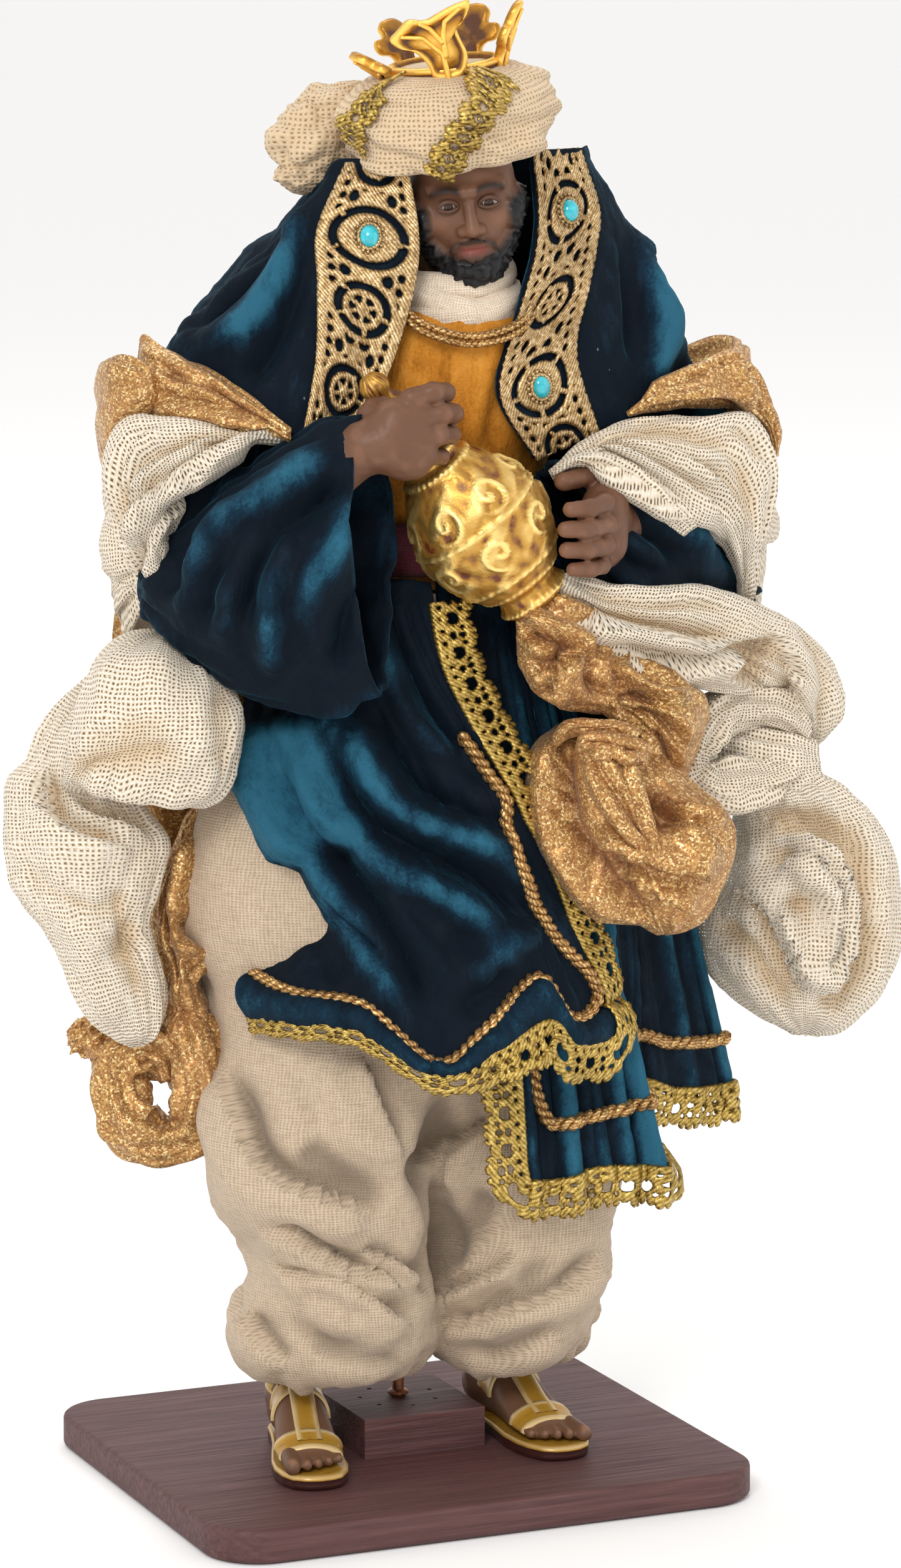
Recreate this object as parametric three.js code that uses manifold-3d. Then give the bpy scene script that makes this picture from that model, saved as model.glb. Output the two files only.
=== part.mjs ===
// A dressed crib figure on a wooden base: a standing king in turban, coat and baggy trousers who holds a jar.
// Millimetres, +Z up, the origin at the centre of the base's underside, the figure facing -Y.
import * as THREE from "three";
import { mergeVertices } from "three/addons/utils/BufferGeometryUtils.js";
import Module from "manifold-3d";

const wasm = await Module();
wasm.setup();

// Base, block and rod
const BASE_LENGTH = 120;
const BASE_WIDTH = 105.5;
const BASE_THICKNESS = 7;
const BASE_CORNER_RADIUS = 12;
const BASE_EDGE = 0.6;
const BLOCK_LENGTH = 27;
const BLOCK_WIDTH = 28;
const BLOCK_HEIGHT = 8.4;
const ROD_DIAMETER = 2.5;
const ROD_SOCKET_DEPTH = 4;
const ROD_COLLAR_DIAMETER = 4.4;
const ROD_COLLAR_HEIGHT = 1;
const PIT_DIAMETER = 1.2;
const PIT_DEPTH = 0.8;
const PIT_COUNT = 7;

// The figure above its base, and the cloth and trim that dress it
const FIGURE_HEIGHT = 297.4;
const VELVET_THICKNESS = 2;
const LACE_THICKNESS = 1;
const LACE_WIDTH = 7;
const BRAID_WIDTH = 2.8;
const BRAID_THICKNESS = 1;
const GEM_DIAMETER = 4.4;
const GEM_HEIGHT = 1.4;
const SOLE_THICKNESS = 3;
const CLEARANCE = 0.35;
const ROOM_STEP = 0.02;
const MOST_ROOM = 0.6;
const CORNER_GRID = 0.01;
const MERGE_DISTANCE = 1e-3;
const CREASE_VOLUME = 1e-3;

// The free forms are drawn for a figure of this height and follow FIGURE_HEIGHT
const DRAWN_HEIGHT = 297.4;
const SCALE = FIGURE_HEIGHT / DRAWN_HEIGHT;

const MATERIALS = {
  painted_wood: ["#4a2a26", 0.7, 0],
  rod_metal: ["#8a4a22", 0.5, 0.6],
  foot_skin: ["#7a5236", 0.45, 0],
  linen: ["#c9b08c", 0.95, 0],
  ochre_velvet: ["#b8741c", 0.9, 0],
  sash_cloth: ["#5a0f22", 0.9, 0],
  neck_linen: ["#d8c8b0", 0.95, 0],
  skin: ["#4f382c", 0.45, 0],
  turban_gauze: ["#d9cdb8", 0.95, 0],
  gold_lace: ["#a8853c", 0.5, 0.6],
  crown_gold: ["#a8761e", 0.4, 0.8],
  velvet: ["#0d2c40", 0.9, 0],
  braid: ["#8a6230", 0.5, 0.5],
  gem: ["#1f9fb4", 0.15, 0],
  jar_gold: ["#a97a2c", 0.4, 0.8],
  gauze: ["#ddd0b8", 0.95, 0],
  lame: ["#a5773a", 0.45, 0.6],
};

// Smooth values at t of the curves through keys of the form [position, value, value, ...]
function blend(keys, t) {
  const last = keys.length - 1;
  const inside = Math.min(Math.max(t, keys[0][0]), keys[last][0]);
  let i = 0;
  while (i < last - 1 && keys[i + 1][0] < inside) i += 1;
  const a = keys[i];
  const b = keys[i + 1];
  const before = keys[i - 1] ?? a;
  const after = keys[i + 2] ?? b;
  const span = b[0] - a[0];
  const f = (inside - a[0]) / span;
  return a.slice(1).map((start, k) => {
    const end = b[k + 1];
    const slopeIn = ((end - before[k + 1]) / (b[0] - before[0])) * span;
    const slopeOut = ((after[k + 1] - start) / (after[0] - a[0])) * span;
    const bend = (3 - 2 * f) * f * f;
    return start + bend * (end - start) + f * (1 - f) * ((1 - f) * slopeIn - f * slopeOut);
  });
}

// A point of the figure from drawn coordinates
function at(x, y, z) {
  return new THREE.Vector3(x, y, z).multiplyScalar(SCALE);
}

// A drawn point round the upright axis (x, y): angle in degrees from the front towards the figure's left
function around([x, y], angle, radius, z) {
  const turn = THREE.MathUtils.degToRad(angle);
  return [x + radius * Math.sin(turn), y - radius * Math.cos(turn), z];
}

// The surface through a net of drawn points, net[column][row], as (u, v) => Vector3 with u and v from 0 to 1
function surfaceThrough(net) {
  const columns = net.map((column) => column.map((p, j) => [j / (column.length - 1), ...p]));
  return (u, v) => {
    const keys = columns.map((column, i) => [i / (net.length - 1), ...blend(column, v)]);
    return at(...blend(keys, u));
  };
}

// The unit normal of a surface, from its nearby points
function normalOf(surface, u, v) {
  const step = 0.01;
  const alongU = surface(Math.min(u + step, 1), v).sub(surface(Math.max(u - step, 0), v));
  const alongV = surface(u, Math.min(v + step, 1)).sub(surface(u, Math.max(v - step, 0)));
  return alongU.cross(alongV).normalize();
}

// The surface moved along its normal by a share that may change over the surface
function offsetSurface(surface, amount) {
  return (u, v) => surface(u, v).addScaledVector(normalOf(surface, u, v), amount(u, v));
}

// Geometry from points and triangles, turned so that its faces point out
function closedGeometry(points, triangles) {
  let volume = 0;
  triangles.forEach(([a, b, c]) => {
    volume += points[a].dot(points[b].clone().cross(points[c]));
  });
  const faces = volume < 0 ? triangles.map(([a, b, c]) => [a, c, b]) : triangles;
  const geometry = new THREE.BufferGeometry().setFromPoints(points);
  geometry.setIndex(faces.flat());
  return geometry;
}

// Two triangles between four corners
function quad(a, b, c, d) {
  return [
    [a, b, c],
    [a, c, d],
  ];
}

// A closed skin over rings of points, with a cap at each end
function skinOver(rings) {
  const sides = rings[0].length;
  const points = rings.flat();
  const triangles = [];
  for (let i = 0; i + 1 < rings.length; i += 1) {
    for (let j = 0; j < sides; j += 1) {
      const next = (j + 1) % sides;
      triangles.push(...quad(i * sides + j, i * sides + next, (i + 1) * sides + next, (i + 1) * sides + j));
    }
  }
  [0, rings.length - 1].forEach((end) => {
    const middle = rings[end].reduce((sum, p) => sum.add(p), new THREE.Vector3()).divideScalar(sides);
    points.push(middle);
    for (let j = 0; j < sides; j += 1) {
      const edge = [end * sides + j, end * sides + ((j + 1) % sides)];
      triangles.push([points.length - 1, ...(end ? edge : edge.reverse())]);
    }
  });
  return closedGeometry(points, triangles);
}

// Level rings through stations [z, x, y, half width, half depth], with a wave(angle, z) that swells each ring
function levelForm(stations, rings, sides, wave = () => 0) {
  const low = stations[0][0];
  const keys = stations.map((station, i) => [i, ...station]);
  return skinOver(
    Array.from({ length: rings }, (_, i) => {
      const [z, x, y, halfWidth, halfDepth] = blend(keys, (i / (rings - 1)) * (stations.length - 1));
      return Array.from({ length: sides }, (__, j) => {
        const turn = (j / sides) * 2 * Math.PI;
        const swell = 1 + wave(turn, z - low);
        return at(x + halfWidth * swell * Math.sin(turn), y - halfDepth * swell * Math.cos(turn), z);
      });
    }),
  );
}

// A bent tube through stations [x, y, z, half height, half width], its rings square to the path
function pathForm(stations, rings, sides, wave = () => 0) {
  const keys = stations.map((station, i) => [i, ...station]);
  const place = (s) => blend(keys, s * (stations.length - 1));
  return skinOver(
    Array.from({ length: rings }, (_, i) => {
      const s = i / (rings - 1);
      const [x, y, z, halfHeight, halfWidth] = place(s);
      const ahead = at(...place(Math.min(s + 0.02, 1)).slice(0, 3));
      const along = ahead.sub(at(...place(Math.max(s - 0.02, 0)).slice(0, 3))).normalize();
      const side = new THREE.Vector3(0, 0, 1).cross(along);
      if (side.length() < 0.2) side.set(1, 0, 0).cross(along);
      side.normalize();
      const rise = along.clone().cross(side);
      return Array.from({ length: sides }, (__, j) => {
        const turn = (j / sides) * 2 * Math.PI;
        const swell = SCALE * (1 + wave(turn, s));
        return at(x, y, z)
          .addScaledVector(rise, halfHeight * swell * Math.cos(turn))
          .addScaledVector(side, halfWidth * swell * Math.sin(turn));
      });
    }),
  );
}

// A ball stretched to three half sizes, at a drawn point
function ball([x, y, z], [halfX, halfY, halfZ], across = 10, up = 8) {
  const geometry = new THREE.SphereGeometry(1, across, up);
  geometry.rotateX(Math.PI / 2);
  geometry.scale(halfX * SCALE, halfY * SCALE, halfZ * SCALE);
  return geometry.translate(x * SCALE, y * SCALE, z * SCALE);
}

// A sheet of cloth of one thickness over a surface: outer and inner face and the rim between them
function cloth(surface, across, down, thickness) {
  const outer = [];
  const inner = [];
  for (let i = 0; i <= across; i += 1) {
    for (let j = 0; j <= down; j += 1) {
      const normal = normalOf(surface, i / across, j / down);
      const middle = surface(i / across, j / down);
      outer.push(middle.clone().addScaledVector(normal, thickness / 2));
      inner.push(middle.addScaledVector(normal, -thickness / 2));
    }
  }
  const count = outer.length;
  const index = (i, j) => i * (down + 1) + j;
  const triangles = [];
  for (let i = 0; i < across; i += 1) {
    for (let j = 0; j < down; j += 1) {
      const corners = [index(i, j), index(i, j + 1), index(i + 1, j + 1), index(i + 1, j)];
      triangles.push(...quad(...corners));
      triangles.push(...quad(...corners.map((c) => c + count).reverse()));
    }
  }
  const rim = [];
  for (let j = 0; j < down; j += 1) rim.push(index(0, j));
  for (let i = 0; i < across; i += 1) rim.push(index(i, down));
  for (let j = down; j > 0; j -= 1) rim.push(index(across, j));
  for (let i = across; i > 0; i -= 1) rim.push(index(i, 0));
  rim.forEach((a, k) => {
    const b = rim[(k + 1) % rim.length];
    triangles.push(...quad(a, a + count, b + count, b));
  });
  return closedGeometry(outer.concat(inner), triangles);
}

// The triangles of an index without those that collapsed and without pairs that lie back to back:
// a merge of close points leaves both
function tidyTriangles(index) {
  const counts = new Map();
  for (let i = 0; i < index.length; i += 3) {
    const corners = [index[i], index[i + 1], index[i + 2]];
    const first = corners.indexOf(Math.min(...corners));
    const [a, b, c] = [0, 1, 2].map((k) => corners[(first + k) % 3]);
    const back = [a, c, b].join();
    if (a === b || b === c || c === a) continue;
    if (counts.get(back)) counts.set(back, counts.get(back) - 1);
    else counts.set([a, b, c].join(), (counts.get([a, b, c].join()) ?? 0) + 1);
  }
  return [...counts].flatMap(([key, count]) => Array(count).fill(key.split(",").map(Number)).flat());
}

// A closed geometry as a solid that can be joined and cut, its corners on a fine grid so that close ones meet
function solid(geometry) {
  const bare = geometry.clone();
  bare.deleteAttribute("normal");
  bare.deleteAttribute("uv");
  const values = bare.attributes.position.array;
  values.forEach((value, i) => {
    values[i] = Math.round(value / CORNER_GRID) * CORNER_GRID;
  });
  const merged = mergeVertices(bare, MERGE_DISTANCE);
  return new wasm.Manifold(
    new wasm.Mesh({
      numProp: 3,
      vertProperties: new Float32Array(merged.attributes.position.array),
      triVerts: new Uint32Array(tidyTriangles(merged.index.array)),
    }),
  );
}

function join(...geometries) {
  return geometries.map((g) => (g.isBufferGeometry ? solid(g) : g)).reduce((all, part) => all.add(part));
}

// A solid as plain geometry
function geometryOf(body) {
  const mesh = body.getMesh();
  const geometry = new THREE.BufferGeometry();
  const points = new Float32Array(mesh.vertProperties);
  geometry.setAttribute("position", new THREE.BufferAttribute(points, mesh.numProp));
  geometry.setIndex(new THREE.BufferAttribute(new Uint32Array(mesh.triVerts), 1));
  return geometry;
}

// The solid with its surface moved out, which cuts the room that a neighbour needs
function grown(body, distance) {
  const geometry = geometryOf(body);
  geometry.computeVertexNormals();
  const place = geometry.attributes.position;
  const normal = geometry.attributes.normal;
  for (let i = 0; i < place.count; i += 1) {
    place.setXYZ(
      i,
      place.getX(i) + normal.getX(i) * distance,
      place.getY(i) + normal.getY(i) * distance,
      place.getZ(i) + normal.getZ(i) * distance,
    );
  }
  geometry.deleteAttribute("normal");
  return solid(geometry);
}

// The largest body of a solid, without the crumbs that a cut may leave
function largest(body) {
  return body.decompose().reduce((best, part) => (part.volume() > best.volume() ? part : best));
}

// A solid with room cut for the neighbours that it lies on; where the grown neighbour folds over itself in a
// sharp crease, more cuts closer to its surface reach into the crease
function cutRoom(body, neighbours, room) {
  const cut = (left, other) => {
    const roomy = left.subtract(grown(other, room));
    if (roomy.intersect(other).volume() < CREASE_VOLUME) return roomy;
    const closer = [grown(other, room / 2), grown(other, room / 4), other];
    return closer.reduce((rest, inner) => rest.subtract(inner), roomy);
  };
  return largest(solid(geometryOf(neighbours.reduce(cut, body))));
}

// True where each edge of the solid belongs to just two triangles, so that it touches itself nowhere
function hasCleanEdges(body) {
  const index = mergeVertices(geometryOf(body), MERGE_DISTANCE).index.array;
  const counts = new Map();
  for (let i = 0; i < index.length; i += 1) {
    const next = i % 3 === 2 ? i - 2 : i + 1;
    const edge = [Math.min(index[i], index[next]), Math.max(index[i], index[next])].join();
    counts.set(edge, (counts.get(edge) ?? 0) + 1);
  }
  return [...counts.values()].every((count) => count === 2);
}

// The solid cut to its neighbours, with a little more room while the cut leaves a place that touches itself
function fitted(body, neighbours) {
  let room = CLEARANCE;
  let made = cutRoom(body, neighbours, room);
  while (!hasCleanEdges(made) && room < MOST_ROOM) {
    room += ROOM_STEP;
    made = cutRoom(body, neighbours, room);
  }
  return made;
}

const group = new THREE.Group();
const figure = new THREE.Group();
figure.position.z = BASE_THICKNESS;
group.add(figure);

function addMesh(parent, name, body, look) {
  const [color, roughness, metalness] = MATERIALS[look];
  const material = new THREE.MeshStandardMaterial({ color, roughness, metalness, flatShading: true });
  const mesh = new THREE.Mesh(geometryOf(body), material);
  mesh.name = name;
  parent.add(mesh);
}

// Base board with round corners and an eased top edge
function baseBoard() {
  const halfLength = BASE_LENGTH / 2 - BASE_EDGE;
  const halfWidth = BASE_WIDTH / 2 - BASE_EDGE;
  const radius = BASE_CORNER_RADIUS - BASE_EDGE;
  const outline = new THREE.Shape();
  outline.moveTo(halfLength, radius - halfWidth);
  outline.absarc(halfLength - radius, halfWidth - radius, radius, 0, Math.PI / 2);
  outline.absarc(radius - halfLength, halfWidth - radius, radius, Math.PI / 2, Math.PI);
  outline.absarc(radius - halfLength, radius - halfWidth, radius, Math.PI, 1.5 * Math.PI);
  outline.absarc(halfLength - radius, radius - halfWidth, radius, 1.5 * Math.PI, 2 * Math.PI);
  const board = new THREE.ExtrudeGeometry(outline, {
    depth: BASE_THICKNESS - 2 * BASE_EDGE,
    bevelThickness: BASE_EDGE,
    bevelSize: BASE_EDGE,
    bevelSegments: 1,
    curveSegments: 3,
  });
  return solid(board.translate(0, 0, BASE_EDGE));
}

// Where the rod stands on the base, and where its top ends inside the trousers
const ROD_PLACE = [-0.3, 1];
const ROD_TOP = 80 * SCALE;

function upright(radius, low, high, sides = 8) {
  const geometry = new THREE.CylinderGeometry(radius, radius, high - low, sides);
  return geometry.rotateX(Math.PI / 2).translate(...ROD_PLACE, (low + high) / 2);
}

function supportRod() {
  const foot = BLOCK_HEIGHT - ROD_SOCKET_DEPTH + CLEARANCE;
  const rod = upright(ROD_DIAMETER / 2, foot, ROD_TOP);
  const collarLow = BLOCK_HEIGHT + CLEARANCE;
  return join(rod, upright(ROD_COLLAR_DIAMETER / 2, collarLow, collarLow + ROD_COLLAR_HEIGHT));
}

// Block with the rod's socket and a ring of nail pits
function baseBlock() {
  const box = new THREE.BoxGeometry(BLOCK_LENGTH, BLOCK_WIDTH, BLOCK_HEIGHT);
  box.translate(-0.5, 0, BLOCK_HEIGHT / 2);
  const socket = upright(ROD_DIAMETER / 2 + CLEARANCE, BLOCK_HEIGHT - ROD_SOCKET_DEPTH, BLOCK_HEIGHT + 1);
  let block = solid(box).subtract(solid(socket));
  for (let i = 0; i < PIT_COUNT; i += 1) {
    const [x, y] = around(ROD_PLACE, (i * 360) / PIT_COUNT, 0.3 * BLOCK_LENGTH, 0);
    const pit = new THREE.CylinderGeometry(PIT_DIAMETER / 2, PIT_DIAMETER / 2, 2 * PIT_DEPTH, 5);
    block = block.subtract(solid(pit.rotateX(Math.PI / 2).translate(x, y, BLOCK_HEIGHT)));
  }
  return block;
}

// Foot in a sandal: sole, foot, toes and straps, from the heel at the origin towards -Y
function foot(side, [heelX, heelY], turnOut) {
  const outline = new THREE.SplineCurve(
    [
      [0, 5], [5, 2], [5.5, -10], [7.5, -24], [7, -34], [3.5, -39],
      [-2, -39.5], [-6.5, -35], [-7.5, -26], [-5.5, -12], [-5, 0], [0, 5],
    ].map(([x, y]) => new THREE.Vector2(x * side * SCALE, y * SCALE)),
  );
  const sole = new THREE.ExtrudeGeometry(new THREE.Shape(outline.getPoints(12)), {
    depth: SOLE_THICKNESS,
    bevelEnabled: false,
  });
  const body = [
    [0, 3, 7.5, 3.5, 2.5],
    [0, 0, 8.5, 6, 4.6],
    [0, -8, 9.5, 7, 4.8],
    [0, -16, 8, 6, 5.6],
    [0, -24, 5.6, 3.6, 6.4],
    [0, -31, 4.6, 2.4, 6.2],
    [0, -34, 4.2, 1.6, 4],
  ];
  const ankle = [
    [0, -5, 7, 5.6, 5.2],
    [0, -6, 30, 5, 4.8],
  ];
  const strapAt = (from, to) => {
    const swollen = body.map(([x, y, z, h, w]) => [x, y, z, h + 0.8, w + 0.8]);
    const keys = swollen.map((station, i) => [i, ...station]);
    return pathForm([from, to].map((i) => blend(keys, i)), 2, 7);
  };
  const toes = [0, 1, 2, 3, 4].map((i) => {
    const big = i === 0 ? 1.35 : 1 - 0.07 * i;
    const x = side * (-4.6 + 2.35 * i + (i ? 0.7 : 0));
    return ball([x, -35.5 + 0.22 * i * i, 4.9], [1.35 * big, 3.1 * big, 1.9 * big], 5, 3);
  });
  const all = join(
    sole,
    pathForm(body, 5, 7),
    pathForm(ankle, 2, 6),
    strapAt(4.0, 4.5),
    strapAt(1.5, 2.0),
    ...toes,
  );
  const floor = new THREE.BoxGeometry(60, 120, 20).translate(0, 0, -10);
  return all
    .subtract(solid(floor))
    .rotate([0, 0, turnOut])
    .translate([heelX * SCALE, heelY * SCALE, 0]);
}

// Trousers: two balloon legs gathered at the ankles under wide hips
const RIGHT_LEG = [
  [18, -19, -3, 8, 8],
  [13, -18, -5, 14, 14],
  [17, -18, -7, 20, 19],
  [28, -18, -8, 21.5, 20],
  [42, -17, -8, 19.5, 19.5],
  [48, -18, -8, 20.5, 20],
  [56, -20.5, -8, 23.5, 22],
  [70, -21, -8, 24, 22.5],
  [88, -20, -5, 22, 23],
  [104, -18, -2, 19, 21],
];
const LEFT_LEG = [
  [18, 21, -4, 8, 8],
  [12.5, 21, -5, 12, 14.5],
  [17, 21.5, -7, 17, 18.5],
  [28, 22, -8, 19, 20],
  [42, 22.5, -8, 21, 21],
  [56, 22.5, -8, 22, 22],
  [72, 22, -8, 23, 22.5],
  [88, 20, -5, 23, 23],
  [104, 17, -2, 19, 21],
];
const HIPS = [
  [66, 0, -4, 18, 16],
  [80, 0, -4, 37, 24],
  [92, 0, -2, 41, 28],
  [100, 0, -1, 42, 28.5],
  [110, 0, 0, 46.5, 29],
  [124, 0, 0, 47, 29],
  [138, 1, 0, 44, 26],
  [152, 3, 0, 33, 21],
  [166, 4, -1, 25, 17.5],
  [180, 4, -1.6, 21, 15.8],
];

function trousers() {
  const gathers = (turn, rise) => 0.05 * Math.exp(-((rise / 12) ** 2)) * Math.cos(4 * turn);
  const slants = (turn, rise) => 0.035 * Math.sin(2 * turn + rise / 9);
  const legFolds = (turn, rise) => gathers(turn, rise) + slants(turn, rise);
  return join(
    levelForm(RIGHT_LEG, 10, 12, legFolds),
    levelForm(LEFT_LEG, 9, 12, (turn, rise) => legFolds(-turn, rise)),
    levelForm(HIPS, 8, 12, (turn, rise) => 0.02 * Math.sin(5 * turn + rise / 10)),
  );
}

// Stuffed torso in its tunic, with soft pleats down the chest
const TUNIC = [
  [180.4, 4, -1.8, 20.6, 15.6],
  [192, 4, -2.2, 21, 15.8],
  [205, 5, -3.5, 25, 17.5],
  [220, 6, -5.5, 29, 20],
  [233, 6, -7.5, 24, 18.6],
  [240, 6, -8, 13, 12.6],
];

function tunic() {
  return solid(levelForm(TUNIC, 6, 14, (turn) => 0.02 * Math.cos(7 * turn)));
}

function waistSash() {
  const band = (extra) => [
    [184, 4, -2, 20.8 + extra, 15.8 + extra],
    [188, 4, -2, 20.6 + extra, 15.6 + extra],
    [194, 4.4, -2.4, 21.8 + extra, 16.2 + extra],
  ];
  return solid(levelForm(band(2), 3, 12));
}

function neckCloth() {
  const ring = new THREE.TorusGeometry(12 * SCALE, 4.4 * SCALE, 5, 8);
  ring.scale(1.02, 0.96, 1.4).rotateX(0.3).rotateY(-0.06);
  return solid(ring.translate(6 * SCALE, -10.5 * SCALE, 241 * SCALE));
}

// Double braid round the neck of the tunic
function necklineBraid() {
  const half = BRAID_THICKNESS;
  const path = [
    [-10, -22.5, 239],
    [-6, -26, 234.4],
    [3, -27.8, 231.6],
    [13, -26.6, 233.4],
    [19.5, -22.8, 238.4],
  ].map((point) => [...point, half, half]);
  return solid(pathForm(path, 6, 5));
}

// Head: a stretched ball with a bearded jaw, brow, nose and ears, on its neck
const HEAD_ROOM = 2.2;
const HEAD_CENTRE = [7, -16.5, 259.5];
const HEAD_TURN = new THREE.Euler(0.2, -0.12, -0.33, "ZYX");

function bump([x, y, z], size, height) {
  return { middle: new THREE.Vector3(x, y, z).normalize(), size, height };
}

const HEAD_BUMPS = [
  bump([0, -1, -0.1], 0.13, 2.6),
  bump([0, -1, -0.22], 0.16, 1.6),
  bump([0, -1, 0.3], 0.5, 0.8),
  bump([0.36, -1, 0.02], 0.17, -1.3),
  bump([-0.36, -1, 0.02], 0.17, -1.3),
  bump([0, -1, -0.85], 0.5, 3.4),
  bump([0.55, -0.8, -0.8], 0.4, 1.4),
  bump([-0.55, -0.8, -0.8], 0.4, 1.4),
];

function head(across, up, extra) {
  const skull = new THREE.SphereGeometry(1, across, up).rotateX(Math.PI / 2);
  const place = skull.attributes.position;
  for (let i = 0; i < place.count; i += 1) {
    const way = new THREE.Vector3().fromBufferAttribute(place, i);
    let lift = extra;
    HEAD_BUMPS.forEach(({ middle, size, height }) => {
      lift += height * Math.exp(-((way.distanceTo(middle) / size) ** 2));
    });
    const [halfX, halfY, halfZ] = [10.6, 13, 15.5];
    place.setXYZ(
      i,
      (way.x * halfX + way.x * lift) * SCALE,
      (way.y * halfY + way.y * lift) * SCALE,
      (way.z * halfZ + way.z * lift) * SCALE,
    );
  }
  skull.deleteAttribute("normal");
  skull.deleteAttribute("uv");
  const turn = new THREE.Matrix4().makeRotationFromEuler(HEAD_TURN);
  turn.setPosition(at(...HEAD_CENTRE));
  const neck = [
    [240.8, 6, -8, 8.2 + extra, 7.8 + extra],
    [254, 7, -12, 7.6 + extra, 7.6 + extra],
  ];
  return join(mergeVertices(skull, 1e-4).applyMatrix4(turn), levelForm(neck, 2, 7));
}

// Turban: a fat roll round the head in its own tilted frame, and a puff at the right side
const TURBAN_TURN = new THREE.Matrix4().makeRotationFromEuler(new THREE.Euler(0.12, -0.14, 0, "ZYX"));
TURBAN_TURN.setPosition(at(4.5, -14.5, 275.4));
const TURBAN = [
  [-8.6, 0, 0, 16.5, 15.5],
  [-7.2, 0, 0, 20, 18.5],
  [-1, 0, 0, 22.3, 20],
  [5, 0, 0, 21, 18.4],
  [8.2, 0, 0, 17, 14.6],
  [9.4, 0, 0, 10, 9],
];

function turbanFold(turn, rise) {
  return 0.035 * Math.sin(3 * turn + 0.42 * rise);
}

function turban() {
  const roll = levelForm(TURBAN, 6, 14, turbanFold).applyMatrix4(TURBAN_TURN);
  return join(
    roll,
    ball([-18, 1, 270], [9, 8, 9], 7, 5),
    ball([-13, 0, 276], [9, 8, 6], 7, 5),
    ball([-20, 0, 263], [7, 5, 3.5], 7, 4),
  );
}

// A point over the turban's roll, from an angle in degrees and a height in the turban's own frame
function turbanPoint(angle, height, lift) {
  const row = blend(TURBAN, height);
  const turn = THREE.MathUtils.degToRad(angle);
  const swell = 1 + turbanFold(turn, height - TURBAN[0][0]);
  const x = (row[2] * swell + lift) * Math.sin(turn);
  const y = -(row[3] * swell + lift) * Math.cos(turn);
  return at(x, y, height).applyMatrix4(TURBAN_TURN);
}

// Lace band that crosses the turban from its top right to its lower front
function turbanLace() {
  const halfWidth = 9;
  const path = [
    [0, 34, 7.8],
    [0.3, 14, 5.5],
    [0.7, -10, -2],
    [1, -20, -7.6],
  ];
  const surface = (u, v) => {
    const [angle, height] = blend(path, u);
    return turbanPoint(angle + (v - 0.5) * 2 * halfWidth, height + (v - 0.5) * 2, 1.6);
  };
  return solid(cloth(surface, 7, 2, LACE_THICKNESS));
}

// Crown: a ring with five leaves of three lobes, each [angle, height, half width, outward lean, tilt]
const CROWN_RADIUS = 11.2;
const CROWN_WALL = 1.4;
const CROWN_TURN = new THREE.Matrix4().makeRotationFromEuler(new THREE.Euler(0.06, -0.14, 0, "ZYX"));
CROWN_TURN.setPosition(at(4.6, -13, 283.8));
const CROWN_LEAVES = [
  [-20, 15.4, 9, 6, -18],
  [58, 12.5, 6, 22, 0],
  [128, 12, 6, 20, 0],
  [200, 11, 6, 20, 0],
  [-100, 14, 8, 56, 10],
];

function crownLeaf([angle, height, halfWidth, lean, tilt]) {
  const half = [
    [0.45, 0], [0.3, 0.32], [0.85, 0.4], [1, 0.62], [0.75, 0.8], [0.36, 0.64], [0.42, 0.88], [0.16, 1],
  ];
  const corners = half.concat(half.map(([x, y]) => [-x, y]).reverse());
  const shape = new THREE.Shape(
    corners.map(([x, y]) => new THREE.Vector2(x * halfWidth * SCALE, y * height * SCALE)),
  );
  const leaf = new THREE.ExtrudeGeometry(shape, { depth: CROWN_WALL, bevelEnabled: false });
  leaf.translate(0, 0, -CROWN_WALL / 2).rotateX(Math.PI / 2).rotateY(THREE.MathUtils.degToRad(tilt));
  leaf.rotateX(THREE.MathUtils.degToRad(lean)).translate(0, (CROWN_WALL / 2 - CROWN_RADIUS) * SCALE, 0);
  return leaf.rotateZ(THREE.MathUtils.degToRad(angle));
}

function crown() {
  const profile = [
    [CROWN_RADIUS - CROWN_WALL, -2],
    [CROWN_RADIUS, -2],
    [CROWN_RADIUS, 2.2],
    [CROWN_RADIUS - CROWN_WALL, 2.2],
    [CROWN_RADIUS - CROWN_WALL, -2],
  ].map(([r, z]) => new THREE.Vector2(r * SCALE, z * SCALE));
  const ring = new THREE.LatheGeometry(profile, 12).rotateX(Math.PI / 2);
  const leaves = CROWN_LEAVES.map(crownLeaf);
  const whole = join(geometryOf(solid(ring)), ...leaves);
  return solid(geometryOf(whole).applyMatrix4(CROWN_TURN));
}

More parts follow.
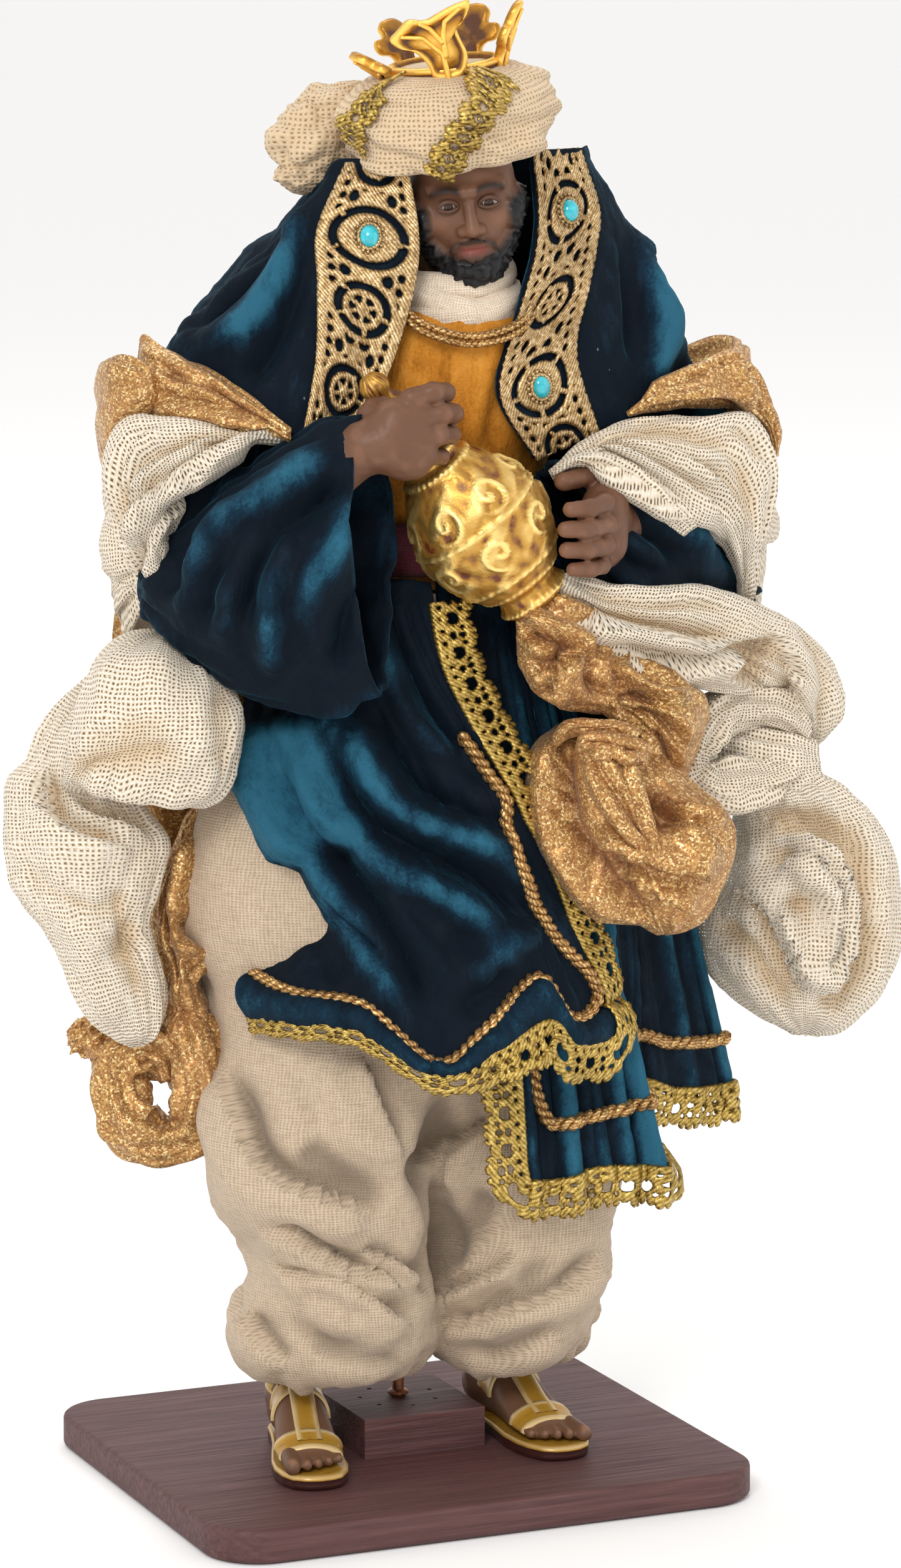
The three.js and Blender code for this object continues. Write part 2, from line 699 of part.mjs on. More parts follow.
// Bodice of the coat over the shoulders and upper arms: rows of [angle, radius, z] round the chest's axis,
// from the standing collar down to the hem, for each direction from the right front edge round the back
const CHEST_AXIS = [6, -4];
const BODICE = [
  [[-39, 20.5, 266], [-33, 22.5, 250], [-37, 26.5, 236], [-45, 32, 221], [-53, 40, 208]],
  [[-70, 23.5, 266], [-70, 33.5, 253], [-67, 37, 242], [-66, 42, 229], [-68, 48, 215]],
  [[-92, 24, 262], [-92, 41, 247], [-92, 52, 236], [-92, 55, 226], [-92, 54, 208]],
  [[-132, 22, 261], [-132, 34, 248], [-132, 43, 230], [-132, 46, 205], [-132, 44, 180]],
  [[-180, 21, 261], [-180, 27, 245], [-180, 32, 220], [-180, 34, 188], [-180, 35, 160]],
  [[-228, 22, 265], [-228, 34, 249], [-228, 44, 232], [-228, 46, 205], [-228, 44, 180]],
  [[-268, 29, 267], [-268, 44, 250], [-268, 52, 238], [-268, 57, 226], [-268, 56, 208]],
  [[-288, 29, 268], [-289, 34, 257], [-293, 36, 244], [-296, 38, 231], [-296, 44, 215]],
  [[-313, 20.5, 268], [-322, 23, 252], [-338, 23, 236], [-351, 23.5, 221], [-330, 25, 207]],
].map((column) => column.map(([angle, radius, z]) => around(CHEST_AXIS, angle, radius, z)));

const bodiceForm = surfaceThrough(BODICE);

function bodiceFold(u, v) {
  return 1.3 * v * Math.sin(18 * Math.PI * u) * Math.sin(Math.PI * u);
}

const bodiceSurface = offsetSurface(bodiceForm, bodiceFold);

// Lace band on a front edge of the bodice, from the edge to a width that narrows downwards
function collarLace(rightSide) {
  const widths = [
    [0, 0.115],
    [0.5, 0.125],
    [1, 0.1],
  ];
  const lift = VELVET_THICKNESS / 2 + CLEARANCE + LACE_THICKNESS / 2 + 0.9;
  const surface = (u, v) => {
    const inwards = blend(widths, v)[0] * (0.06 + 0.94 * u);
    const place = rightSide ? inwards : 1 - inwards;
    return bodiceForm(place, v).addScaledVector(normalOf(bodiceForm, place, v), lift);
  };
  return { surface, body: solid(cloth(surface, 2, 8, LACE_THICKNESS)) };
}

// Faceted stone that lies on the lace at (u, v)
function gem(surface, u, v) {
  const half = GEM_DIAMETER / 2;
  const profile = [
    [0, 0],
    [half, 0],
    [half, 0.35 * GEM_HEIGHT],
    [0.6 * half, GEM_HEIGHT],
    [0, GEM_HEIGHT],
  ].map(([r, z]) => new THREE.Vector2(r, z));
  const stone = new THREE.LatheGeometry(profile, 6);
  const normal = normalOf(surface, u, v);
  const outwards = normal.dot(surface(u, v).sub(at(...CHEST_AXIS, 240))) < 0 ? normal.negate() : normal;
  stone.applyQuaternion(new THREE.Quaternion().setFromUnitVectors(new THREE.Vector3(0, 1, 0), outwards));
  const seat = surface(u, v).addScaledVector(outwards, LACE_THICKNESS / 2 + CLEARANCE);
  return solid(stone.translate(...seat));
}

// Skirt of the coat: columns of [angle, radius, z] round the hips' axis from the waist down to the hem
const HIP_AXIS = [3, -2];
const OVER_PANEL = [
  [[-112, 24, 190], [-108, 38, 160], [-84, 46, 141], [-60, 45, 120], [-77, 47, 95]],
  [[-84, 24, 190], [-78, 38, 160], [-62, 43, 140], [-44, 42, 117], [-52, 43, 94]],
  [[-58, 23, 190], [-48, 33, 160], [-36, 37.5, 138], [-22, 39.5, 114], [-20, 42, 86]],
  [[-34, 22, 190], [-22, 30.5, 161], [-10, 35.5, 137], [3, 39, 114], [13, 40, 98]],
  [[-16, 21.5, 190], [-1, 29.5, 163], [13, 36, 141], [28, 41, 113], [45, 46, 89]],
].map((column) => column.map(([angle, radius, z]) => around(HIP_AXIS, angle, radius, z)));
const UNDER_PANEL = [
  [[-12, 21, 188], [-8, 24, 160], [0, 31, 130], [2, 33.5, 96], [3, 36, 62]],
  [[16, 21, 188], [20, 25, 160], [22, 31.5, 130], [24, 35, 97], [24, 40, 64]],
  [[44, 21.5, 188], [46, 30, 160], [46, 38, 130], [46, 41, 98], [49, 54, 66]],
  [[66, 23, 188], [62, 38, 160], [60, 47, 130], [60, 51, 104], [62, 55, 77]],
  [[88, 23.5, 188], [86, 43, 158], [86, 54, 130], [85, 61, 102], [84, 69, 77]],
  [[120, 24, 188], [118, 39, 158], [118, 49, 130], [118, 53, 102], [118, 60, 76]],
  [[150, 23, 188], [150, 32, 158], [150, 39, 130], [150, 43, 104], [150, 49, 81]],
  [[182, 22, 188], [182, 29, 158], [182, 35, 130], [182, 39, 106], [182, 45, 84]],
  [[216, 24, 188], [216, 33, 158], [216, 41, 130], [216, 43, 108], [216, 46, 86]],
].map((column) => column.map(([angle, radius, z]) => around(HIP_AXIS, angle, radius, z)));

const overForm = surfaceThrough(OVER_PANEL);
const underForm = surfaceThrough(UNDER_PANEL);
const overSurface = offsetSurface(overForm, (u, v) => 1.6 * v * Math.sin(2 * Math.PI * (2.6 * u - 1.9 * v)));
const underSurface = offsetSurface(underForm, (u, v) => 2 * v * Math.sin(8 * Math.PI * u));
const OVER_COLUMNS = 9;
const UNDER_COLUMNS = 13;

function coatSkirt() {
  const waistBand = (extra) => [
    [182, 4, -2, 22.4 + extra, 18.6 + extra],
    [187, 4, -2, 22 + extra, 18 + extra],
    [192, 4, -2, 22 + extra, 18 + extra],
  ];
  const band = solid(levelForm(waistBand(2.4), 2, 12)).subtract(
    solid(levelForm(waistBand(0).map(([z, ...rest]) => [z + Math.sign(z - 187), ...rest]), 2, 12)),
  );
  return join(
    cloth(overSurface, OVER_COLUMNS, 5, VELVET_THICKNESS),
    cloth(underSurface, UNDER_COLUMNS, 4, VELVET_THICKNESS),
    band,
  );
}

// Strip along a path of [u, v] on a surface: outwards moves it sideways in the surface, lift moves it off
function edging(surface, path, steps, { width, thickness, outwards = 0, lift }) {
  const keys = path.map((place, i) => [i, ...place]);
  const placeAt = (s) => blend(keys, s * (path.length - 1));
  const strip = (s, t) => {
    const place = placeAt(s);
    const along = surface(...placeAt(Math.min(s + 0.01, 1))).sub(surface(...placeAt(Math.max(s - 0.01, 0))));
    const normal = normalOf(surface, ...place);
    const across = normal.clone().cross(along.normalize());
    return surface(...place)
      .addScaledVector(across, outwards + (t - 0.5) * width)
      .addScaledVector(normal, lift);
  };
  return solid(cloth(strip, steps, 1, thickness));
}

// Lace along an edge of a panel and braid on it, both sewn on its face: the panels' normals point inwards
const TRIM_GAP = 2 * CLEARANCE;
const laceEdge = {
  width: LACE_WIDTH,
  thickness: LACE_THICKNESS,
  outwards: 0.45 * LACE_WIDTH,
  lift: -(VELVET_THICKNESS + LACE_THICKNESS) / 2 - TRIM_GAP,
};
const braidLine = {
  width: BRAID_WIDTH,
  thickness: BRAID_THICKNESS,
  lift: -(VELVET_THICKNESS + BRAID_THICKNESS) / 2 - TRIM_GAP,
};
const OVER_EDGE = [[0, 1], [0.33, 1], [0.66, 1], [0.97, 1], [1, 0.97], [1, 0.7], [1, 0.4], [1, 0.12]];
const OVER_BRAID = [
  [0.02, 0.86], [0.3, 0.86], [0.6, 0.86], [0.86, 0.86], [0.9, 0.8], [0.9, 0.55], [0.9, 0.3],
];
const UNDER_EDGE = [[0, 0.8], [0, 0.97], [0.03, 1], [0.35, 1], [0.7, 1], [1, 1]];
const UNDER_BRAID = [[0.05, 0.8], [0.05, 0.88], [0.08, 0.93], [0.35, 0.93], [0.7, 0.93], [1, 0.93]];

// Bell sleeve: a sack of velvet from the elbow [x, y] along the forearm towards [x, y], hollow at the mouth;
// stations are [distance, top, bottom, half depth]
function sleeve(elbow, wrist, stations, upperArm, mouth) {
  const from = new THREE.Vector2(...elbow);
  const along = new THREE.Vector2(...wrist).sub(from).normalize();
  const keys = stations.map((station, i) => [i, ...station]);
  const rings = 6;
  const sides = 9;
  const ringsAt = (inset) =>
    Array.from({ length: rings }, (_, i) => {
      const [distance, top, bottom, depth] = blend(keys, (i / (rings - 1)) * (stations.length - 1));
      return Array.from({ length: sides }, (__, j) => {
        const turn = (j / sides) * 2 * Math.PI;
        const side = (depth - inset) * Math.sin(turn) * (1 + 0.06 * Math.sin(3 * turn));
        const slope = mouth * (i / (rings - 1)) ** 3 * Math.cos(turn);
        return at(
          from.x + along.x * (distance + slope) - along.y * side,
          from.y + along.y * (distance + slope) + along.x * side,
          (top + bottom) / 2 + ((top - bottom) / 2 - inset) * Math.cos(turn),
        );
      });
    });
  const arm = levelForm(upperArm, 3, 6);
  const hollow = ringsAt(VELVET_THICKNESS).slice(-3);
  const step = new THREE.Vector3(along.x, along.y, 0).multiplyScalar(2);
  const opening = skinOver([...hollow, hollow[2].map((p) => p.clone().add(step))]);
  return join(skinOver(ringsAt(0)), arm).subtract(solid(opening));
}

// A finger or thumb through its joints [x, y, z] with a thickness that narrows to the tip
function finger(joints, radius) {
  const stations = joints.map(([x, y, z], i) => {
    const r = radius * (i === joints.length - 1 ? 0.6 : 1 - 0.06 * i);
    return [x, y, z, r, r];
  });
  return solid(pathForm(stations, 4, 5));
}

function handRight() {
  const palm = [
    [-37, -30, 202, 4.4, 4.4],
    [-29, -36.5, 207, 4.6, 4.4],
    [-24, -39.5, 212, 7, 5],
    [-18, -42, 215, 8.6, 4.4],
    [-13, -42.5, 216, 8.2, 3.4],
  ];
  const fingers = [0, 1, 2, 3].map((i) => {
    const z = 222.4 - 4.2 * i;
    const reach = [0, 1.6, 1.2, -0.8][i];
    return finger(
      [
        [-16, -43.5, z - 0.4],
        [-11.5 + reach, -44.2, z + 0.4],
        [-7.5 + reach, -41, z],
        [-8 + reach, -36.5, z - 0.8],
      ],
      2.4,
    );
  });
  const thumb = finger(
    [
      [-22, -36, 219],
      [-17, -32, 221],
      [-10, -29, 219],
    ],
    2.5,
  );
  return join(pathForm(palm, 4, 6), thumb, ...fingers);
}

function handLeft() {
  const palm = [
    [44, -22, 193, 4.6, 4.8],
    [36, -28, 194, 4.8, 4.8],
    [31, -33, 195, 7, 5],
    [27, -38, 195, 8.4, 4.4],
  ];
  const fingers = [0, 1, 2, 3].map((i) => {
    const z = 199.6 - 4.1 * i;
    const reach = [-0.5, 0.6, 0.2, -1.4][i];
    return finger(
      [
        [29, -38, z],
        [26 + reach * 0.4, -43.5, z - 0.4],
        [20.5 - reach, -46.5, z - 0.8],
        [16 - reach, -47, z - 0.6],
      ],
      2.3,
    );
  });
  const thumb = finger(
    [
      [31, -33, 201],
      [26, -34.5, 204.5],
      [19.5, -37, 203.5],
    ],
    2.5,
  );
  return join(pathForm(palm, 4, 6), thumb, ...fingers);
}

// Pear-shaped jar with its stopper, along its leaning axis: [distance from the stopper, radius]
const JAR_TOP = [-21, -33, 225.5];
const JAR_FOOT = [14.5, -36, 180];
const JAR = [
  [0, 0], [0.3, 2], [2, 3.3], [4, 3.2], [5.2, 2], [7, 2.2], [8, 4.2], [10, 3.6], [17, 4.4], [20, 6.4],
  [21.5, 6.2], [26, 9.6], [33, 13.4], [39, 14.4], [46, 13], [51, 10], [54, 6.6], [56, 7.6],
  [57.7, 7.2], [57.7, 0],
];

function jar() {
  const profile = JAR.map(([s, r]) => new THREE.Vector2(r * SCALE, s * SCALE));
  const axis = at(...JAR_FOOT).sub(at(...JAR_TOP)).normalize();
  const lathe = new THREE.LatheGeometry(profile, 10);
  lathe.applyQuaternion(new THREE.Quaternion().setFromUnitVectors(new THREE.Vector3(0, 1, 0), axis));
  return solid(lathe.translate(...at(...JAR_TOP)));
}

// Gauze stole: wrapped round each upper arm, across the back, and its hanging ends in soft loops
function gauzeStole() {
  const ripple = (turn, s) => 0.05 * Math.sin(4 * turn + 9 * s);
  const hanging = (turn, rise) => 0.05 * Math.sin(3 * turn + rise / 8);
  const acrossBack = [
    [-33, -27, 211, 2.5, 2.5],
    [-46, -21, 206, 9, 4.5],
    [-58, -9, 196, 17, 6],
    [-58, 8, 189, 16, 5],
    [-40, 30, 176, 10, 4],
    [0, 42, 168, 9, 4],
    [42, 34, 176, 10, 4],
    [70, 16, 189, 16, 5],
    [78, -5, 191, 19, 6],
    [66, -15, 197, 12, 5],
    [44, -24, 204, 6, 4],
    [24, -32, 204, 2, 2],
  ];
  const rightLoop = [
    [136, -60, -5, 7, 6],
    [140, -61, -5, 19, 10],
    [149, -63, -5, 24, 12],
    [160, -61, -5, 22, 12],
    [169, -57, -4, 16, 10],
    [178, -56, -3, 6, 6],
  ];
  const rightEnd = [
    [87, -60, 2, 4, 3],
    [94, -62, 1, 9, 6],
    [108, -67, 1, 13, 8],
    [125, -70, 1, 15, 9],
    [140, -73, 0, 13, 10],
    [152, -72, 0, 9, 8],
  ];
  const frontBand = [
    [17, -39, 182, 3, 3],
    [34, -38, 175, 7, 5],
    [54, -31, 169, 9, 6],
    [70, -20, 165, 12, 7],
    [82, -12, 162, 15, 9],
    [88, -11, 152, 10, 8],
  ];
  const leftLoop = [
    [80, 90, -12, 7, 6],
    [85, 90, -12, 17, 9],
    [98, 88, -13, 25, 12],
    [112, 87, -13, 26, 13],
    [124, 84, -14, 22, 12],
    [134, 80, -16, 16, 10],
    [146, 80, -17, 14, 8],
    [152, 84, -15, 9, 7],
  ];
  return join(
    pathForm(acrossBack, 15, 6, ripple),
    levelForm(rightLoop, 5, 8, hanging),
    levelForm(rightEnd, 5, 7, hanging),
    pathForm(frontBand, 5, 6, ripple),
    levelForm(leftLoop, 7, 8, hanging),
    ball([76, -10, 174], [9, 8, 8], 7, 4),
  );
}

// Lamé stole: it shows above the gauze at both arms, and its right end hangs behind the gauze
function lameStole() {
  const crumple = (turn, s) => 0.08 * Math.sin(5 * turn + 14 * s);
  const hanging = (turn, rise) => 0.12 * Math.sin(3 * turn + rise / 6);
  const acrossBack = [
    [-31, -25, 214.5, 2, 2],
    [-43, -17, 219.5, 6.5, 3],
    [-56, -4, 222.5, 9.5, 4],
    [-58, 10, 215, 9, 4],
    [-42, 34, 197, 9, 3],
    [0, 44, 188, 9, 3],
    [44, 37, 197, 9, 3],
    [68, 14, 215, 8, 4],
    [77, -4, 219, 8.5, 5],
    [66, -12, 217, 7, 4],
    [49, -18, 214, 3, 2.5],
  ];
  const rightEnd = [
    [61, -49, 15, 7, 5],
    [67, -52, 15, 14, 8],
    [80, -52, 15, 16, 9],
    [90, -48, 15, 12, 8],
    [98, -44, 16, 9, 5],
    [130, -43, 20, 9, 4],
    [170, -43, 31, 8, 3],
    [190, -44, 34, 7, 3],
  ];
  return join(pathForm(acrossBack, 14, 6, crumple), levelForm(rightEnd, 8, 7, hanging));
}

// The lamé's front end: it leaves the left wrist in crushed folds and bunches up into a rosette over the hip
function lameRosette() {
  const crumple = (turn, s) => 0.1 * Math.sin(5 * turn + 14 * s);
  const petals = (turn, rise) => 0.07 * Math.sin(5 * turn + rise / 7);
  const crushed = [
    [14, -33, 176, 7, 5],
    [28, -35, 168, 12, 7],
    [42, -36, 160, 13, 8],
    [52, -34, 150, 11, 8],
    [46, -38, 138, 8, 7],
  ];
  const bowl = [
    [110, 43, -39, 7, 6],
    [115, 41, -41, 16, 9],
    [126, 38, -42, 23, 11],
    [138, 35, -43, 24, 11],
    [148, 30, -43, 19, 10],
    [154, 25, -42, 10, 7],
  ];
  const cup = solid(levelForm(bowl, 6, 12, petals)).subtract(solid(ball([33, -54, 141], [13, 8, 9], 8, 5)));
  return join(pathForm(crushed, 5, 7, crumple), cup, ball([33, -47, 136], [7, 6, 9], 7, 5));
}

const board = baseBoard();
const block = baseBlock();
const rod = supportRod();
const rightFoot = foot(1, [-22, 7], -14);
const leftFoot = foot(-1, [22, 8], 4);
const legs = fitted(trousers(), [rightFoot, leftFoot, rod]);
const torso = tunic();
const face = fitted(head(16, 12, 0), [torso]);
const faceRoom = head(8, 6, HEAD_ROOM);
const sash = fitted(waistSash(), [torso]);
const scarf = fitted(neckCloth().subtract(faceRoom), [torso, face]);
const wrap = fitted(turban().subtract(faceRoom), [face]);
const wrapLace = fitted(turbanLace(), [wrap, face]);
const goldCrown = fitted(crown(), [wrap, wrapLace]);
const bodiceCloth = solid(cloth(bodiceSurface, 18, 5, VELVET_THICKNESS));
const bodice = fitted(bodiceCloth, [torso, scarf, face, wrap, wrapLace]);
const goldJar = jar();
const skirt = fitted(coatSkirt(), [torso, sash, legs, bodice, goldJar]);
const rightHand = fitted(handRight(), [goldJar]);
const leftHand = fitted(handLeft(), [goldJar]);

const overLace = fitted(edging(overSurface, OVER_EDGE, 14, laceEdge), [skirt, legs, goldJar, sash]);
const underLace = fitted(edging(underSurface, UNDER_EDGE, 14, laceEdge), [skirt, legs, overLace]);
const overBraid = fitted(edging(overSurface, OVER_BRAID, 12, braidLine), [skirt, overLace]);
const underBraid = fitted(edging(underSurface, UNDER_BRAID, 14, braidLine), [skirt, overLace, underLace]);
const skirtTrim = [overLace, underLace, overBraid, underBraid];

const RIGHT_SLEEVE = [
  [0, 188, 178, 6],
  [5, 193, 173, 10],
  [12, 200, 166, 13],
  [20, 207, 162, 15],
  [29, 213, 160, 15],
  [37, 216.5, 161, 14],
  [45.5, 217.5, 165, 11.5],
];
const LEFT_SLEEVE = [
  [0, 179, 171, 6],
  [7, 185, 167, 9],
  [16, 191, 163, 12],
  [28, 197, 160, 14],
  [38, 202, 162, 14],
  [47, 205.5, 169, 12],
  [55, 205.5, 180, 9],
];
const RIGHT_UPPER_ARM = [
  [184, -48, -8, 8, 8],
  [200, -46, -8, 8.5, 8.5],
  [218, -40, -6, 8, 8],
];
const LEFT_UPPER_ARM = [
  [180, 66, -8, 8, 8],
  [196, 62, -8, 8.5, 8.5],
  [216, 54, -6, 8, 8],
];
const inner = [torso, skirt, ...skirtTrim, bodice, goldJar];
const rightArm = sleeve([-56, -8], [-20, -40], RIGHT_SLEEVE, RIGHT_UPPER_ARM, -1.5);
const leftArm = sleeve([74, -4], [22, -29], LEFT_SLEEVE, LEFT_UPPER_ARM, 3);
const rightSleeve = fitted(rightArm, [...inner, rightHand]);
const leftSleeve = fitted(leftArm, [...inner, leftHand]);

const laceRight = collarLace(true);
const laceLeft = collarLace(false);
const hands = [rightHand, leftHand];
const dressed = [bodice, torso, scarf, face, wrap, ...hands, goldJar, rightSleeve, leftSleeve, skirt];
const rightLace = fitted(laceRight.body, dressed);
const leftLace = fitted(laceLeft.body, dressed);
const gems = [
  gem(laceRight.surface, 0.52, 0.26),
  gem(laceLeft.surface, 0.5, 0.2),
  gem(laceLeft.surface, 0.5, 0.78),
];

const clothed = [...inner, rightSleeve, leftSleeve, rightHand, leftHand, legs, rightLace, leftLace];
const lame = fitted(lameStole(), clothed);
const rosette = fitted(lameRosette(), clothed);
const gauze = fitted(gauzeStole(), [...clothed, lame, rosette]);

const neckBraid = fitted(necklineBraid(), [torso, scarf, bodice, rightLace, leftLace]);

addMesh(group, "base_board", board, "painted_wood");
addMesh(figure, "base_block", block, "painted_wood");
addMesh(figure, "support_rod", rod, "rod_metal");
addMesh(figure, "foot_right", rightFoot, "foot_skin");
addMesh(figure, "foot_left", leftFoot, "foot_skin");
addMesh(figure, "trousers", legs, "linen");
addMesh(figure, "tunic", torso, "ochre_velvet");
addMesh(figure, "waist_sash", sash, "sash_cloth");
addMesh(figure, "neck_cloth", scarf, "neck_linen");
addMesh(figure, "neckline_braid", neckBraid, "braid");
addMesh(figure, "head", face, "skin");
addMesh(figure, "turban", wrap, "turban_gauze");
addMesh(figure, "turban_lace", wrapLace, "gold_lace");
addMesh(figure, "crown", goldCrown, "crown_gold");
addMesh(figure, "coat_bodice", bodice, "velvet");
addMesh(figure, "coat_skirt", skirt, "velvet");
addMesh(figure, "skirt_lace_over", overLace, "gold_lace");
addMesh(figure, "skirt_lace_under", underLace, "gold_lace");
addMesh(figure, "skirt_braid_over", overBraid, "braid");
addMesh(figure, "skirt_braid_under", underBraid, "braid");
addMesh(figure, "sleeve_right", rightSleeve, "velvet");
addMesh(figure, "sleeve_left", leftSleeve, "velvet");
addMesh(figure, "collar_lace_right", rightLace, "gold_lace");
addMesh(figure, "collar_lace_left", leftLace, "gold_lace");
gems.forEach((stone, i) => addMesh(figure, `gem_${i + 1}`, stone, "gem"));
addMesh(figure, "hand_right", rightHand, "skin");
addMesh(figure, "hand_left", leftHand, "skin");
addMesh(figure, "jar", goldJar, "jar_gold");
addMesh(figure, "gauze_stole", gauze, "gauze");
addMesh(figure, "lame_stole", lame, "lame");
addMesh(figure, "lame_rosette", rosette, "lame");

export default group;
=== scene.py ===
import math

import bpy
import numpy as np
from mathutils import Matrix


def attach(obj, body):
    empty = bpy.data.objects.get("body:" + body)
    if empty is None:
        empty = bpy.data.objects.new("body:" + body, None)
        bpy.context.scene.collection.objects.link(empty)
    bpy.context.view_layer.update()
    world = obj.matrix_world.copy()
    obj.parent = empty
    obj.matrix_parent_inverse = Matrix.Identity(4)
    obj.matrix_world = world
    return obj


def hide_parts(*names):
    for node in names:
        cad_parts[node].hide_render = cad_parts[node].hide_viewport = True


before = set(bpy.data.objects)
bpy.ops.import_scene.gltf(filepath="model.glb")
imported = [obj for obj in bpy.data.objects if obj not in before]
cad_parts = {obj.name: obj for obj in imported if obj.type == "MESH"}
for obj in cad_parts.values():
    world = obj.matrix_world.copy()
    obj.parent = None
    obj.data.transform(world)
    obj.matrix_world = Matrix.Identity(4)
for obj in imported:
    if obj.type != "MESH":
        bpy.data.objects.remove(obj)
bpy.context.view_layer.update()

# Shapes are drawn in millimetres above the base board's top and placed in metres
BASE_TOP = 7.0
MM = 0.001
TAU = 2 * math.pi


# Numbers, curves and noise
def blend(keys, t):
    k = np.asarray(keys, float)
    x = k[:, 0]
    t = np.clip(np.asarray(t, float), x[0], x[-1])
    last = len(x) - 1
    i = np.clip(np.searchsorted(x, t, side="left") - 1, 0, last - 1)
    a, b = k[i], k[i + 1]
    before, after = k[np.maximum(i - 1, 0)], k[np.minimum(i + 2, last)]
    span = b[..., 0] - a[..., 0]
    f = ((t - a[..., 0]) / span)[..., None]
    slope_in = (b - before)[..., 1:] / (b - before)[..., :1] * span[..., None]
    slope_out = (after - a)[..., 1:] / (after - a)[..., :1] * span[..., None]
    bend = (3 - 2 * f) * f * f
    start, end = a[..., 1:], b[..., 1:]
    return start + bend * (end - start) + f * (1 - f) * ((1 - f) * slope_in - f * slope_out)


def even(stations):
    return [[i, *s] for i, s in enumerate(stations)]


def along_stations(stations, s):
    return blend(even(stations), np.asarray(s) * (len(stations) - 1))


def surface_through(net):
    """The surface through net[column][row] of points, as a function of u and v arrays"""
    net = np.array(net, float)
    columns, rows = net.shape[:2]
    row_keys = [[j / (rows - 1), *net[:, j].ravel()] for j in range(rows)]

    def at(u, v):
        u, v = np.broadcast_arrays(np.asarray(u, float), np.asarray(v, float))
        cols = blend(row_keys, v.ravel()).reshape(-1, columns, 3)
        x = np.clip(u.ravel(), 0, 1) * (columns - 1)
        i = np.clip(np.ceil(x).astype(int) - 1, 0, columns - 2)
        f = (x - i)[:, None]
        n = np.arange(len(x))
        a, b = cols[n, i], cols[n, i + 1]
        before, after = cols[n, np.maximum(i - 1, 0)], cols[n, np.minimum(i + 2, columns - 1)]
        slope_in = (b - before) / np.where(i > 0, 2, 1)[:, None]
        slope_out = (after - a) / np.where(i < columns - 2, 2, 1)[:, None]
        bend = (3 - 2 * f) * f * f
        p = a + bend * (b - a) + f * (1 - f) * ((1 - f) * slope_in - f * slope_out)
        return p.reshape(u.shape + (3,))

    return at


def bell(x, width, power=2):
    """1 at x = 0, falling off on both sides"""
    return np.exp(-((x / width) ** power))


def ring_angles(count):
    return np.arange(count) / count * TAU


def run_of(points):
    """Distance along a line of points, at each of them"""
    return np.concatenate([[0], np.cumsum(np.linalg.norm(np.diff(points, axis=0), axis=1))])


def smoothed(line, rounds):
    """A line evened out, its ends kept"""
    for _ in range(rounds):
        line[1:-1] = 0.25 * line[:-2] + 0.5 * line[1:-1] + 0.25 * line[2:]
    return line


def around(axis, angle, radius, z):
    """A point at an angle in degrees round an upright axis, 0 in front"""
    turn = math.radians(angle)
    return [axis[0] + radius * math.sin(turn), axis[1] - radius * math.cos(turn), z]


# Large odd numbers that spread whole numbers over 32 bits, and the shifts that bring three values out of one
CELL_PRIMES = np.array((374761393, 668265263, 2147483647))
SEED_PRIME = 974711
SPREAD_PRIMES = ((13, 1274126177), (16, 2246822519))
WORD = 0xFFFFFFFF
TEN_BITS = 1023
SHIFTS = (0, 10, 20)


def scramble(cell, seed):
    """A random whole number for each cell, always the same one"""
    h = ((cell * CELL_PRIMES).sum(-1) + seed * SEED_PRIME) & WORD
    for shift, prime in SPREAD_PRIMES:
        h = ((h ^ (h >> shift)) * prime) & WORD
    return h ^ (h >> 15)


def noise(p, seed):
    """Smooth gradient noise, about -1 to 1"""
    p = np.asarray(p, float)
    if p.shape[-1] == 2:
        p = np.concatenate([p, np.full(p.shape[:-1] + (1,), 0.37 + seed)], -1)
    cell = np.floor(p).astype(np.int64)
    f = p - cell
    w = f * f * f * (f * (f * 6 - 15) + 10)
    total = 0
    for corner in np.ndindex(2, 2, 2):
        d = np.array(corner)
        h = scramble(cell + d, seed)
        g = np.stack([((h >> s) & TEN_BITS) / (TEN_BITS / 2) - 1 for s in SHIFTS], -1)
        weight = np.prod(np.where(d == 1, w, 1 - w), -1)
        total = total + weight * ((f - d) * g).sum(-1)
    return total * 1.6


def stack(*parts):
    return np.stack(np.broadcast_arrays(*parts), -1)


def billow(n, soft=0.05):
    """Rounded crests with narrow valleys, 0 to about 1"""
    return np.sqrt(n * n + soft * soft) - soft


def creases(across, along, seed, stretch=0.3, warp=0.5):
    """Cloth folds that run along the second coordinate, 0 in the valleys to about 1 on the crests"""
    bend = warp * noise(stack(across * 0.45, along * 0.55), seed + 7)
    first = billow(noise(stack(across + bend, along * stretch), seed))
    second = billow(noise(stack(across * 2.1 + 2 * bend, along * stretch * 1.9), seed + 3))
    return 1.5 * first + 0.45 * second


def smooth_step(low, high, x):
    t = np.clip((x - low) / (high - low), 0, 1)
    return t * t * (3 - 2 * t)


def unit(v):
    return v / np.maximum(np.linalg.norm(v, axis=-1, keepdims=True), 1e-9)


# Meshes
def grid_normals(points, wrap=False):
    if wrap:
        du = np.roll(points, -1, 0) - np.roll(points, 1, 0)
    else:
        du = np.gradient(points, axis=0)
    dv = np.gradient(points, axis=1)
    return unit(np.cross(du, dv))


def outer_normals(points):
    """Normals of a closed grid, away from its middle"""
    normals = grid_normals(points, wrap=True)
    inward = ((points - points.mean(0, keepdims=True)) * normals).sum() < 0
    return -normals if inward else normals


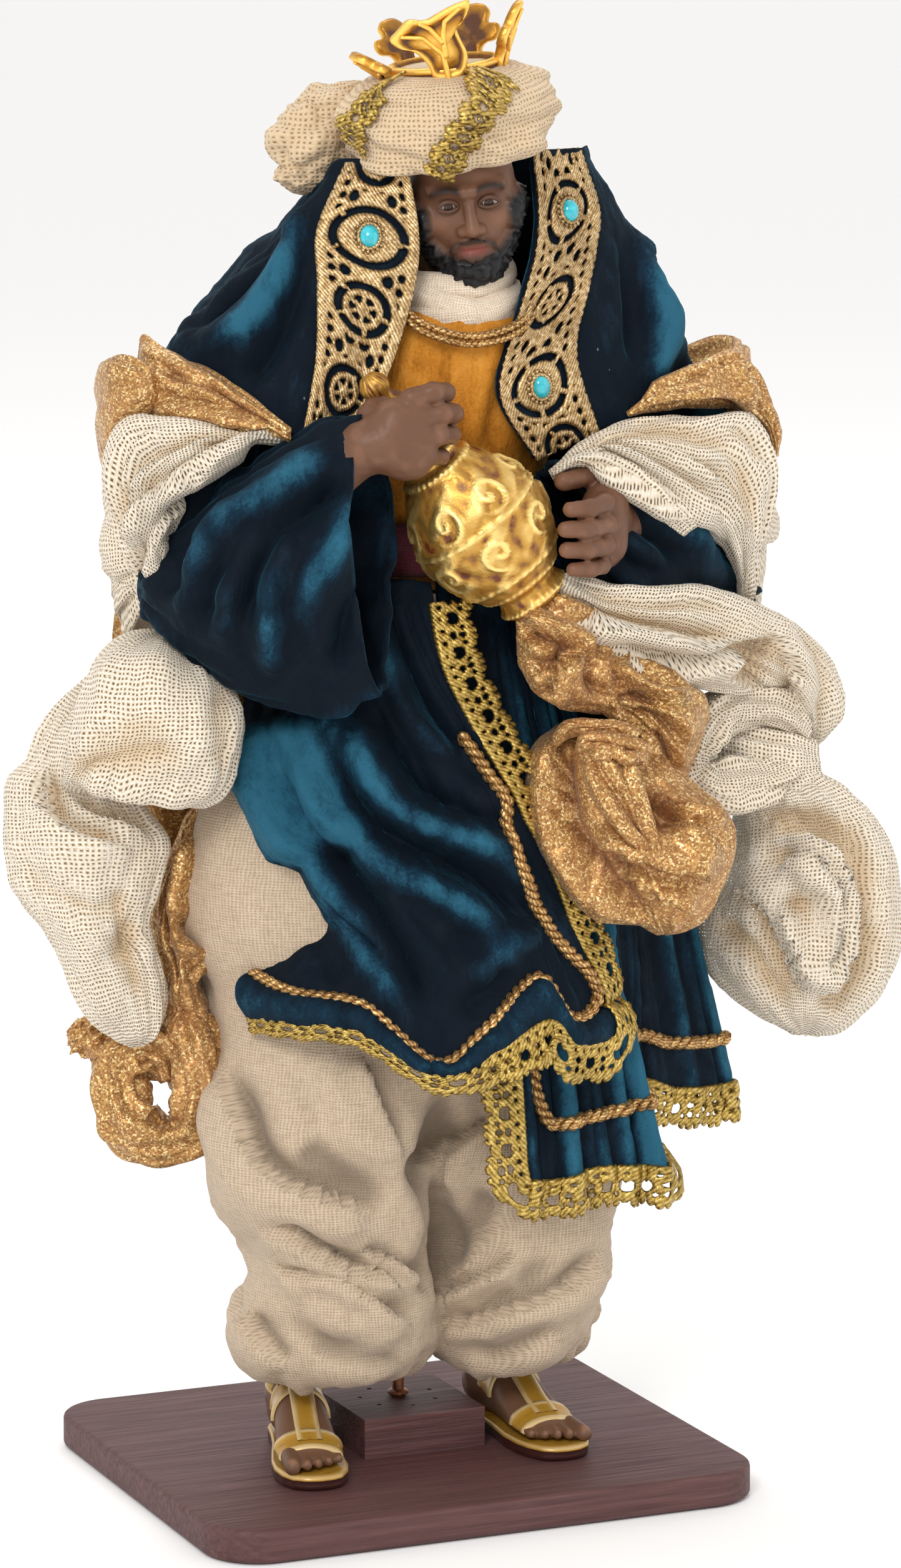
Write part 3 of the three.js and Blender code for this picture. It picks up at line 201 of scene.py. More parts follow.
def grid_faces(nu, nv, wrap):
    i = np.arange(nu if wrap else nu - 1)[:, None]
    j = np.arange(nv - 1)[None, :]
    k = (i + 1) % nu
    return stack(i * nv + j, k * nv + j, k * nv + j + 1, i * nv + j + 1).reshape(-1, 4)


def grid_loop_uv(across, along):
    """UV of each corner of grid_faces, from U (nu or nu + 1, nv) and V arrays in millimetres"""
    uv = np.stack([across, along], -1)
    a, b = uv[:-1, :-1], uv[1:, :-1]
    c, d = uv[1:, 1:], uv[:-1, 1:]
    return np.stack([a, b, c, d], 2).reshape(-1, 2)


def lengths(points, wrap):
    """Distances in millimetres along both directions of a grid, as U and V for grid_loop_uv"""
    ring = np.concatenate([points, points[:1]], 0) if wrap else points
    du = np.linalg.norm(np.diff(ring, axis=0), axis=-1).mean(1)
    dv = np.linalg.norm(np.diff(ring, axis=1), axis=-1).mean(0)
    u = np.concatenate([[0], np.cumsum(du)])
    v = np.concatenate([[0], np.cumsum(dv)])
    return np.meshgrid(u, v, indexing="ij")


def object_of(name, points, faces, loop_uv, values):
    """A mesh object from points in millimetres, with values of the points for the materials"""
    mesh = bpy.data.meshes.new(name)
    placed = (np.asarray(points, float).reshape(-1, 3) + (0, 0, BASE_TOP)) * MM
    mesh.from_pydata(placed.tolist(), [], [list(f) for f in faces])
    if loop_uv is not None:
        layer = mesh.uv_layers.new(name="weave")
        layer.data.foreach_set("uv", np.asarray(loop_uv, np.float32).ravel())
    for key, array in (values or {}).items():
        array = np.asarray(array, np.float32)
        if array.ndim == 1:
            mesh.attributes.new(key, "FLOAT", "POINT").data.foreach_set("value", array)
        else:
            rgba = np.concatenate([array, np.ones((len(array), 1), np.float32)], 1)
            mesh.attributes.new(key, "FLOAT_COLOR", "POINT").data.foreach_set("color", rgba.ravel())
    mesh.polygons.foreach_set("use_smooth", np.full(len(mesh.polygons), True))
    mesh.update()
    made = bpy.data.objects.new(name, mesh)
    bpy.context.scene.collection.objects.link(made)
    return made


def grid_object(name, points, wrap=False, values=None):
    nu, nv = points.shape[:2]
    return object_of(name, points, grid_faces(nu, nv, wrap), grid_loop_uv(*lengths(points, wrap)), values)


def finish_piece(made, material, replaces=(), thickness=0.0):
    """Gives a piece its material and thickness in millimetres, puts it on the root body and hides the parts
    of the frame that it replaces
    """
    made.data.materials.append(material)
    if thickness:
        solid = made.modifiers.new("thickness", "SOLIDIFY")
        solid.thickness = thickness * MM
        solid.offset = 0
        solid.use_rim = True
    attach(made, "root")
    if replaces:
        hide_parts(*replaces)
    return made


class Pile:
    """Several strips and tubes gathered into one mesh"""

    def __init__(self):
        self.points, self.faces, self.uvs, self.values, self.count = [], [], [], [], 0

    def add(self, points, faces, loop_uv, value):
        points = np.asarray(points, float).reshape(-1, 3)
        faces = np.asarray(faces)
        self.points.append(points)
        self.faces.extend((faces + self.count).tolist())
        self.uvs.append(np.zeros((faces.size, 2)) if loop_uv is None else np.asarray(loop_uv))
        self.values.append(np.broadcast_to(np.asarray(value, float), (len(points),)))
        self.count += len(points)

    def add_grid(self, points, wrap=False, value=0.0, caps=False):
        nu, nv = points.shape[:2]
        start = self.count
        self.add(points, grid_faces(nu, nv, wrap), grid_loop_uv(*lengths(points, wrap)), value)
        for end in (0, nv - 1) if caps else ():
            ring = start + np.arange(nu) * nv + end
            fan = np.stack([ring, np.roll(ring, -1), np.full(nu, self.count)], 1)
            self.points.append(points[:, end].mean(0)[None])
            self.values.append(self.values[-1][:1])
            self.faces.extend((fan if end else fan[:, ::-1]).tolist())
            self.uvs.append(np.zeros((3 * nu, 2)))
            self.count += 1

    def add_rows(self, profile, row, wrap=False):
        """A form from lines of points: row(a, b) draws each line, from the profile's (a, b, tone)"""
        rows = [row(a, b) for a, b, _ in profile]
        tones = [np.full(len(line), tone) for line, (_, _, tone) in zip(rows, profile)]
        self.add_grid(np.stack(rows, 1), wrap=wrap, value=np.stack(tones, 1).ravel())

    def make(self, name, **more):
        """One object of all that was added; more values of its points may be given"""
        values = {"tone": np.concatenate(self.values), **more}
        return object_of(name, np.concatenate(self.points), self.faces, np.concatenate(self.uvs), values)


def frames_along(path, closed=False):
    """Side and up directions along a path, turning as little as possible"""
    if closed:
        tangent = unit(np.roll(path, -1, 0) - np.roll(path, 1, 0))
    else:
        tangent = unit(np.gradient(path, axis=0))
    side = np.zeros_like(path)
    start = np.cross(tangent[0], (0, 0, 1.0))
    if np.linalg.norm(start) < 0.2:
        start = np.cross(tangent[0], (0, 1.0, 0))
    side[0] = unit(start)
    for i in range(1, len(path)):
        side[i] = unit(side[i - 1] - tangent[i] * (side[i - 1] @ tangent[i]))
    return side, np.cross(side, tangent)


def ring_round(path, side, up, turn, wide, high):
    """Points round each place of a path, at wide and high times its side and up directions"""
    return path + side * (wide * np.cos(turn))[..., None] + up * (high * np.sin(turn))[..., None]


def tube(pile, path, radius, sides, value=0.0, closed=False):
    """A round cord along a path; radius is a number or one for each point"""
    path = np.asarray(path, float)
    radius = np.broadcast_to(np.asarray(radius, float), (len(path),))
    side, up = frames_along(path, closed)
    ring = ring_round(path, side, up, ring_angles(sides)[:, None], radius, radius)
    if closed:
        ring = np.concatenate([ring, ring[:, :1]], 1)
    pile.add_grid(ring, wrap=True, value=value, caps=not closed)


def resample(path, step):
    """A path with its points a step apart, and the distance along it"""
    path = np.asarray(path, float)
    d = run_of(path)
    n = max(int(round(d[-1] / step)), 2)
    at = np.linspace(0, d[-1], n + 1)
    return np.stack([np.interp(at, d, column) for column in path.T], 1), at


# Blended solid forms from distance fields
def smooth_min(a, b, k):
    """The nearer of two forms, blended over a width k"""
    h = np.clip(0.5 + 0.5 * (b - a) / k, 0, 1)
    return b + (a - b) * h - k * h * (1 - h)


def smooth_carve(a, b, k):
    """The first form without the second"""
    return -smooth_min(-a, b, k)


def blend_all(distances, k):
    """Several forms blended into one"""
    total = distances[0]
    for d in distances[1:]:
        total = smooth_min(total, d, k)
    return total


def ellipsoid(p, middle, half):
    q = (p - middle) / half
    k0 = np.linalg.norm(q, axis=-1)
    k1 = np.linalg.norm(q / half, axis=-1)
    return k0 * (k0 - 1) / np.maximum(k1, 1e-6)


def capsule(p, a, b, ra, rb):
    a, b = np.asarray(a, float), np.asarray(b, float)
    d = b - a
    t = np.clip(((p - a) @ d) / (d @ d), 0, 1)
    return np.linalg.norm(p - a - t[..., None] * d, axis=-1) - (ra + (rb - ra) * t)


def surface_nets(field, low, high, step):
    """Points and quads of the zero level of a field, negative inside"""
    axes = [np.arange(low[k], high[k] + step, step) for k in range(3)]
    shape = tuple(len(a) for a in axes)
    values = np.empty(shape, np.float32)
    yz = np.stack(np.meshgrid(axes[1], axes[2], indexing="ij"), -1)
    chunk = max(1, int(400000 / (shape[1] * shape[2])))
    for i in range(0, shape[0], chunk):
        xs = axes[0][i : i + chunk]
        p = np.empty((len(xs),) + yz.shape[:2] + (3,))
        p[..., 0] = xs[:, None, None]
        p[..., 1:] = yz
        values[i : i + chunk] = field(p)
    inside = values < 0
    cells = tuple(n - 1 for n in shape)
    total = np.zeros(cells + (3,), np.float32)
    count = np.zeros(cells, np.float32)
    corners = list(np.ndindex(2, 2, 2))

    def corner(array, c):
        return array[tuple(slice(first, first + count) for first, count in zip(c, cells))]

    for c in corners:
        for k in range(3):
            if c[k]:
                continue
            d = tuple(v + (1 if n == k else 0) for n, v in enumerate(c))
            va, vb = corner(values, c), corner(values, d)
            hit = corner(inside, c) != corner(inside, d)
            t = np.where(hit, va / np.where(hit, va - vb, 1), 0)
            for n in range(3):
                total[..., n] += np.where(hit, c[n] + (t if n == k else 0), 0)
            count += hit
    active = count > 0
    index = np.full(cells, -1, np.int64)
    index[active] = np.arange(active.sum())
    where = np.argwhere(active)
    points = (where + total[active] / count[active][:, None]) * step + np.array([a[0] for a in axes])
    quads = []
    for k in range(3):
        a, b = (k + 1) % 3, (k + 2) % 3
        low_side = np.take(inside, range(shape[k] - 1), k)
        high_side = np.take(inside, range(1, shape[k]), k)
        cross = np.argwhere(low_side != high_side)
        keep = (cross[:, a] > 0) & (cross[:, b] > 0) & (cross[:, a] < cells[a]) & (cross[:, b] < cells[b])
        cross = cross[keep]
        flip = low_side[tuple(cross.T)]
        four = []
        for da, db in ((1, 1), (0, 1), (0, 0), (1, 0)):
            q = cross.copy()
            q[:, a] -= da
            q[:, b] -= db
            four.append(index[tuple(q.T)])
        quad = np.stack(four, 1)
        quad[~flip] = quad[~flip][:, ::-1]
        quads.append(quad)
    return points, np.concatenate(quads)


def relax(points, faces, rounds, share=0.5):
    """Evens a mesh out by moving each point towards the middle of its neighbours"""
    faces = np.asarray(faces)
    edges = np.concatenate([faces[:, [0, 1]], faces[:, [1, 2]], faces[:, [2, 3]], faces[:, [3, 0]]])
    n = len(points)
    degree = np.bincount(edges.ravel(), minlength=n)[:, None]
    for _ in range(rounds):
        total = np.zeros_like(points)
        np.add.at(total, edges[:, 0], points[edges[:, 1]])
        np.add.at(total, edges[:, 1], points[edges[:, 0]])
        points = points + share * (total / np.maximum(degree, 1) - points)
    return points


def point_normals(points, faces):
    faces = np.asarray(faces)
    n = np.cross(points[faces[:, 2]] - points[faces[:, 0]], points[faces[:, 3]] - points[faces[:, 1]])
    total = np.zeros_like(points)
    for k in range(4):
        np.add.at(total, faces[:, k], n)
    return unit(total)


def wrap_uv(points, faces, axis, length):
    """Loop UV in millimetres round an upright axis, with the seam's faces kept whole"""
    faces = np.asarray(faces)
    turn = np.arctan2(points[:, 0] - axis[0], -(points[:, 1] - axis[1])) / TAU
    u = turn[faces]
    low = (u.max(1) - u.min(1)) > 0.5
    u = np.where(low[:, None] & (u < 0), u + 1, u)
    return np.stack([u * length, points[:, 2][faces]], -1).reshape(-1, 2)


def euler_matrix(x, y, z):
    """Turns about X, then Y, then Z, in radians"""
    return np.array(Matrix.Rotation(z, 3, "Z") @ Matrix.Rotation(y, 3, "Y") @ Matrix.Rotation(x, 3, "X"))


# Forms and creases drawn as they are seen from the front right: h right, v up, m towards the eye
EYE_RIGHT = unit(np.array((0.9185, -0.3956, 0.0)))
EYE_BACK = unit(np.array((-0.3907, -0.9073, 0.1554)))
EYE_UP = np.cross(EYE_BACK, EYE_RIGHT)
EYE_SHIFT = 10.4
EYE_LEVEL = 138.4
EYE_DISTANCE = 1091.0


def from_view(h, v, m):
    h, v, m = np.broadcast_arrays(h, v, m)
    near = (1 - m / EYE_DISTANCE)[..., None]
    flat = EYE_RIGHT * (h - EYE_SHIFT)[..., None] + EYE_UP * v[..., None]
    return EYE_RIGHT * EYE_SHIFT + (0, 0, EYE_LEVEL) + flat * near + EYE_BACK * m[..., None]


def in_view(points):
    q = points - EYE_RIGHT * EYE_SHIFT - (0, 0, EYE_LEVEL)
    near = 1 - (q @ EYE_BACK) / EYE_DISTANCE
    return np.stack([q @ EYE_RIGHT / near + EYE_SHIFT, q @ EYE_UP / near], -1)


def creased(points, normals, lines, reach=(-0.05, 0.3)):
    """Pushes valleys, ridges, laps and hollows, drawn as seen, into the side that faces the eye"""
    seen = in_view(points.reshape(-1, 3))
    facing = smooth_step(reach[0], reach[1], (normals.reshape(-1, 3) @ EYE_BACK))
    total = np.zeros(len(seen))
    for kind, depth, width, drawn in lines:
        drawn = np.array(drawn, float)
        n = 14 * len(drawn)
        at = np.linspace(0, 1, n)
        line = along_stations(drawn, at)
        way = unit(np.gradient(line, axis=0))
        gap = seen[:, None] - line[None]
        k = np.argmin((gap**2).sum(-1), 1)
        near = gap[np.arange(len(seen)), k]
        d = np.linalg.norm(near, axis=1)
        side = way[k, 0] * near[:, 1] - way[k, 1] * near[:, 0]
        ends = smooth_step(0, 0.22, at[k]) * smooth_step(1, 0.78, at[k])
        ends = ends * bell((near * way[k]).sum(-1), width)
        if kind == "lap":
            rise = np.where(side > 0, bell(d, 2.2 * width), -0.9 * bell(d, width, 1.5))
            total += depth * rise * (0.25 + 0.75 * smooth_step(0, 0.55, d)) * ends
        elif kind == "hollow":
            total -= depth * bell(d, width, 4) * ends
        else:
            sign = 1 if kind == "ridge" else -1
            total += sign * depth * (bell(d, width) - 0.28 * bell(d - 2.2 * width, width)) * ends
    return (total * facing).reshape(points.shape[:-1])


def eye_facing(normals):
    """0 on the sides that the drawn view doesn't show, 1 on those that face it"""
    return smooth_step(0.0, 0.5, normals @ EYE_BACK)


TROUSER_CREASES = [
    ("lap", 5, 3.6, [(-4.5, -87.5), (-13, -85.5), (-23.5, -82), (-29.5, -76.5), (-33, -67.5), (-37.5, -56)]),
    ("lap", 3, 2.6, [(-0.5, -77), (-2, -70.5), (-5, -63), (-8, -54)]),
    (
        "valley", 3.6, 2.6,
        [(8.5, -58.5), (8.5, -69), (6.5, -77), (4.5, -79.5), (7, -85.5), (8, -95), (5.5, -102), (4.5, -105)],
    ),
    ("valley", 2.4, 3.4, [(-21, -74), (-16.5, -78), (-9, -83), (-1.5, -87.5)]),
    ("lap", 4, 3, [(2, -105.5), (-3.5, -101), (-9, -100), (-16.5, -96.5), (-22.5, -92.5), (-29.5, -91.5)]),
    ("lap", 2.6, 2, [(5, -103.5), (2.5, -100.5), (-2.5, -97.5), (-8.5, -96.5)]),
    ("lap", 3.2, 2.8, [(4, -112), (-1, -109), (-7.5, -105), (-13, -101.5), (-19.5, -100.5), (-28, -97)]),
    ("valley", 2.2, 2.6, [(-21, -103.5), (-15, -105), (-10.5, -107), (-6.5, -111.5)]),
    ("lap", 2.6, 2.6, [(-22.5, -120), (-26.5, -116), (-30, -111.5), (-31.5, -108.5)]),
    ("valley", 1.8, 2.2, [(-20, -114.5), (-13, -118), (-4.5, -119), (1.5, -118)]),
    ("valley", 1.6, 2, [(-23.5, -108.5), (-18, -113), (-13, -115), (-4.5, -116)]),
    ("lap", 3, 2.6, [(19.5, -68.5), (12.5, -73.5), (5, -79.5)]),
    ("valley", 3, 3.6, [(19, -83), (15, -88.5), (11.5, -95), (7.5, -99.5)]),
    ("lap", 3, 2.6, [(24.5, -98), (19.5, -100), (12.5, -103.5), (5.5, -106)]),
    ("lap", 3.4, 2.8, [(43, -95), (37.5, -101), (31.5, -105), (22.5, -108), (13.5, -110.5), (5, -111.5)]),
    ("valley", 2.2, 2.4, [(10.5, -115.5), (19.5, -116.5), (25.5, -114.5), (32.5, -111)]),
    ("valley", 1.8, 2.4, [(13.5, -107), (19.5, -105), (25.5, -102), (32.5, -97.5)]),
    ("ridge", 1.6, 3, [(-17.5, -53), (-13, -64.5), (-8, -73.5), (0.5, -78)]),
]
OVER_CREASES = [
    ("ridge", 6, 13, [(-27, 14), (-23, 4), (-18, -8), (-15, -16)]),
    ("ridge", 2.2, 3, [(-28.5, 19), (-26.5, 3), (-19, -12), (-11.5, -25), (-6, -36.5), (3, -51)]),
    ("valley", 2.6, 2.6, [(-24.5, 14.5), (-20, -0.5), (-13, -14.5), (-5, -28), (2, -39.5), (5.5, -48)]),
    ("ridge", 2.4, 3, [(-19, 10.5), (-13, -5.5), (-2.5, -16.5), (8, -22.5), (17, -28), (21.5, -35.5)]),
    ("valley", 2.8, 2.6, [(-15, 12), (-9.5, -3), (-0.5, -11.5), (10, -16.5), (19, -22.5), (26, -29.5)]),
    ("ridge", 2.4, 2.8, [(-9.5, 20), (-7, 6.5), (-1.5, -4), (6.5, -9), (17, -12.5), (25, -16.5)]),
    ("valley", 2.4, 2.2, [(-5, 19), (-0.5, 5), (6.5, -2.5), (15.5, -6.5), (24, -11)]),
    ("ridge", 2, 2.2, [(-5, 36), (-1, 21), (5.5, 10.5), (12.5, 3)]),
    ("valley", 1.8, 1.8, [(-2, 35), (2, 22), (8, 12), (14.5, 6.5)]),
    ("ridge", 1.6, 2, [(-8.5, 34), (-7, 25.5), (-2.5, 14), (3, 6)]),
    ("ridge", 2, 3, [(13.5, -43), (19, -36.5), (24, -32), (29.5, -31.5)]),
    ("valley", 1.8, 2.4, [(11, -48), (17, -43), (22.5, -36.5)]),
]
SLEEVE_CREASES = [
    ("ridge", 2.2, 3.2, [(-11.5, 68.5), (-19.5, 64.5), (-29, 58), (-37, 50), (-43.5, 40.5)]),
    ("valley", 2.2, 2.4, [(-9.5, 64.5), (-18, 58), (-26, 50), (-30.5, 40.5), (-32.5, 29)]),
    ("ridge", 2.2, 2.8, [(-6.5, 61.5), (-11.5, 51.5), (-18, 42), (-22.5, 29)]),
    ("valley", 2.4, 2.4, [(-5, 58), (-7.5, 45), (-11.5, 32), (-13.5, 21)]),
    ("valley", 2, 2.2, [(-29, 56.5), (-35.5, 48.5), (-39.5, 38.5), (-40, 29)]),
    ("ridge", 1.8, 2.4, [(-21, 58), (-26, 45), (-26.5, 32), (-26, 21)]),
    ("valley", 1.6, 2, [(-42, 51.5), (-46, 45), (-47.5, 37)]),
]
LEFT_SLEEVE_CREASES = [
    ("valley", 1.8, 2.2, [(37, 64.5), (45, 58), (53.5, 50), (59.5, 43.5)]),
    ("ridge", 1.6, 2.4, [(42, 64.5), (51.5, 56.5), (59.5, 50), (67, 42)]),
    ("valley", 1.4, 1.8, [(40.5, 51.5), (47, 46.5), (55, 42.5)]),
]
CAPE_CREASES = [
    ("ridge", 2.4, 3, [(-18.5, 119.5), (-22.5, 108), (-29, 97), (-38.5, 88.5)]),
    ("valley", 2.4, 2.4, [(-18, 113), (-20, 100), (-26, 88.5), (-34, 80.5)]),
    ("ridge", 2, 2.6, [(-17, 103), (-18, 90.5), (-20, 79)]),
    ("valley", 2, 2.4, [(-24, 116), (-30.5, 106.5), (-38.5, 98.5), (-45, 92)]),
    ("ridge", 1.6, 2.4, [(-27.5, 118), (-34, 109.5), (-42, 103)]),
    ("ridge", 2.4, 2.6, [(42, 114.5), (43, 100), (41, 87), (36.5, 74)]),
    ("valley", 2.6, 2.4, [(44.5, 114.5), (47, 100), (47, 90.5), (42, 77.5)]),
    ("ridge", 2.2, 2.6, [(47, 114.5), (51.5, 101.5), (53.5, 90.5), (47, 79)]),
    ("valley", 2, 2.2, [(50, 111.5), (55.5, 100), (58, 90.5)]),
]


# Materials
class Look:
    """A material with its shader and short ways to add nodes"""

    def __init__(self, name, base=(0.5, 0.5, 0.5), rough=0.5, metal=0.0, sockets=None):
        self.mat = bpy.data.materials.new(name)
        self.mat.use_nodes = True
        self.nodes = self.mat.node_tree.nodes
        self.bsdf = self.nodes["Principled BSDF"]
        self.bsdf.inputs["Base Color"].default_value = (*base, 1)
        self.bsdf.inputs["Roughness"].default_value = rough
        self.bsdf.inputs["Metallic"].default_value = metal
        for key, value in (sockets or {}).items():
            self.bsdf.inputs[key].default_value = value
        self.normal = None

    def link(self, a, b):
        self.mat.node_tree.links.new(a, b)

    def node(self, kind, inputs, output=0, **settings):
        """One output of a new node; its inputs are values or outputs of other nodes"""
        made = self.nodes.new("ShaderNode" + kind)
        for key, value in settings.items():
            setattr(made, key, value)
        for key, value in inputs.items():
            if isinstance(value, bpy.types.NodeSocket):
                self.link(value, made.inputs[key])
            elif value is not None:
                made.inputs[key].default_value = value
        return made.outputs[output]

    def space(self):
        return self.node("TexCoord", {}, "Object")

    def weave_uv(self):
        return self.node("UVMap", {}, "UV", uv_map="weave")

    def value_of(self, name, color=False):
        return self.node("Attribute", {}, "Color" if color else "Fac", attribute_name=name)

    def mapped(self, vector, scale=(1, 1, 1), rotation=(0, 0, 0)):
        return self.node("Mapping", {"Vector": vector, "Scale": scale, "Rotation": rotation}, "Vector")

    def noise(self, vector, scale, detail=2.0, rough=0.5, distortion=0.0):
        inputs = {
            "Vector": vector, "Scale": scale, "Detail": detail, "Roughness": rough,
            "Distortion": distortion,
        }
        return self.node("TexNoise", inputs, "Fac")

    def grain(self, scale, detail=2.0, rough=0.5, distortion=0.0, rotation=(0, 0, 0)):
        """Noise all through the piece, per metre; scale is one number or one for each direction"""
        scale = scale if isinstance(scale, tuple) else (scale,) * 3
        return self.noise(self.mapped(self.space(), scale, rotation), 1.0, detail, rough, distortion)

    def cells(self, vector, scale, output="Distance"):
        return self.node("TexVoronoi", {"Vector": vector, "Scale": scale}, output)

    def math(self, kind, a, b=None):
        return self.node("Math", {0: a, 1: b}, operation=kind)

    def sum_of(self, *shares):
        """The sum of several values, each times its share"""
        parts = [self.math("MULTIPLY", value, share) for value, share in shares]
        total = parts[0]
        for part in parts[1:]:
            total = self.math("ADD", total, part)
        return total

    def spread(self, value, low, high, to_low=0.0, to_high=1.0):
        inputs = {"Value": value, "From Min": low, "From Max": high, "To Min": to_low, "To Max": to_high}
        return self.node("MapRange", inputs)

    def ramp(self, value, *stops):
        node = self.nodes.new("ShaderNodeValToRGB")
        while len(node.color_ramp.elements) < len(stops):
            node.color_ramp.elements.new(0.5)
        for element, (place, color) in zip(node.color_ramp.elements, stops):
            element.position = place
            element.color = (*color, 1)
        self.link(value, node.inputs["Fac"])
        return node.outputs["Color"]

    def mix(self, fac, a, b, kind="MIX"):
        a, b = [(*c, 1) if isinstance(c, tuple) else c for c in (a, b)]
        return self.node("Mix", {0: fac, 6: a, 7: b}, 2, data_type="RGBA", blend_type=kind)

    def color(self, socket):
        self.link(socket, self.bsdf.inputs["Base Color"])

    def roughness(self, socket):
        self.link(socket, self.bsdf.inputs["Roughness"])

    def bump(self, height, depth_mm):
        """Adds relief of a depth in millimetres to the relief so far"""
        inputs = {"Strength": 1.0, "Distance": depth_mm * MM, "Height": height, "Normal": self.normal}
        self.normal = self.node("Bump", inputs)
        self.link(self.normal, self.bsdf.inputs["Normal"])

    def waves(self, value, pitch):
        """0 to 1 and back over each pitch of a value in millimetres"""
        return self.math("ABSOLUTE", self.math("SINE", self.math("MULTIPLY", value, math.pi / pitch)))

    def threads(self, uv, pitch_u, pitch_v, wobble):
        """Two sets of threads from UV in millimetres: each 0 in the gaps to 1 along a thread's middle"""
        drift = self.node("TexNoise", {"Scale": 0.35, "Detail": 3, "Vector": uv}, "Color")
        reach = (wobble * 6, wobble * 6, 0)
        bent = self.node("VectorMath", {0: drift, 1: reach, 2: uv}, operation="MULTIPLY_ADD")
        pitches = (("X", pitch_u), ("Y", pitch_v))
        return [self.waves(self.node("SeparateXYZ", {0: bent}, k), p) for k, p in pitches]


def shaded(color, share):
    return tuple(share * c for c in color)


def wood_look():
    look = Look("painted_wood", rough=0.62)
    streaks = look.grain((40, 900, 900), 5, 0.62)
    tone = look.ramp(
        streaks, (0.3, (0.055, 0.019, 0.018)), (0.62, (0.115, 0.045, 0.042)), (0.8, (0.17, 0.078, 0.072)),
    )
    broad = look.grain((30, 160, 160), 3)
    look.color(look.mix(look.spread(broad, 0.3, 0.7, 0.0, 0.5), tone, (0.075, 0.026, 0.026)))
    look.roughness(look.spread(streaks, 0.2, 0.8, 0.72, 0.48))
    look.bump(streaks, 0.35)
    look.bump(look.grain(1400, 3), 0.05)
    return look.mat


def velvet_look(name, dark, lit, bright, drop=0.0):
    """Crushed pile with lint: random crushed patches, painted shade near dark in the folds and a painted
    highlight on its ridges; drop lets more of it be lit
    """
    sheen = (*[min(1, 2.0 * c) for c in bright], 1)
    sockets = {"Sheen Weight": 0.4, "Sheen Roughness": 0.28, "Sheen Tint": sheen, "Specular IOR Level": 0.15}
    look = Look(name, rough=0.8, sockets=sockets)
    crush = look.grain((120, 120, 62), 5, 0.66, 0.9)
    streak = look.grain((330, 330, 110), 3, 0.6, 0.5, (0.3, 0.2, 0.4))
    fine = look.grain(1500, 3, 0.7)
    # Painted highlight on the fold ridges and painted shade in the hollows, from each place's tone
    ridge = look.math("POWER", look.value_of("tone"), 1.7)
    both = look.sum_of((crush, 0.4), (streak, 0.24), (fine, 0.24), (ridge, 0.56))
    tone = look.ramp(both, (0.62 - drop, dark), (0.77 - drop, lit), (1.04 - drop, bright))
    speck = look.spread(look.cells(look.mapped(look.space(), (230, 230, 150)), 1.0), 0.03, 0.055, 1.0, 0.0)
    where = look.spread(look.grain(42, 1), 0.6, 0.66)
    lint = look.math("MULTIPLY", look.math("MULTIPLY", speck, where), 0.4)
    look.color(look.mix(lint, tone, (0.3, 0.38, 0.42)))
    look.roughness(look.spread(crush, 0.3, 0.7, 0.95, 0.7))
    look.bump(crush, 0.7)
    look.bump(fine, 0.12)
    return look.mat


def woven_look(name, thread, shade, pitch, depth, folds=0.0):
    """Close plain weave with slubs and painted shade between the threads; folds is how much painted shade
    darkens its hollows
    """
    look = Look(name, rough=0.92, sockets={"Sheen Weight": 0.15, "Sheen Roughness": 0.6})
    uv = look.weave_uv()
    across, along = look.threads(uv, pitch, pitch, 0.12)
    height = look.math("MAXIMUM", look.math("MULTIPLY", across, 0.95), along)
    slubs = [look.noise(look.mapped(uv, scale), 1.0, 4, 0.6) for scale in ((0.35, 2.2, 1), (2.2, 0.35, 1))]
    both = look.math("MULTIPLY", look.math("ADD", *slubs), 0.5)
    tone = look.ramp(both, (0.36, shade), (0.56, thread))
    # Painted shade between the threads, where the weave is low
    woven = look.mix(look.spread(height, 0.45, 0.9, 0.55, 0.0), tone, shaded(shade, 0.5))
    # Painted shade in the fold hollows, where the piece's tone is low
    deep = look.spread(look.value_of("tone"), 0.0, 0.5, folds, 0.0)
    look.color(look.mix(deep, woven, shaded(shade, 0.42)))
    look.bump(both, 0.25)
    look.bump(height, depth)
    return look.mat


def gauze_look(name, thread, pitch, cover=0.5, share_open=0.8):
    """Open plain weave: threads with holes between them, uneven as in stiffened cotton gauze"""
    look = Look(name, rough=0.88, sockets={"Sheen Weight": 0.2, "Sheen Roughness": 0.5})
    uv = look.weave_uv()
    across, along = look.threads(uv, pitch, pitch * 1.15, 0.2)
    uneven = look.noise(uv, 0.9, 3, 0.6)
    limit = look.spread(uneven, 0.3, 0.7, cover - 0.14, cover + 0.16)
    top = look.math("MAXIMUM", look.math("MULTIPLY", across, 0.94), along)
    hole = look.math("LESS_THAN", top, limit)
    tone = look.ramp(look.noise(uv, 1.6, 3, 0.6), (0.3, shaded(thread, 0.78)), (0.6, thread))
    # Tan of painted shade, for the gaps between the threads and for the crease hollows
    shade_tan = tuple(c * k for c, k in zip(thread, (0.72, 0.55, 0.36)))
    woven = look.mix(look.spread(top, 0.5, 0.95, 0.95, 0.0), tone, shade_tan)
    # Painted shade toward the tan in the crease hollows, where the piece's tone is low
    deep = look.spread(look.value_of("tone"), 0.05, 0.55, 0.75, 0.0)
    look.color(look.mix(deep, woven, shade_tan))
    look.bump(top, 0.3)
    clear = look.node("BsdfTransparent", {})
    shares = {0: look.math("MULTIPLY", hole, share_open), 1: look.bsdf.outputs[0], 2: clear}
    look.link(look.node("MixShader", shares), look.nodes["Material Output"].inputs["Surface"])
    return look.mat


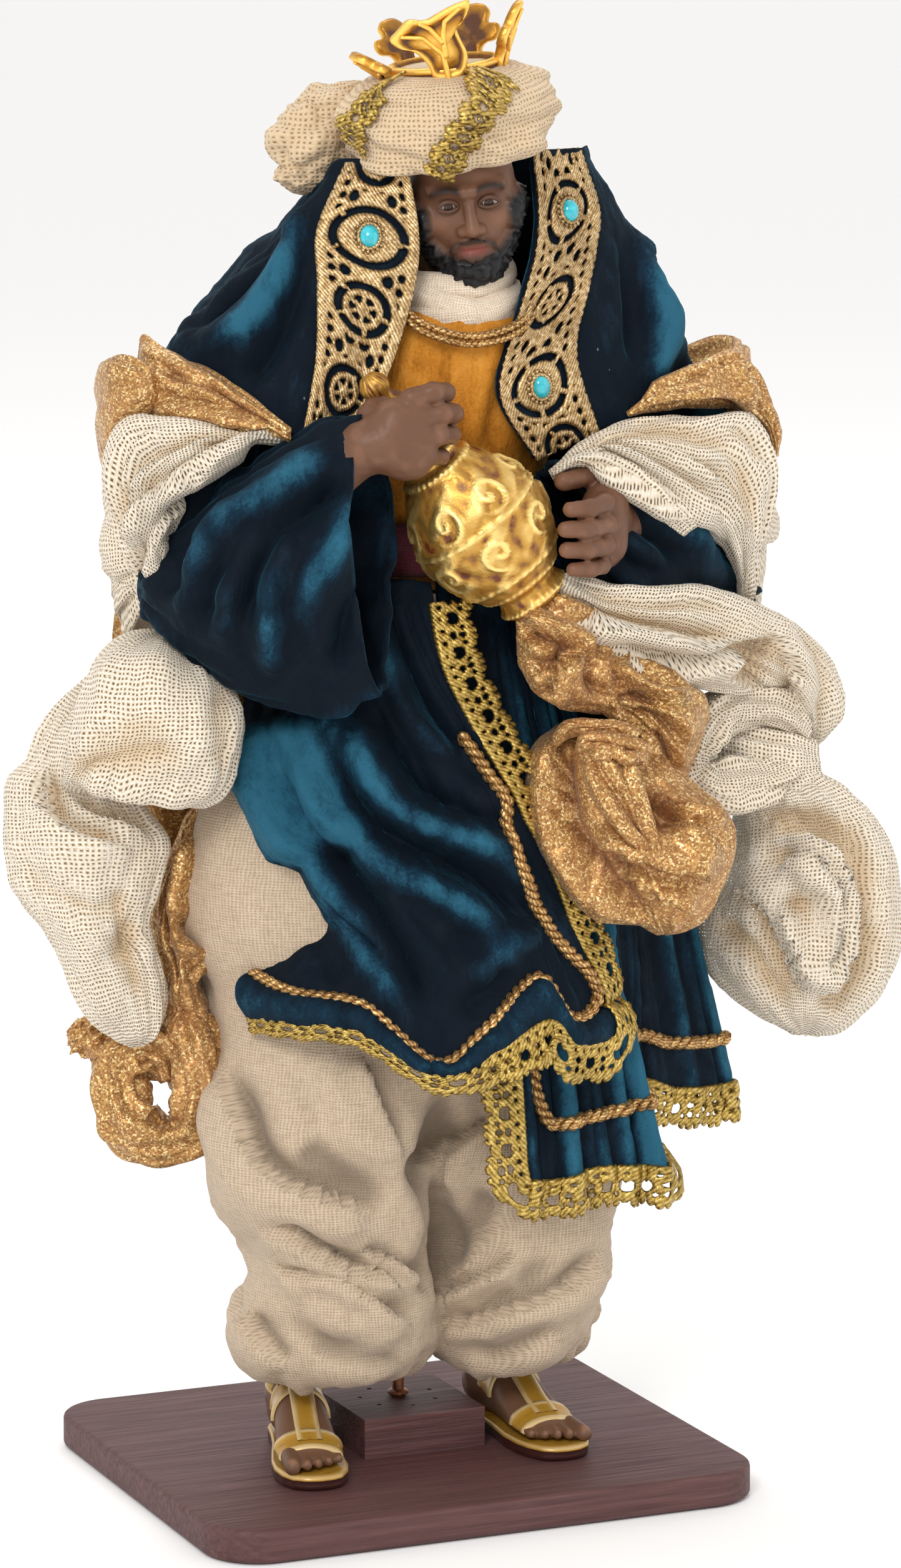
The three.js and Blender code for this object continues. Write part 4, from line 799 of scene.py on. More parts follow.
def lame_look():
    """Metal threads: a shimmer of small flakes from brown to pale gold, with painted shade in the folds"""
    look = Look("lame", rough=0.42, metal=0.55, sockets={"Sheen Weight": 0.1})
    flakes = look.cells(look.space(), 2600, "Color")
    kind, shine, height = [look.node("SeparateColor", {0: flakes}, k) for k in range(3)]
    tone = look.ramp(
        kind,
        (0.05, (0.2, 0.08, 0.022)),
        (0.45, (0.4, 0.2, 0.055)),
        (0.78, (0.62, 0.38, 0.12)),
        (0.95, (1.0, 0.82, 0.42)),
    )
    worn = look.mix(look.spread(look.grain(70, 3), 0.3, 0.7, 0.1, 0.5), tone, (0.48, 0.23, 0.085))
    # Painted shade in the fold hollows, where the piece's tone is low
    look.color(look.mix(look.spread(look.value_of("tone"), 0.0, 0.5, 0.7, 0.0), worn, (0.2, 0.07, 0.025)))
    look.roughness(look.spread(shine, 0.0, 1.0, 0.25, 0.6))
    look.bump(height, 0.09)
    look.bump(look.grain(1500, 3), 0.12)
    return look.mat


def metal_thread_look(name, low, mid, high, pitch):
    """Gold thread wound round a core: fine slanted turns, its colour rising with the relief: a painted
    highlight on top and painted shade between
    """
    look = Look(name, rough=0.38, metal=0.75)
    slanted = look.node("SeparateXYZ", {0: look.mapped(look.weave_uv(), (1, 1, 1), (0, 0, 0.7))}, "Y")
    both = look.sum_of((look.waves(slanted, pitch), 0.22), (look.grain(1100, 3, 0.7), 0.9))
    # Colour follows the relief: painted highlight on the raised turns, painted shade between them
    tone = look.ramp(both, (0.3, low), (0.55, mid), (0.85, high))
    look.color(look.mix(look.spread(look.grain(110, 3), 0.35, 0.75, 0.0, 0.45), tone, low))
    look.bump(both, 0.22)
    return look.mat


def antique_look(name, recess, gold, bright, bare=(0.34, 0.55)):
    """Gold leaf over a red-brown ground, which shows in the recesses: the piece's own value says where"""
    rough, metal = 0.34, 0.85
    look = Look(name, rough=rough, metal=metal)
    patch = look.grain(230, 4, 0.6)
    mixed = look.sum_of((look.value_of("tone"), 0.75), (patch, 0.5))
    look.color(look.ramp(mixed, (bare[0], recess), (bare[1], gold), (0.9, bright)))
    look.link(look.spread(mixed, bare[0], bare[1] + 0.05, 0.15, metal), look.bsdf.inputs["Metallic"])
    look.roughness(look.spread(patch, 0.3, 0.7, rough - 0.08, rough + 0.2))
    look.bump(look.grain(900, 4, 0.6), 0.12)
    look.bump(patch, 0.25)
    return look.mat


def painted_skin_look():
    look = Look("skin", sockets={"Coat Weight": 0.06, "Specular IOR Level": 0.25, "Coat Roughness": 0.3})
    patch = look.grain(120, 4, 0.6)
    base = look.value_of("tint", color=True)
    worn = look.mix(1.0, base, (0.62, 0.55, 0.5), "MULTIPLY")
    look.color(look.mix(look.spread(patch, 0.3, 0.7, 0.0, 0.35), base, worn))
    look.roughness(look.spread(patch, 0.3, 0.7, 0.4, 0.55))
    look.bump(look.grain(1300, 3), 0.03)
    return look.mat


WOOD = wood_look()
VELVET = velvet_look("velvet", (0.0012, 0.005, 0.011), (0.0024, 0.018, 0.036), (0.018, 0.1, 0.16))
OCHRE = velvet_look("ochre_velvet", (0.22, 0.07, 0.008), (0.52, 0.2, 0.02), (0.85, 0.42, 0.08), 0.32)
SASH = woven_look("sash_cloth", (0.13, 0.01, 0.024), (0.05, 0.004, 0.01), 0.6, 0.12)
LINEN = woven_look("linen", (0.56, 0.435, 0.31), (0.43, 0.32, 0.215), 0.55, 0.1, folds=0.7)
NECK = woven_look("neck_linen", (0.76, 0.63, 0.49), (0.6, 0.47, 0.35), 0.5, 0.06)
GAUZE = gauze_look("gauze", (0.8, 0.73, 0.61), 0.78)
TURBAN_GAUZE = gauze_look("turban_gauze", (0.8, 0.73, 0.61), 0.95, 0.42, 0.5)
LAME = lame_look()
BRAID = metal_thread_look("braid", (0.05, 0.018, 0.006), (0.42, 0.22, 0.07), (1.0, 0.7, 0.32), 0.55)
GOLD_LACE = metal_thread_look("gold_lace", (0.06, 0.03, 0.005), (0.4, 0.26, 0.05), (0.9, 0.66, 0.22), 0.7)
COLLAR_LACE = metal_thread_look("collar_lace", (0.1, 0.05, 0.016), (0.42, 0.26, 0.1), (1.0, 0.8, 0.5), 0.6)
CROWN_GOLD = antique_look("crown_gold", (0.09, 0.028, 0.006), (0.46, 0.21, 0.022), (1.0, 0.62, 0.14))
JAR_GOLD = antique_look("jar_gold", (0.13, 0.03, 0.01), (0.5, 0.26, 0.045), (1.0, 0.72, 0.26), (0.26, 0.4))
SKIN = painted_skin_look()


# Base, block and rod
def rounded_outline(half_x, half_y, radius):
    """Points round a rectangle with its corners rounded"""
    steps = 14
    corners = [(1, -1, -0.25), (1, 1, 0), (-1, 1, 0.25), (-1, -1, 0.5)]
    points = []
    for sx, sy, start in corners:
        for k in range(steps + 1):
            a = (start + 0.25 * k / steps) * TAU
            x, y = sx * (half_x - radius), sy * (half_y - radius)
            points.append((x + radius * math.cos(a), y + radius * math.sin(a)))
    return np.array(points)


BOARD_HALF = (60, 52.75)
BOARD_CORNER = 12
BOARD_PROFILE = [(-7, 1.0), (-6.5, 0.25), (-6, 0), (-1, 0), (-0.45, 0.18), (-0.12, 0.55), (0, 1.2)]


def base_board():
    rings = []
    for z, inset in BOARD_PROFILE:
        ring = rounded_outline(BOARD_HALF[0] - inset, BOARD_HALF[1] - inset, BOARD_CORNER - inset)
        rings.append(np.concatenate([ring, np.full((len(ring), 1), z)], 1))
    edge = rings[-1]
    for share in (0.96, 0.85, 0.7, 0.5, 0.3, 0.12):
        rings.append(edge * (share, share, 1))
    points = np.stack(rings, 1)
    wear = noise(points * (0.06, 0.06, 0.3), 5)
    points[:, :6, :2] *= 1 + 0.0016 * wear[:, :6, None]
    pile = Pile()
    pile.add_grid(points, wrap=True, caps=True)
    finish_piece(pile.make("base_board_wood"), WOOD, ["base_board"])


base_board()
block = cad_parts["base_block"]
block.data.materials.clear()
block.data.materials.append(WOOD)
bevel = block.modifiers.new("eased", "BEVEL")
bevel.width = 0.45 * MM
bevel.segments = 2
bevel.limit_method = "ANGLE"

ROD_PLACE = (-0.3, 1.0)
ROD_PROFILE = [
    (0.0, 4.8), (1.2, 4.8), (1.25, 8.7), (1.9, 8.8), (2.2, 9.0), (2.2, 9.5), (1.9, 9.75), (1.3, 9.85),
    (1.25, 10.3), (1.22, 79.5), (1.1, 80), (0.0, 80),
]


def support_rod():
    turn = ring_angles(24)[:, None]
    radius, z = np.array(ROD_PROFILE).T[:, None]
    points = stack(ROD_PLACE[0] + radius * np.sin(turn), ROD_PLACE[1] - radius * np.cos(turn), z)
    look = Look("rod_metal", (0.24, 0.085, 0.03), 0.42, 0.35)
    spots = look.grain((420, 420, 160), 4, 0.6)
    tones = (0.35, (0.09, 0.028, 0.012)), (0.55, (0.3, 0.1, 0.032)), (0.75, (0.5, 0.2, 0.07))
    look.color(look.ramp(spots, *tones))
    look.bump(spots, 0.1)
    finish_piece(grid_object("rod", points, True), look.mat, ["support_rod"])


support_rod()


# Trousers, tunic, sash and neck cloth
def level_grid(stations, rows, sides, swell=None):
    """Level rings through stations [z, x, y, half width, half depth]"""
    z, x, y, half_w, half_d = along_stations(stations, np.linspace(0, 1, rows)).T
    turn = ring_angles(sides)[:, None]
    grow = 1.0 if swell is None else 1 + swell(turn, z[None] - stations[0][0])
    return stack(x + half_w * grow * np.sin(turn), y - half_d * grow * np.cos(turn), z[None] + 0 * turn)


RIGHT_LEG = [
    [22, -19, -3, 8, 8], [17, -18, -5, 14, 14], [21, -18, -7, 20, 19], [30, -18, -8, 21.5, 20],
    [42, -17, -8, 19.5, 19.5],
    [48, -18, -8, 20.5, 20], [56, -20.5, -8, 23.5, 22], [70, -21, -8, 24, 22.5], [88, -20, -5, 22, 23],
    [104, -18, -2, 19, 21],
]
LEFT_LEG = [
    [21, 21, -4, 8, 8], [15.5, 21, -5, 12, 14.5], [20, 21.5, -7, 17, 18.5], [30, 22, -8, 19, 20],
    [42, 22.5, -8, 21, 21],
    [56, 22.5, -8, 22, 22], [72, 22, -8, 23, 22.5], [88, 20, -5, 23, 23], [104, 17, -2, 19, 21],
]
HIPS = [
    [66, 0, -4, 18, 16], [80, 0, -4, 37, 24], [92, 0, -2, 41, 28], [100, 0, -1, 42, 28.5],
    [110, 0, 0, 46.5, 29],
    [124, 0, 0, 47, 29], [138, 1, 0, 44, 26], [152, 3, 0, 33, 21], [166, 4, -1, 25, 17.5],
    [180, 4, -1.6, 21, 15.8],
]


TROUSERS_ROUND = 190


def remeshed(pile, name, voxel):
    """One closed skin over all the forms of a pile, as points and quads in millimetres"""
    made = pile.make(name)
    modifier = made.modifiers.new("remesh", "REMESH")
    modifier.mode = "VOXEL"
    modifier.voxel_size = voxel * MM
    graph = bpy.context.evaluated_depsgraph_get()
    mesh = bpy.data.meshes.new_from_object(made.evaluated_get(graph))
    points = np.empty(len(mesh.vertices) * 3)
    mesh.vertices.foreach_get("co", points)
    points = points.reshape(-1, 3) / MM - (0, 0, BASE_TOP)
    quads = np.empty(len(mesh.loops), int)
    mesh.loops.foreach_get("vertex_index", quads)
    bpy.data.objects.remove(made)
    bpy.data.meshes.remove(mesh)
    return points, quads.reshape(-1, 4)


def trousers():
    pile = Pile()
    for stations, hand in ((RIGHT_LEG, 1), (LEFT_LEG, -1)):

        def gathered(turn, rise):
            return 0.05 * bell(rise, 12) * np.cos(4 * turn) + 0.03 * np.sin(2 * hand * turn + rise / 9)

        pile.add_grid(level_grid(stations, 40, 48, gathered), wrap=True, caps=True)
    pile.add_grid(level_grid(HIPS, 44, 56), wrap=True, caps=True)
    points, faces = remeshed(pile, "legs", 1.22)
    points = relax(points, faces, 6)
    normals = point_normals(points, faces)
    x, y, z = points.T
    leg = np.where(x < 0, -18.5, 22)
    turn = np.arctan2(x - leg, -(y + 7))
    low = smooth_step(70, 30, z)
    high = smooth_step(60, 120, z)
    # Fabric rolls that sag across each shin and turn up at the sides, gathers at the ankles,
    # long falls from the hips
    sag = z + 7 * np.cos(turn) + 3.5 * noise(points * 0.045, 3)
    rolls = creases(sag * 0.085, turn * 0.9, 11, 0.5, 0.35)
    gathers = creases(turn * 3.4, z * 0.05, 12, 0.6, 0.5)
    hips_turn = np.arctan2(x, -y)
    falls = creases(hips_turn * 3.1 + z * 0.012, z * 0.028, 13, 0.5, 0.7)
    slant = creases((x * 0.5 + z * 0.85) * 0.06, (x - z) * 0.03, 14, 0.4, 0.8)
    ankle = smooth_step(34, 12, z)
    lift = 2.4 * low * (rolls - 0.5) * (1 - 0.5 * ankle) + 1.5 * ankle * (gathers - 0.5)
    lift += high * (1.7 * (falls - 0.5)) + (1 - low) * (1 - 0.6 * high) * 1.6 * (slant - 0.5)
    lift += 0.35 * noise(points * 0.28, 15)
    inner_side = bell(x - 1.5, 3.5) * smooth_step(96, 70, z)
    lift = lift * (1 - 0.8 * inner_side) * (1.9 - 1.45 * eye_facing(normals))
    drawn = np.clip(1.25 * creased(points, normals, TROUSER_CREASES, (0.05, 0.5)), -5.5, 3.4)
    points = points + normals * (lift + drawn)[:, None]
    points = relax(points, faces, 1, 0.2)
    uv = wrap_uv(points, faces, (0, 0), TROUSERS_ROUND)
    # The tone paints shade in the fold hollows and a highlight on the ridges
    tone = np.clip(0.55 + 0.14 * lift + 0.2 * drawn, 0, 1)
    made = object_of("trousers_linen", points, faces, uv, {"tone": tone})
    finish_piece(made, LINEN, ["trousers"])


trousers()

TUNIC = [
    [180.4, 4, -1.8, 20.6, 15.6], [192, 4, -2.2, 21, 15.8], [205, 5, -3.5, 25, 17.5], [220, 6, -5.5, 29, 20],
    [233, 6, -7.5, 24, 18.6], [240, 6, -8, 13, 12.6],
]


def tunic():
    def pleats(turn, rise):
        front = bell(np.angle(np.exp(1j * (turn - 0.05))), 0.8)
        wander = 0.25 * noise(stack(turn * 1.5, rise * 0.05), 21)
        ridge = billow(np.sin(8.5 * (turn + wander)), 0.12)
        depth = 0.02 + 0.055 * front * smooth_step(0, 40, rise)
        return depth * (ridge - 0.5) + 0.012 * noise(stack(turn * 6, rise * 0.12), 22)

    pile = Pile()
    pile.add_grid(level_grid(TUNIC, 40, 150, pleats), wrap=True, caps=True)
    finish_piece(pile.make("tunic_velvet"), OCHRE, ["tunic"])


tunic()


SASH_BAND = [
    [183.6, 4, -2, 22.6, 17.8], [186, 4, -2, 23.2, 18.3], [188.6, 4, -2, 22.8, 17.8],
    [191, 4.2, -2.2, 23.6, 18.4], [194.2, 4.4, -2.4, 22.8, 17.4],
]


def sash():
    def swell(turn, rise):
        return 0.035 * (creases(turn * 1.4 + rise * 0.32, turn * 0.6, 31) - 0.5)

    made = grid_object("sash_band", level_grid(SASH_BAND, 12, 90, swell), wrap=True)
    finish_piece(made, SASH, ["waist_sash"], 0.9)


sash()

# Each roll of the neck cloth: rise, size round the neck, thickness and slope
NECK_ROLLS = [(-3.2, 1.02, 3.5, 0.16), (0.2, 1.0, 3.3, -0.2), (3.0, 0.95, 2.8, 0.08)]
NECK_PLACE = (6, -10.8, 241)


def neck_cloth():
    """A soft cloth wound round the neck: three rolls that cross in front"""
    pile = Pile()
    for k, (rise, wide, thick, slope) in enumerate(NECK_ROLLS):
        a = np.linspace(0, TAU, 84, endpoint=False)
        forward = 11.6 * wide * np.cos(a)
        z = NECK_PLACE[2] + rise + 4.2 * thick * slope * np.sin(a + 0.6) - 0.261 * forward
        path = stack(NECK_PLACE[0] + 12.2 * wide * np.sin(a), NECK_PLACE[1] - forward, z)
        side, up = frames_along(path, True)
        b = ring_angles(20)[:, None]
        r = thick * (0.85 + 0.32 * creases(b * 1.3 + a * 0.8, a[None] * 1.1, 41 + k, 0.6))
        ring = ring_round(path, side, up, b, r * 0.95, r * 1.1)
        pile.add_grid(np.concatenate([ring, ring[:, :1]], 1), wrap=True)
    finish_piece(pile.make("neck_wrap"), NECK, ["neck_cloth"])


neck_cloth()


# Coat: bodice, skirt panels and sleeves
CHEST_AXIS = (6, -4)
BODICE = [
    [[-39, 20.5, 266], [-33, 22.5, 250], [-37, 26.5, 236], [-45, 32, 221], [-53, 40, 208]],
    [[-70, 23.5, 266], [-70, 33.5, 253], [-67, 37, 242], [-66, 42, 229], [-68, 48, 215]],
    [[-92, 24, 262], [-92, 41, 247], [-92, 52, 236], [-92, 55, 226], [-92, 54, 208]],
    [[-132, 22, 261], [-132, 34, 248], [-132, 43, 230], [-132, 46, 205], [-132, 44, 180]],
    [[-180, 21, 261], [-180, 27, 245], [-180, 32, 220], [-180, 34, 188], [-180, 35, 160]],
    [[-228, 22, 265], [-228, 34, 249], [-228, 44, 232], [-228, 46, 205], [-228, 44, 180]],
    [[-268, 29, 267], [-268, 44, 250], [-268, 52, 238], [-268, 57, 226], [-268, 56, 208]],
    [[-288, 29, 268], [-289, 34, 257], [-293, 36, 244], [-296, 38, 231], [-296, 44, 215]],
    [[-313, 20.5, 268], [-322, 23, 252], [-338, 23, 236], [-351, 23.5, 221], [-330, 25, 207]],
]
bodice_form = surface_through([[around(CHEST_AXIS, *p) for p in column] for column in BODICE])


def plain_grid(surface, nu, nv):
    """A grid over a whole surface: its U and V, points and normals"""
    u, v = np.meshgrid(np.linspace(0, 1, nu), np.linspace(0, 1, nv), indexing="ij")
    points = surface(u, v)
    return u, v, points, grid_normals(points)


def bodice():
    u, v, points, normals = plain_grid(bodice_form, 210, 76)
    edge = np.minimum(u, 1 - u)
    deep = creases(u * 17 + 1.2 * v, v * 1.3, 51, 0.5, 0.8)
    drape = creases(u * 9 - 1.5 * v, v * 2.2, 52, 0.5, 0.9)
    free = smooth_step(0.1, 0.22, edge)
    lift = free * (1.6 + 3.4 * v) * (deep - 0.45) + free * 2.4 * (drape - 0.45)
    lift += 0.35 * noise(points * 0.22, 53) + 0.15 * noise(points * 0.6, 54)
    roll = 1.3 * smooth_step(0.05, 0.0, v)
    drawn = 1.5 * smooth_step(0.11, 0.16, edge) * creased(points, normals, CAPE_CREASES)
    lift = lift * (1.75 - 1.15 * eye_facing(normals)) + drawn
    points = points + normals * (lift + roll)[..., None]
    # The tone paints shade in the fold hollows and a highlight on the ridges
    tone = np.clip(0.47 + 0.15 * lift, 0, 1)
    made = grid_object("coat_upper", points, values={"tone": tone.ravel()})
    finish_piece(made, VELVET, ["coat_bodice"], 1.4)


bodice()

HIP_AXIS = (3, -2)
OVER_PANEL = [
    [
        [-26, 1, 177.5], [-32, 2.5, 156.5], [-36, 2, 139], [-34, -14.5, 126], [-24.5, -23, 115.5],
        [-38.5, -14, 104.5], [-39.5, -17, 95.5],
    ],
    [
        [-24, -6.5, 179], [-29.5, -8.5, 159.5], [-33, -11.5, 142], [-30, -21.5, 128], [-22.5, -29, 114],
        [-34, -26, 102], [-35, -28, 96],
    ],
    [
        [-21.5, -12, 180.5], [-26, -15.5, 162], [-26.5, -22, 143], [-23.5, -29.5, 126.5], [-17, -37, 109],
        [-23, -37, 100.5], [-24, -38, 95],
    ],
    [
        [-18.5, -16, 181.5], [-20.5, -21.5, 164], [-20, -28.5, 143.5], [-15.5, -35.5, 124.5],
        [-10, -42, 106.5], [-12.5, -48, 90], [-12, -49.5, 87.5],
    ],
    [
        [-15, -19, 182.5], [-16, -25, 165.5], [-12.5, -33, 145.5], [-7.5, -38.5, 126.5], [-1, -42.5, 111],
        [-1.5, -47, 96], [0, -49.5, 91],
    ],
    [
        [-11.5, -21.5, 183.5], [-10.5, -28, 166], [-5.5, -35.5, 146], [0, -40, 129], [9, -41, 114.5],
        [12.5, -41, 104.5], [12.5, -45.5, 95],
    ],
    [
        [-7.5, -23.5, 183.5], [-6.5, -29.5, 167.5], [1.5, -36.5, 147], [7.5, -40, 128.5], [17, -39, 111],
        [19, -43, 96], [18, -44.5, 90.5],
    ],
    [
        [-4, -25.5, 183], [-2.5, -31, 166], [8, -37.5, 143.5], [16, -38.5, 128], [24.5, -37, 108.5],
        [29.5, -37, 96.5], [29.5, -38.5, 88.5],
    ],
]
UNDER_PANEL = [
    [[-12, 21, 188], [-8, 24, 160], [2, 31, 130], [11, 33, 96], [12, 36.8, 60.5]],
    [[16, 21, 188], [20, 25, 160], [22, 31.5, 130], [24, 35.5, 92], [24, 39.5, 60]],
    [[30, 21, 188], [33, 27, 160], [34, 34, 130], [36, 39, 92], [36, 43.2, 61.5]],
    [[42, 21.5, 188], [44, 30, 160], [44, 37, 130], [45, 43, 95], [47, 48.5, 60.5]],
    [[48, 22, 188], [50, 32, 160], [50, 39, 130], [48, 42, 98], [53, 52, 61]],
    [[54, 22, 188], [55, 34, 160], [55, 42, 130], [57, 45, 103], [54, 45.5, 77]],
    [[68, 23, 188], [64, 39, 160], [63, 47, 130], [65, 50.5, 103], [65, 55, 73.5]],
    [[88, 23.5, 188], [86, 43, 158], [84, 54, 130], [82, 60, 102], [80, 67, 72.5]],
    [[120, 24, 188], [118, 39, 158], [118, 49, 130], [118, 53, 102], [118, 60, 76]],
    [[150, 23, 188], [150, 32, 158], [150, 39, 130], [150, 43, 104], [150, 49, 81]],
    [[182, 22, 188], [182, 29, 158], [182, 35, 130], [182, 39, 106], [182, 45, 84]],
    [[216, 24, 188], [216, 33, 158], [216, 41, 130], [216, 43, 108], [216, 46, 86]],
]
over_form = surface_through(OVER_PANEL)
under_form = surface_through([[around(HIP_AXIS, *p) for p in column] for column in UNDER_PANEL])


def surface_normal(surface, u, v):
    step = 0.01
    du = surface(np.minimum(u + step, 1), v) - surface(np.maximum(u - step, 0), v)
    dv = surface(u, np.minimum(v + step, 1)) - surface(u, np.maximum(v - step, 0))
    return unit(np.cross(du, dv))


def over_lift(u, v):
    slanted = u - 0.55 * v
    folds = creases(slanted * 6.5, v * 1.2, 61, 0.35, 0.45)
    finer = creases(slanted * 13 + 0.6 * v, v * 2.1, 62, 0.35, 0.6)
    calm = smooth_step(0.0, 0.12, v) * (1 - 0.7 * smooth_step(0.76, 0.84, v))
    hem = np.clip((v - 0.835) / 0.165, 0, 1)
    roll = 2.4 * np.sin(math.pi * hem) ** 0.7 - bell(v - 0.835, 0.016)
    return calm * (1.5 * (folds - 0.4) + 0.9 * (finer - 0.4)) + roll


def under_lift(u, v):
    folds = creases(u * 17, v * 1.2, 63, 0.35, 0.4)
    finer = creases(u * 34, v * 2.4, 64, 0.35, 0.6)
    behind = smooth_step(0.45, 0.6, u)
    deep = (2.6 + 1.6 * behind) * (folds - 0.4) * (0.5 + 0.8 * v)
    return smooth_step(0.05, 0.3, v) * (deep + 0.9 * (finer - 0.4)) - 1.2


def over_surface(u, v, off=0.0):
    """The over panel with its folds, or a surface that stands off it, in millimetres"""
    u, v = np.asarray(u, float), np.asarray(v, float)
    way = -surface_normal(over_form, u, v)
    points = over_form(u, v) + way * over_lift(u, v)[..., None]
    return points + way * (1.25 * creased(points, way, OVER_CREASES) + off)[..., None]


def under_surface(u, v, off=0.0):
    u, v = np.asarray(u, float), np.asarray(v, float)
    return under_form(u, v) - surface_normal(under_form, u, v) * (under_lift(u, v) + off)[..., None]


def skirt_panel(name, surface, form, nu, nv, middle, share, replaces):
    """One panel of the skirt, its tone, painted shade in the hollows and a painted highlight on the ridges,
    from the middle one by how far each place stands out
    """
    u, v, points, normals = plain_grid(surface, nu, nv)
    points = points + normals * (0.3 * noise(points * 0.25, 65) + 0.15 * noise(points * 0.7, 66))[..., None]
    lift = -((points - form(u, v)) * surface_normal(form, u, v)).sum(-1)
    made = grid_object(name, points, values={"tone": np.clip(middle + share * lift, 0, 1).ravel()})
    return finish_piece(made, VELVET, replaces, 1.3)


made = skirt_panel("coat_skirt_over", over_surface, over_form, 130, 110, 0.42, 0.12, ["coat_skirt"])
made = skirt_panel("coat_skirt_under", under_surface, under_form, 190, 76, 0.86, 0.24, [])

RIGHT_SLEEVE = [
    [-3, 184, 180, 1], [0, 188, 178, 6], [5, 193, 173, 10], [12, 200, 166, 13], [20, 207, 162, 15],
    [29, 213, 160, 15], [37, 216.5, 161, 14],
    [45.5, 217.5, 165, 11.5],
]
LEFT_SLEEVE = [
    [-3, 176, 173, 1], [0, 179, 171, 6], [7, 185, 167, 9], [16, 191, 163, 12], [28, 197, 160, 14],
    [38, 202, 162, 14], [47, 205.5, 169, 12],
    [55, 205.5, 180, 9],
]


SLEEVE_ROWS = 76
SLEEVE_SIDES = 104


def sleeve(name, elbow, wrist, stations, mouth, upper, seed, node, lines):
    """A bell sleeve from stations [distance, top, bottom, half width] between elbow and wrist, and the arm"""
    start = np.array(elbow, float)
    along = unit(np.array(wrist, float) - start)
    s = np.linspace(0, 1, SLEEVE_ROWS)
    distance, top, bottom, depth = along_stations(stations, s).T
    turn = ring_angles(SLEEVE_SIDES)[:, None]
    side = depth * np.sin(turn) * (1 + 0.06 * np.sin(3 * turn))
    slope = mouth * s**3 * np.cos(turn)
    x = start[0] + along[0] * (distance + slope) - along[1] * side
    y = start[1] + along[1] * (distance + slope) + along[0] * side
    z = (top + bottom) / 2 + (top - bottom) / 2 * np.cos(turn)
    points = stack(x, y, z)
    normals = outer_normals(points)
    fall = noise(stack(1.6 * np.sin(turn), 1.6 * np.cos(turn), 1.1 * s), seed)
    folds_at = stack(2.6 * np.sin(turn) + 0.5 * fall, 2.6 * np.cos(turn) + 0.5 * fall, 1.6 * s)
    long_folds = billow(noise(folds_at, seed + 1))
    cross = creases(s * 5 + 0.9 * np.cos(turn), np.sin(turn), seed + 2, 0.5, 0.7)
    lift = 4.6 * (long_folds - 0.22) + 1.5 * (cross - 0.45) * smooth_step(0.0, 0.25, s)
    lift += 0.3 * noise(points * 0.3, seed + 3)
    lift = lift * smooth_step(0.0, 0.12, s) * (1 - 0.5 * eye_facing(normals))
    lift += 1.7 * creased(points, normals, lines, (0.0, 0.5))
    points = points + normals * lift[..., None]

    def arm_folds(turn, rise):
        return 0.06 * (creases(turn * 1.5, rise * 0.05, seed + 4) - 0.5)

    pile = Pile()
    # The tone paints shade in the fold hollows and a highlight on the ridges
    pile.add_grid(points, wrap=True, value=np.clip(0.42 + 0.12 * lift, 0, 1).ravel())
    pile.add_grid(level_grid(upper, 20, 40, arm_folds), wrap=True, caps=True)
    finish_piece(pile.make(name), VELVET, [node], 1.2)


RIGHT_ARM = [[184, -48, -8, 8, 8], [200, -46, -8, 8.5, 8.5], [218, -40, -6, 8, 8]]
LEFT_ARM = [[180, 66, -8, 8, 8], [196, 62, -8, 8.5, 8.5], [216, 54, -6, 8, 8]]
sleeve(
    "sleeve_right_velvet", (-56, -8), (-20, -40), RIGHT_SLEEVE, -1.5, RIGHT_ARM, 71, "sleeve_right",
    SLEEVE_CREASES,
)
sleeve(
    "sleeve_left_velvet", (74, -4), (22, -29), LEFT_SLEEVE, 3, LEFT_ARM, 81, "sleeve_left",
    LEFT_SLEEVE_CREASES,
)


# Gauze and lame stoles
PILLOW_SIDES = 96
PILLOW_STEP = 1.08
DEEPEST_CREASE = 6.5


def pillow(stations, lines, seed, depth):
    """A closed lobe of cloth from stations (h, v) left and right, m and half thickness, with creases"""
    keys = np.array(stations, float)
    lengths_between = np.linalg.norm(np.diff((keys[:, :2] + keys[:, 2:4]) / 2, axis=0), axis=1)
    rows = max(24, int(lengths_between.sum() / PILLOW_STEP))
    value = along_stations(keys, np.linspace(0, 1, rows))
    left, right, m, thick = value[:, :2], value[:, 2:4], value[:, 4], value[:, 5]
    turn = ring_angles(PILLOW_SIDES)[:, None]
    across = -np.cos(turn)
    bulge = np.sign(np.sin(turn)) * np.abs(np.sin(turn)) ** 0.85
    middle, half = (left + right) / 2, (right - left) / 2
    h = middle[:, 0] + half[:, 0] * across
    v = middle[:, 1] + half[:, 1] * across
    points = from_view(h, v, m + thick * bulge)
    normals = outer_normals(points)
    s = np.linspace(0, 1, rows) * lengths_between.sum()
    ring = stack(1.6 * np.sin(turn), 1.6 * np.cos(turn), s * 0.02)
    runs = billow(noise(ring, seed)) + 0.5 * billow(noise(ring * 2.4 + 3, seed + 1))
    thin = np.clip(thick / 8, 0.2, 1)[None]
    lift = depth * (1.7 * runs - 0.75) * thin + 0.35 * noise(points * 0.16, seed + 2)
    lift += 0.16 * noise(points * 0.5, seed + 3)
    points = points + normals * lift[..., None]
    deep = np.clip(1.6 * creased(points, normals, lines), -DEEPEST_CREASE, DEEPEST_CREASE)
    # The tone paints shade in the crease hollows and a highlight on the ridges
    tone = np.clip(0.6 + 0.2 * deep + 0.14 * lift, 0, 1)
    return points + normals * deep[..., None], tone


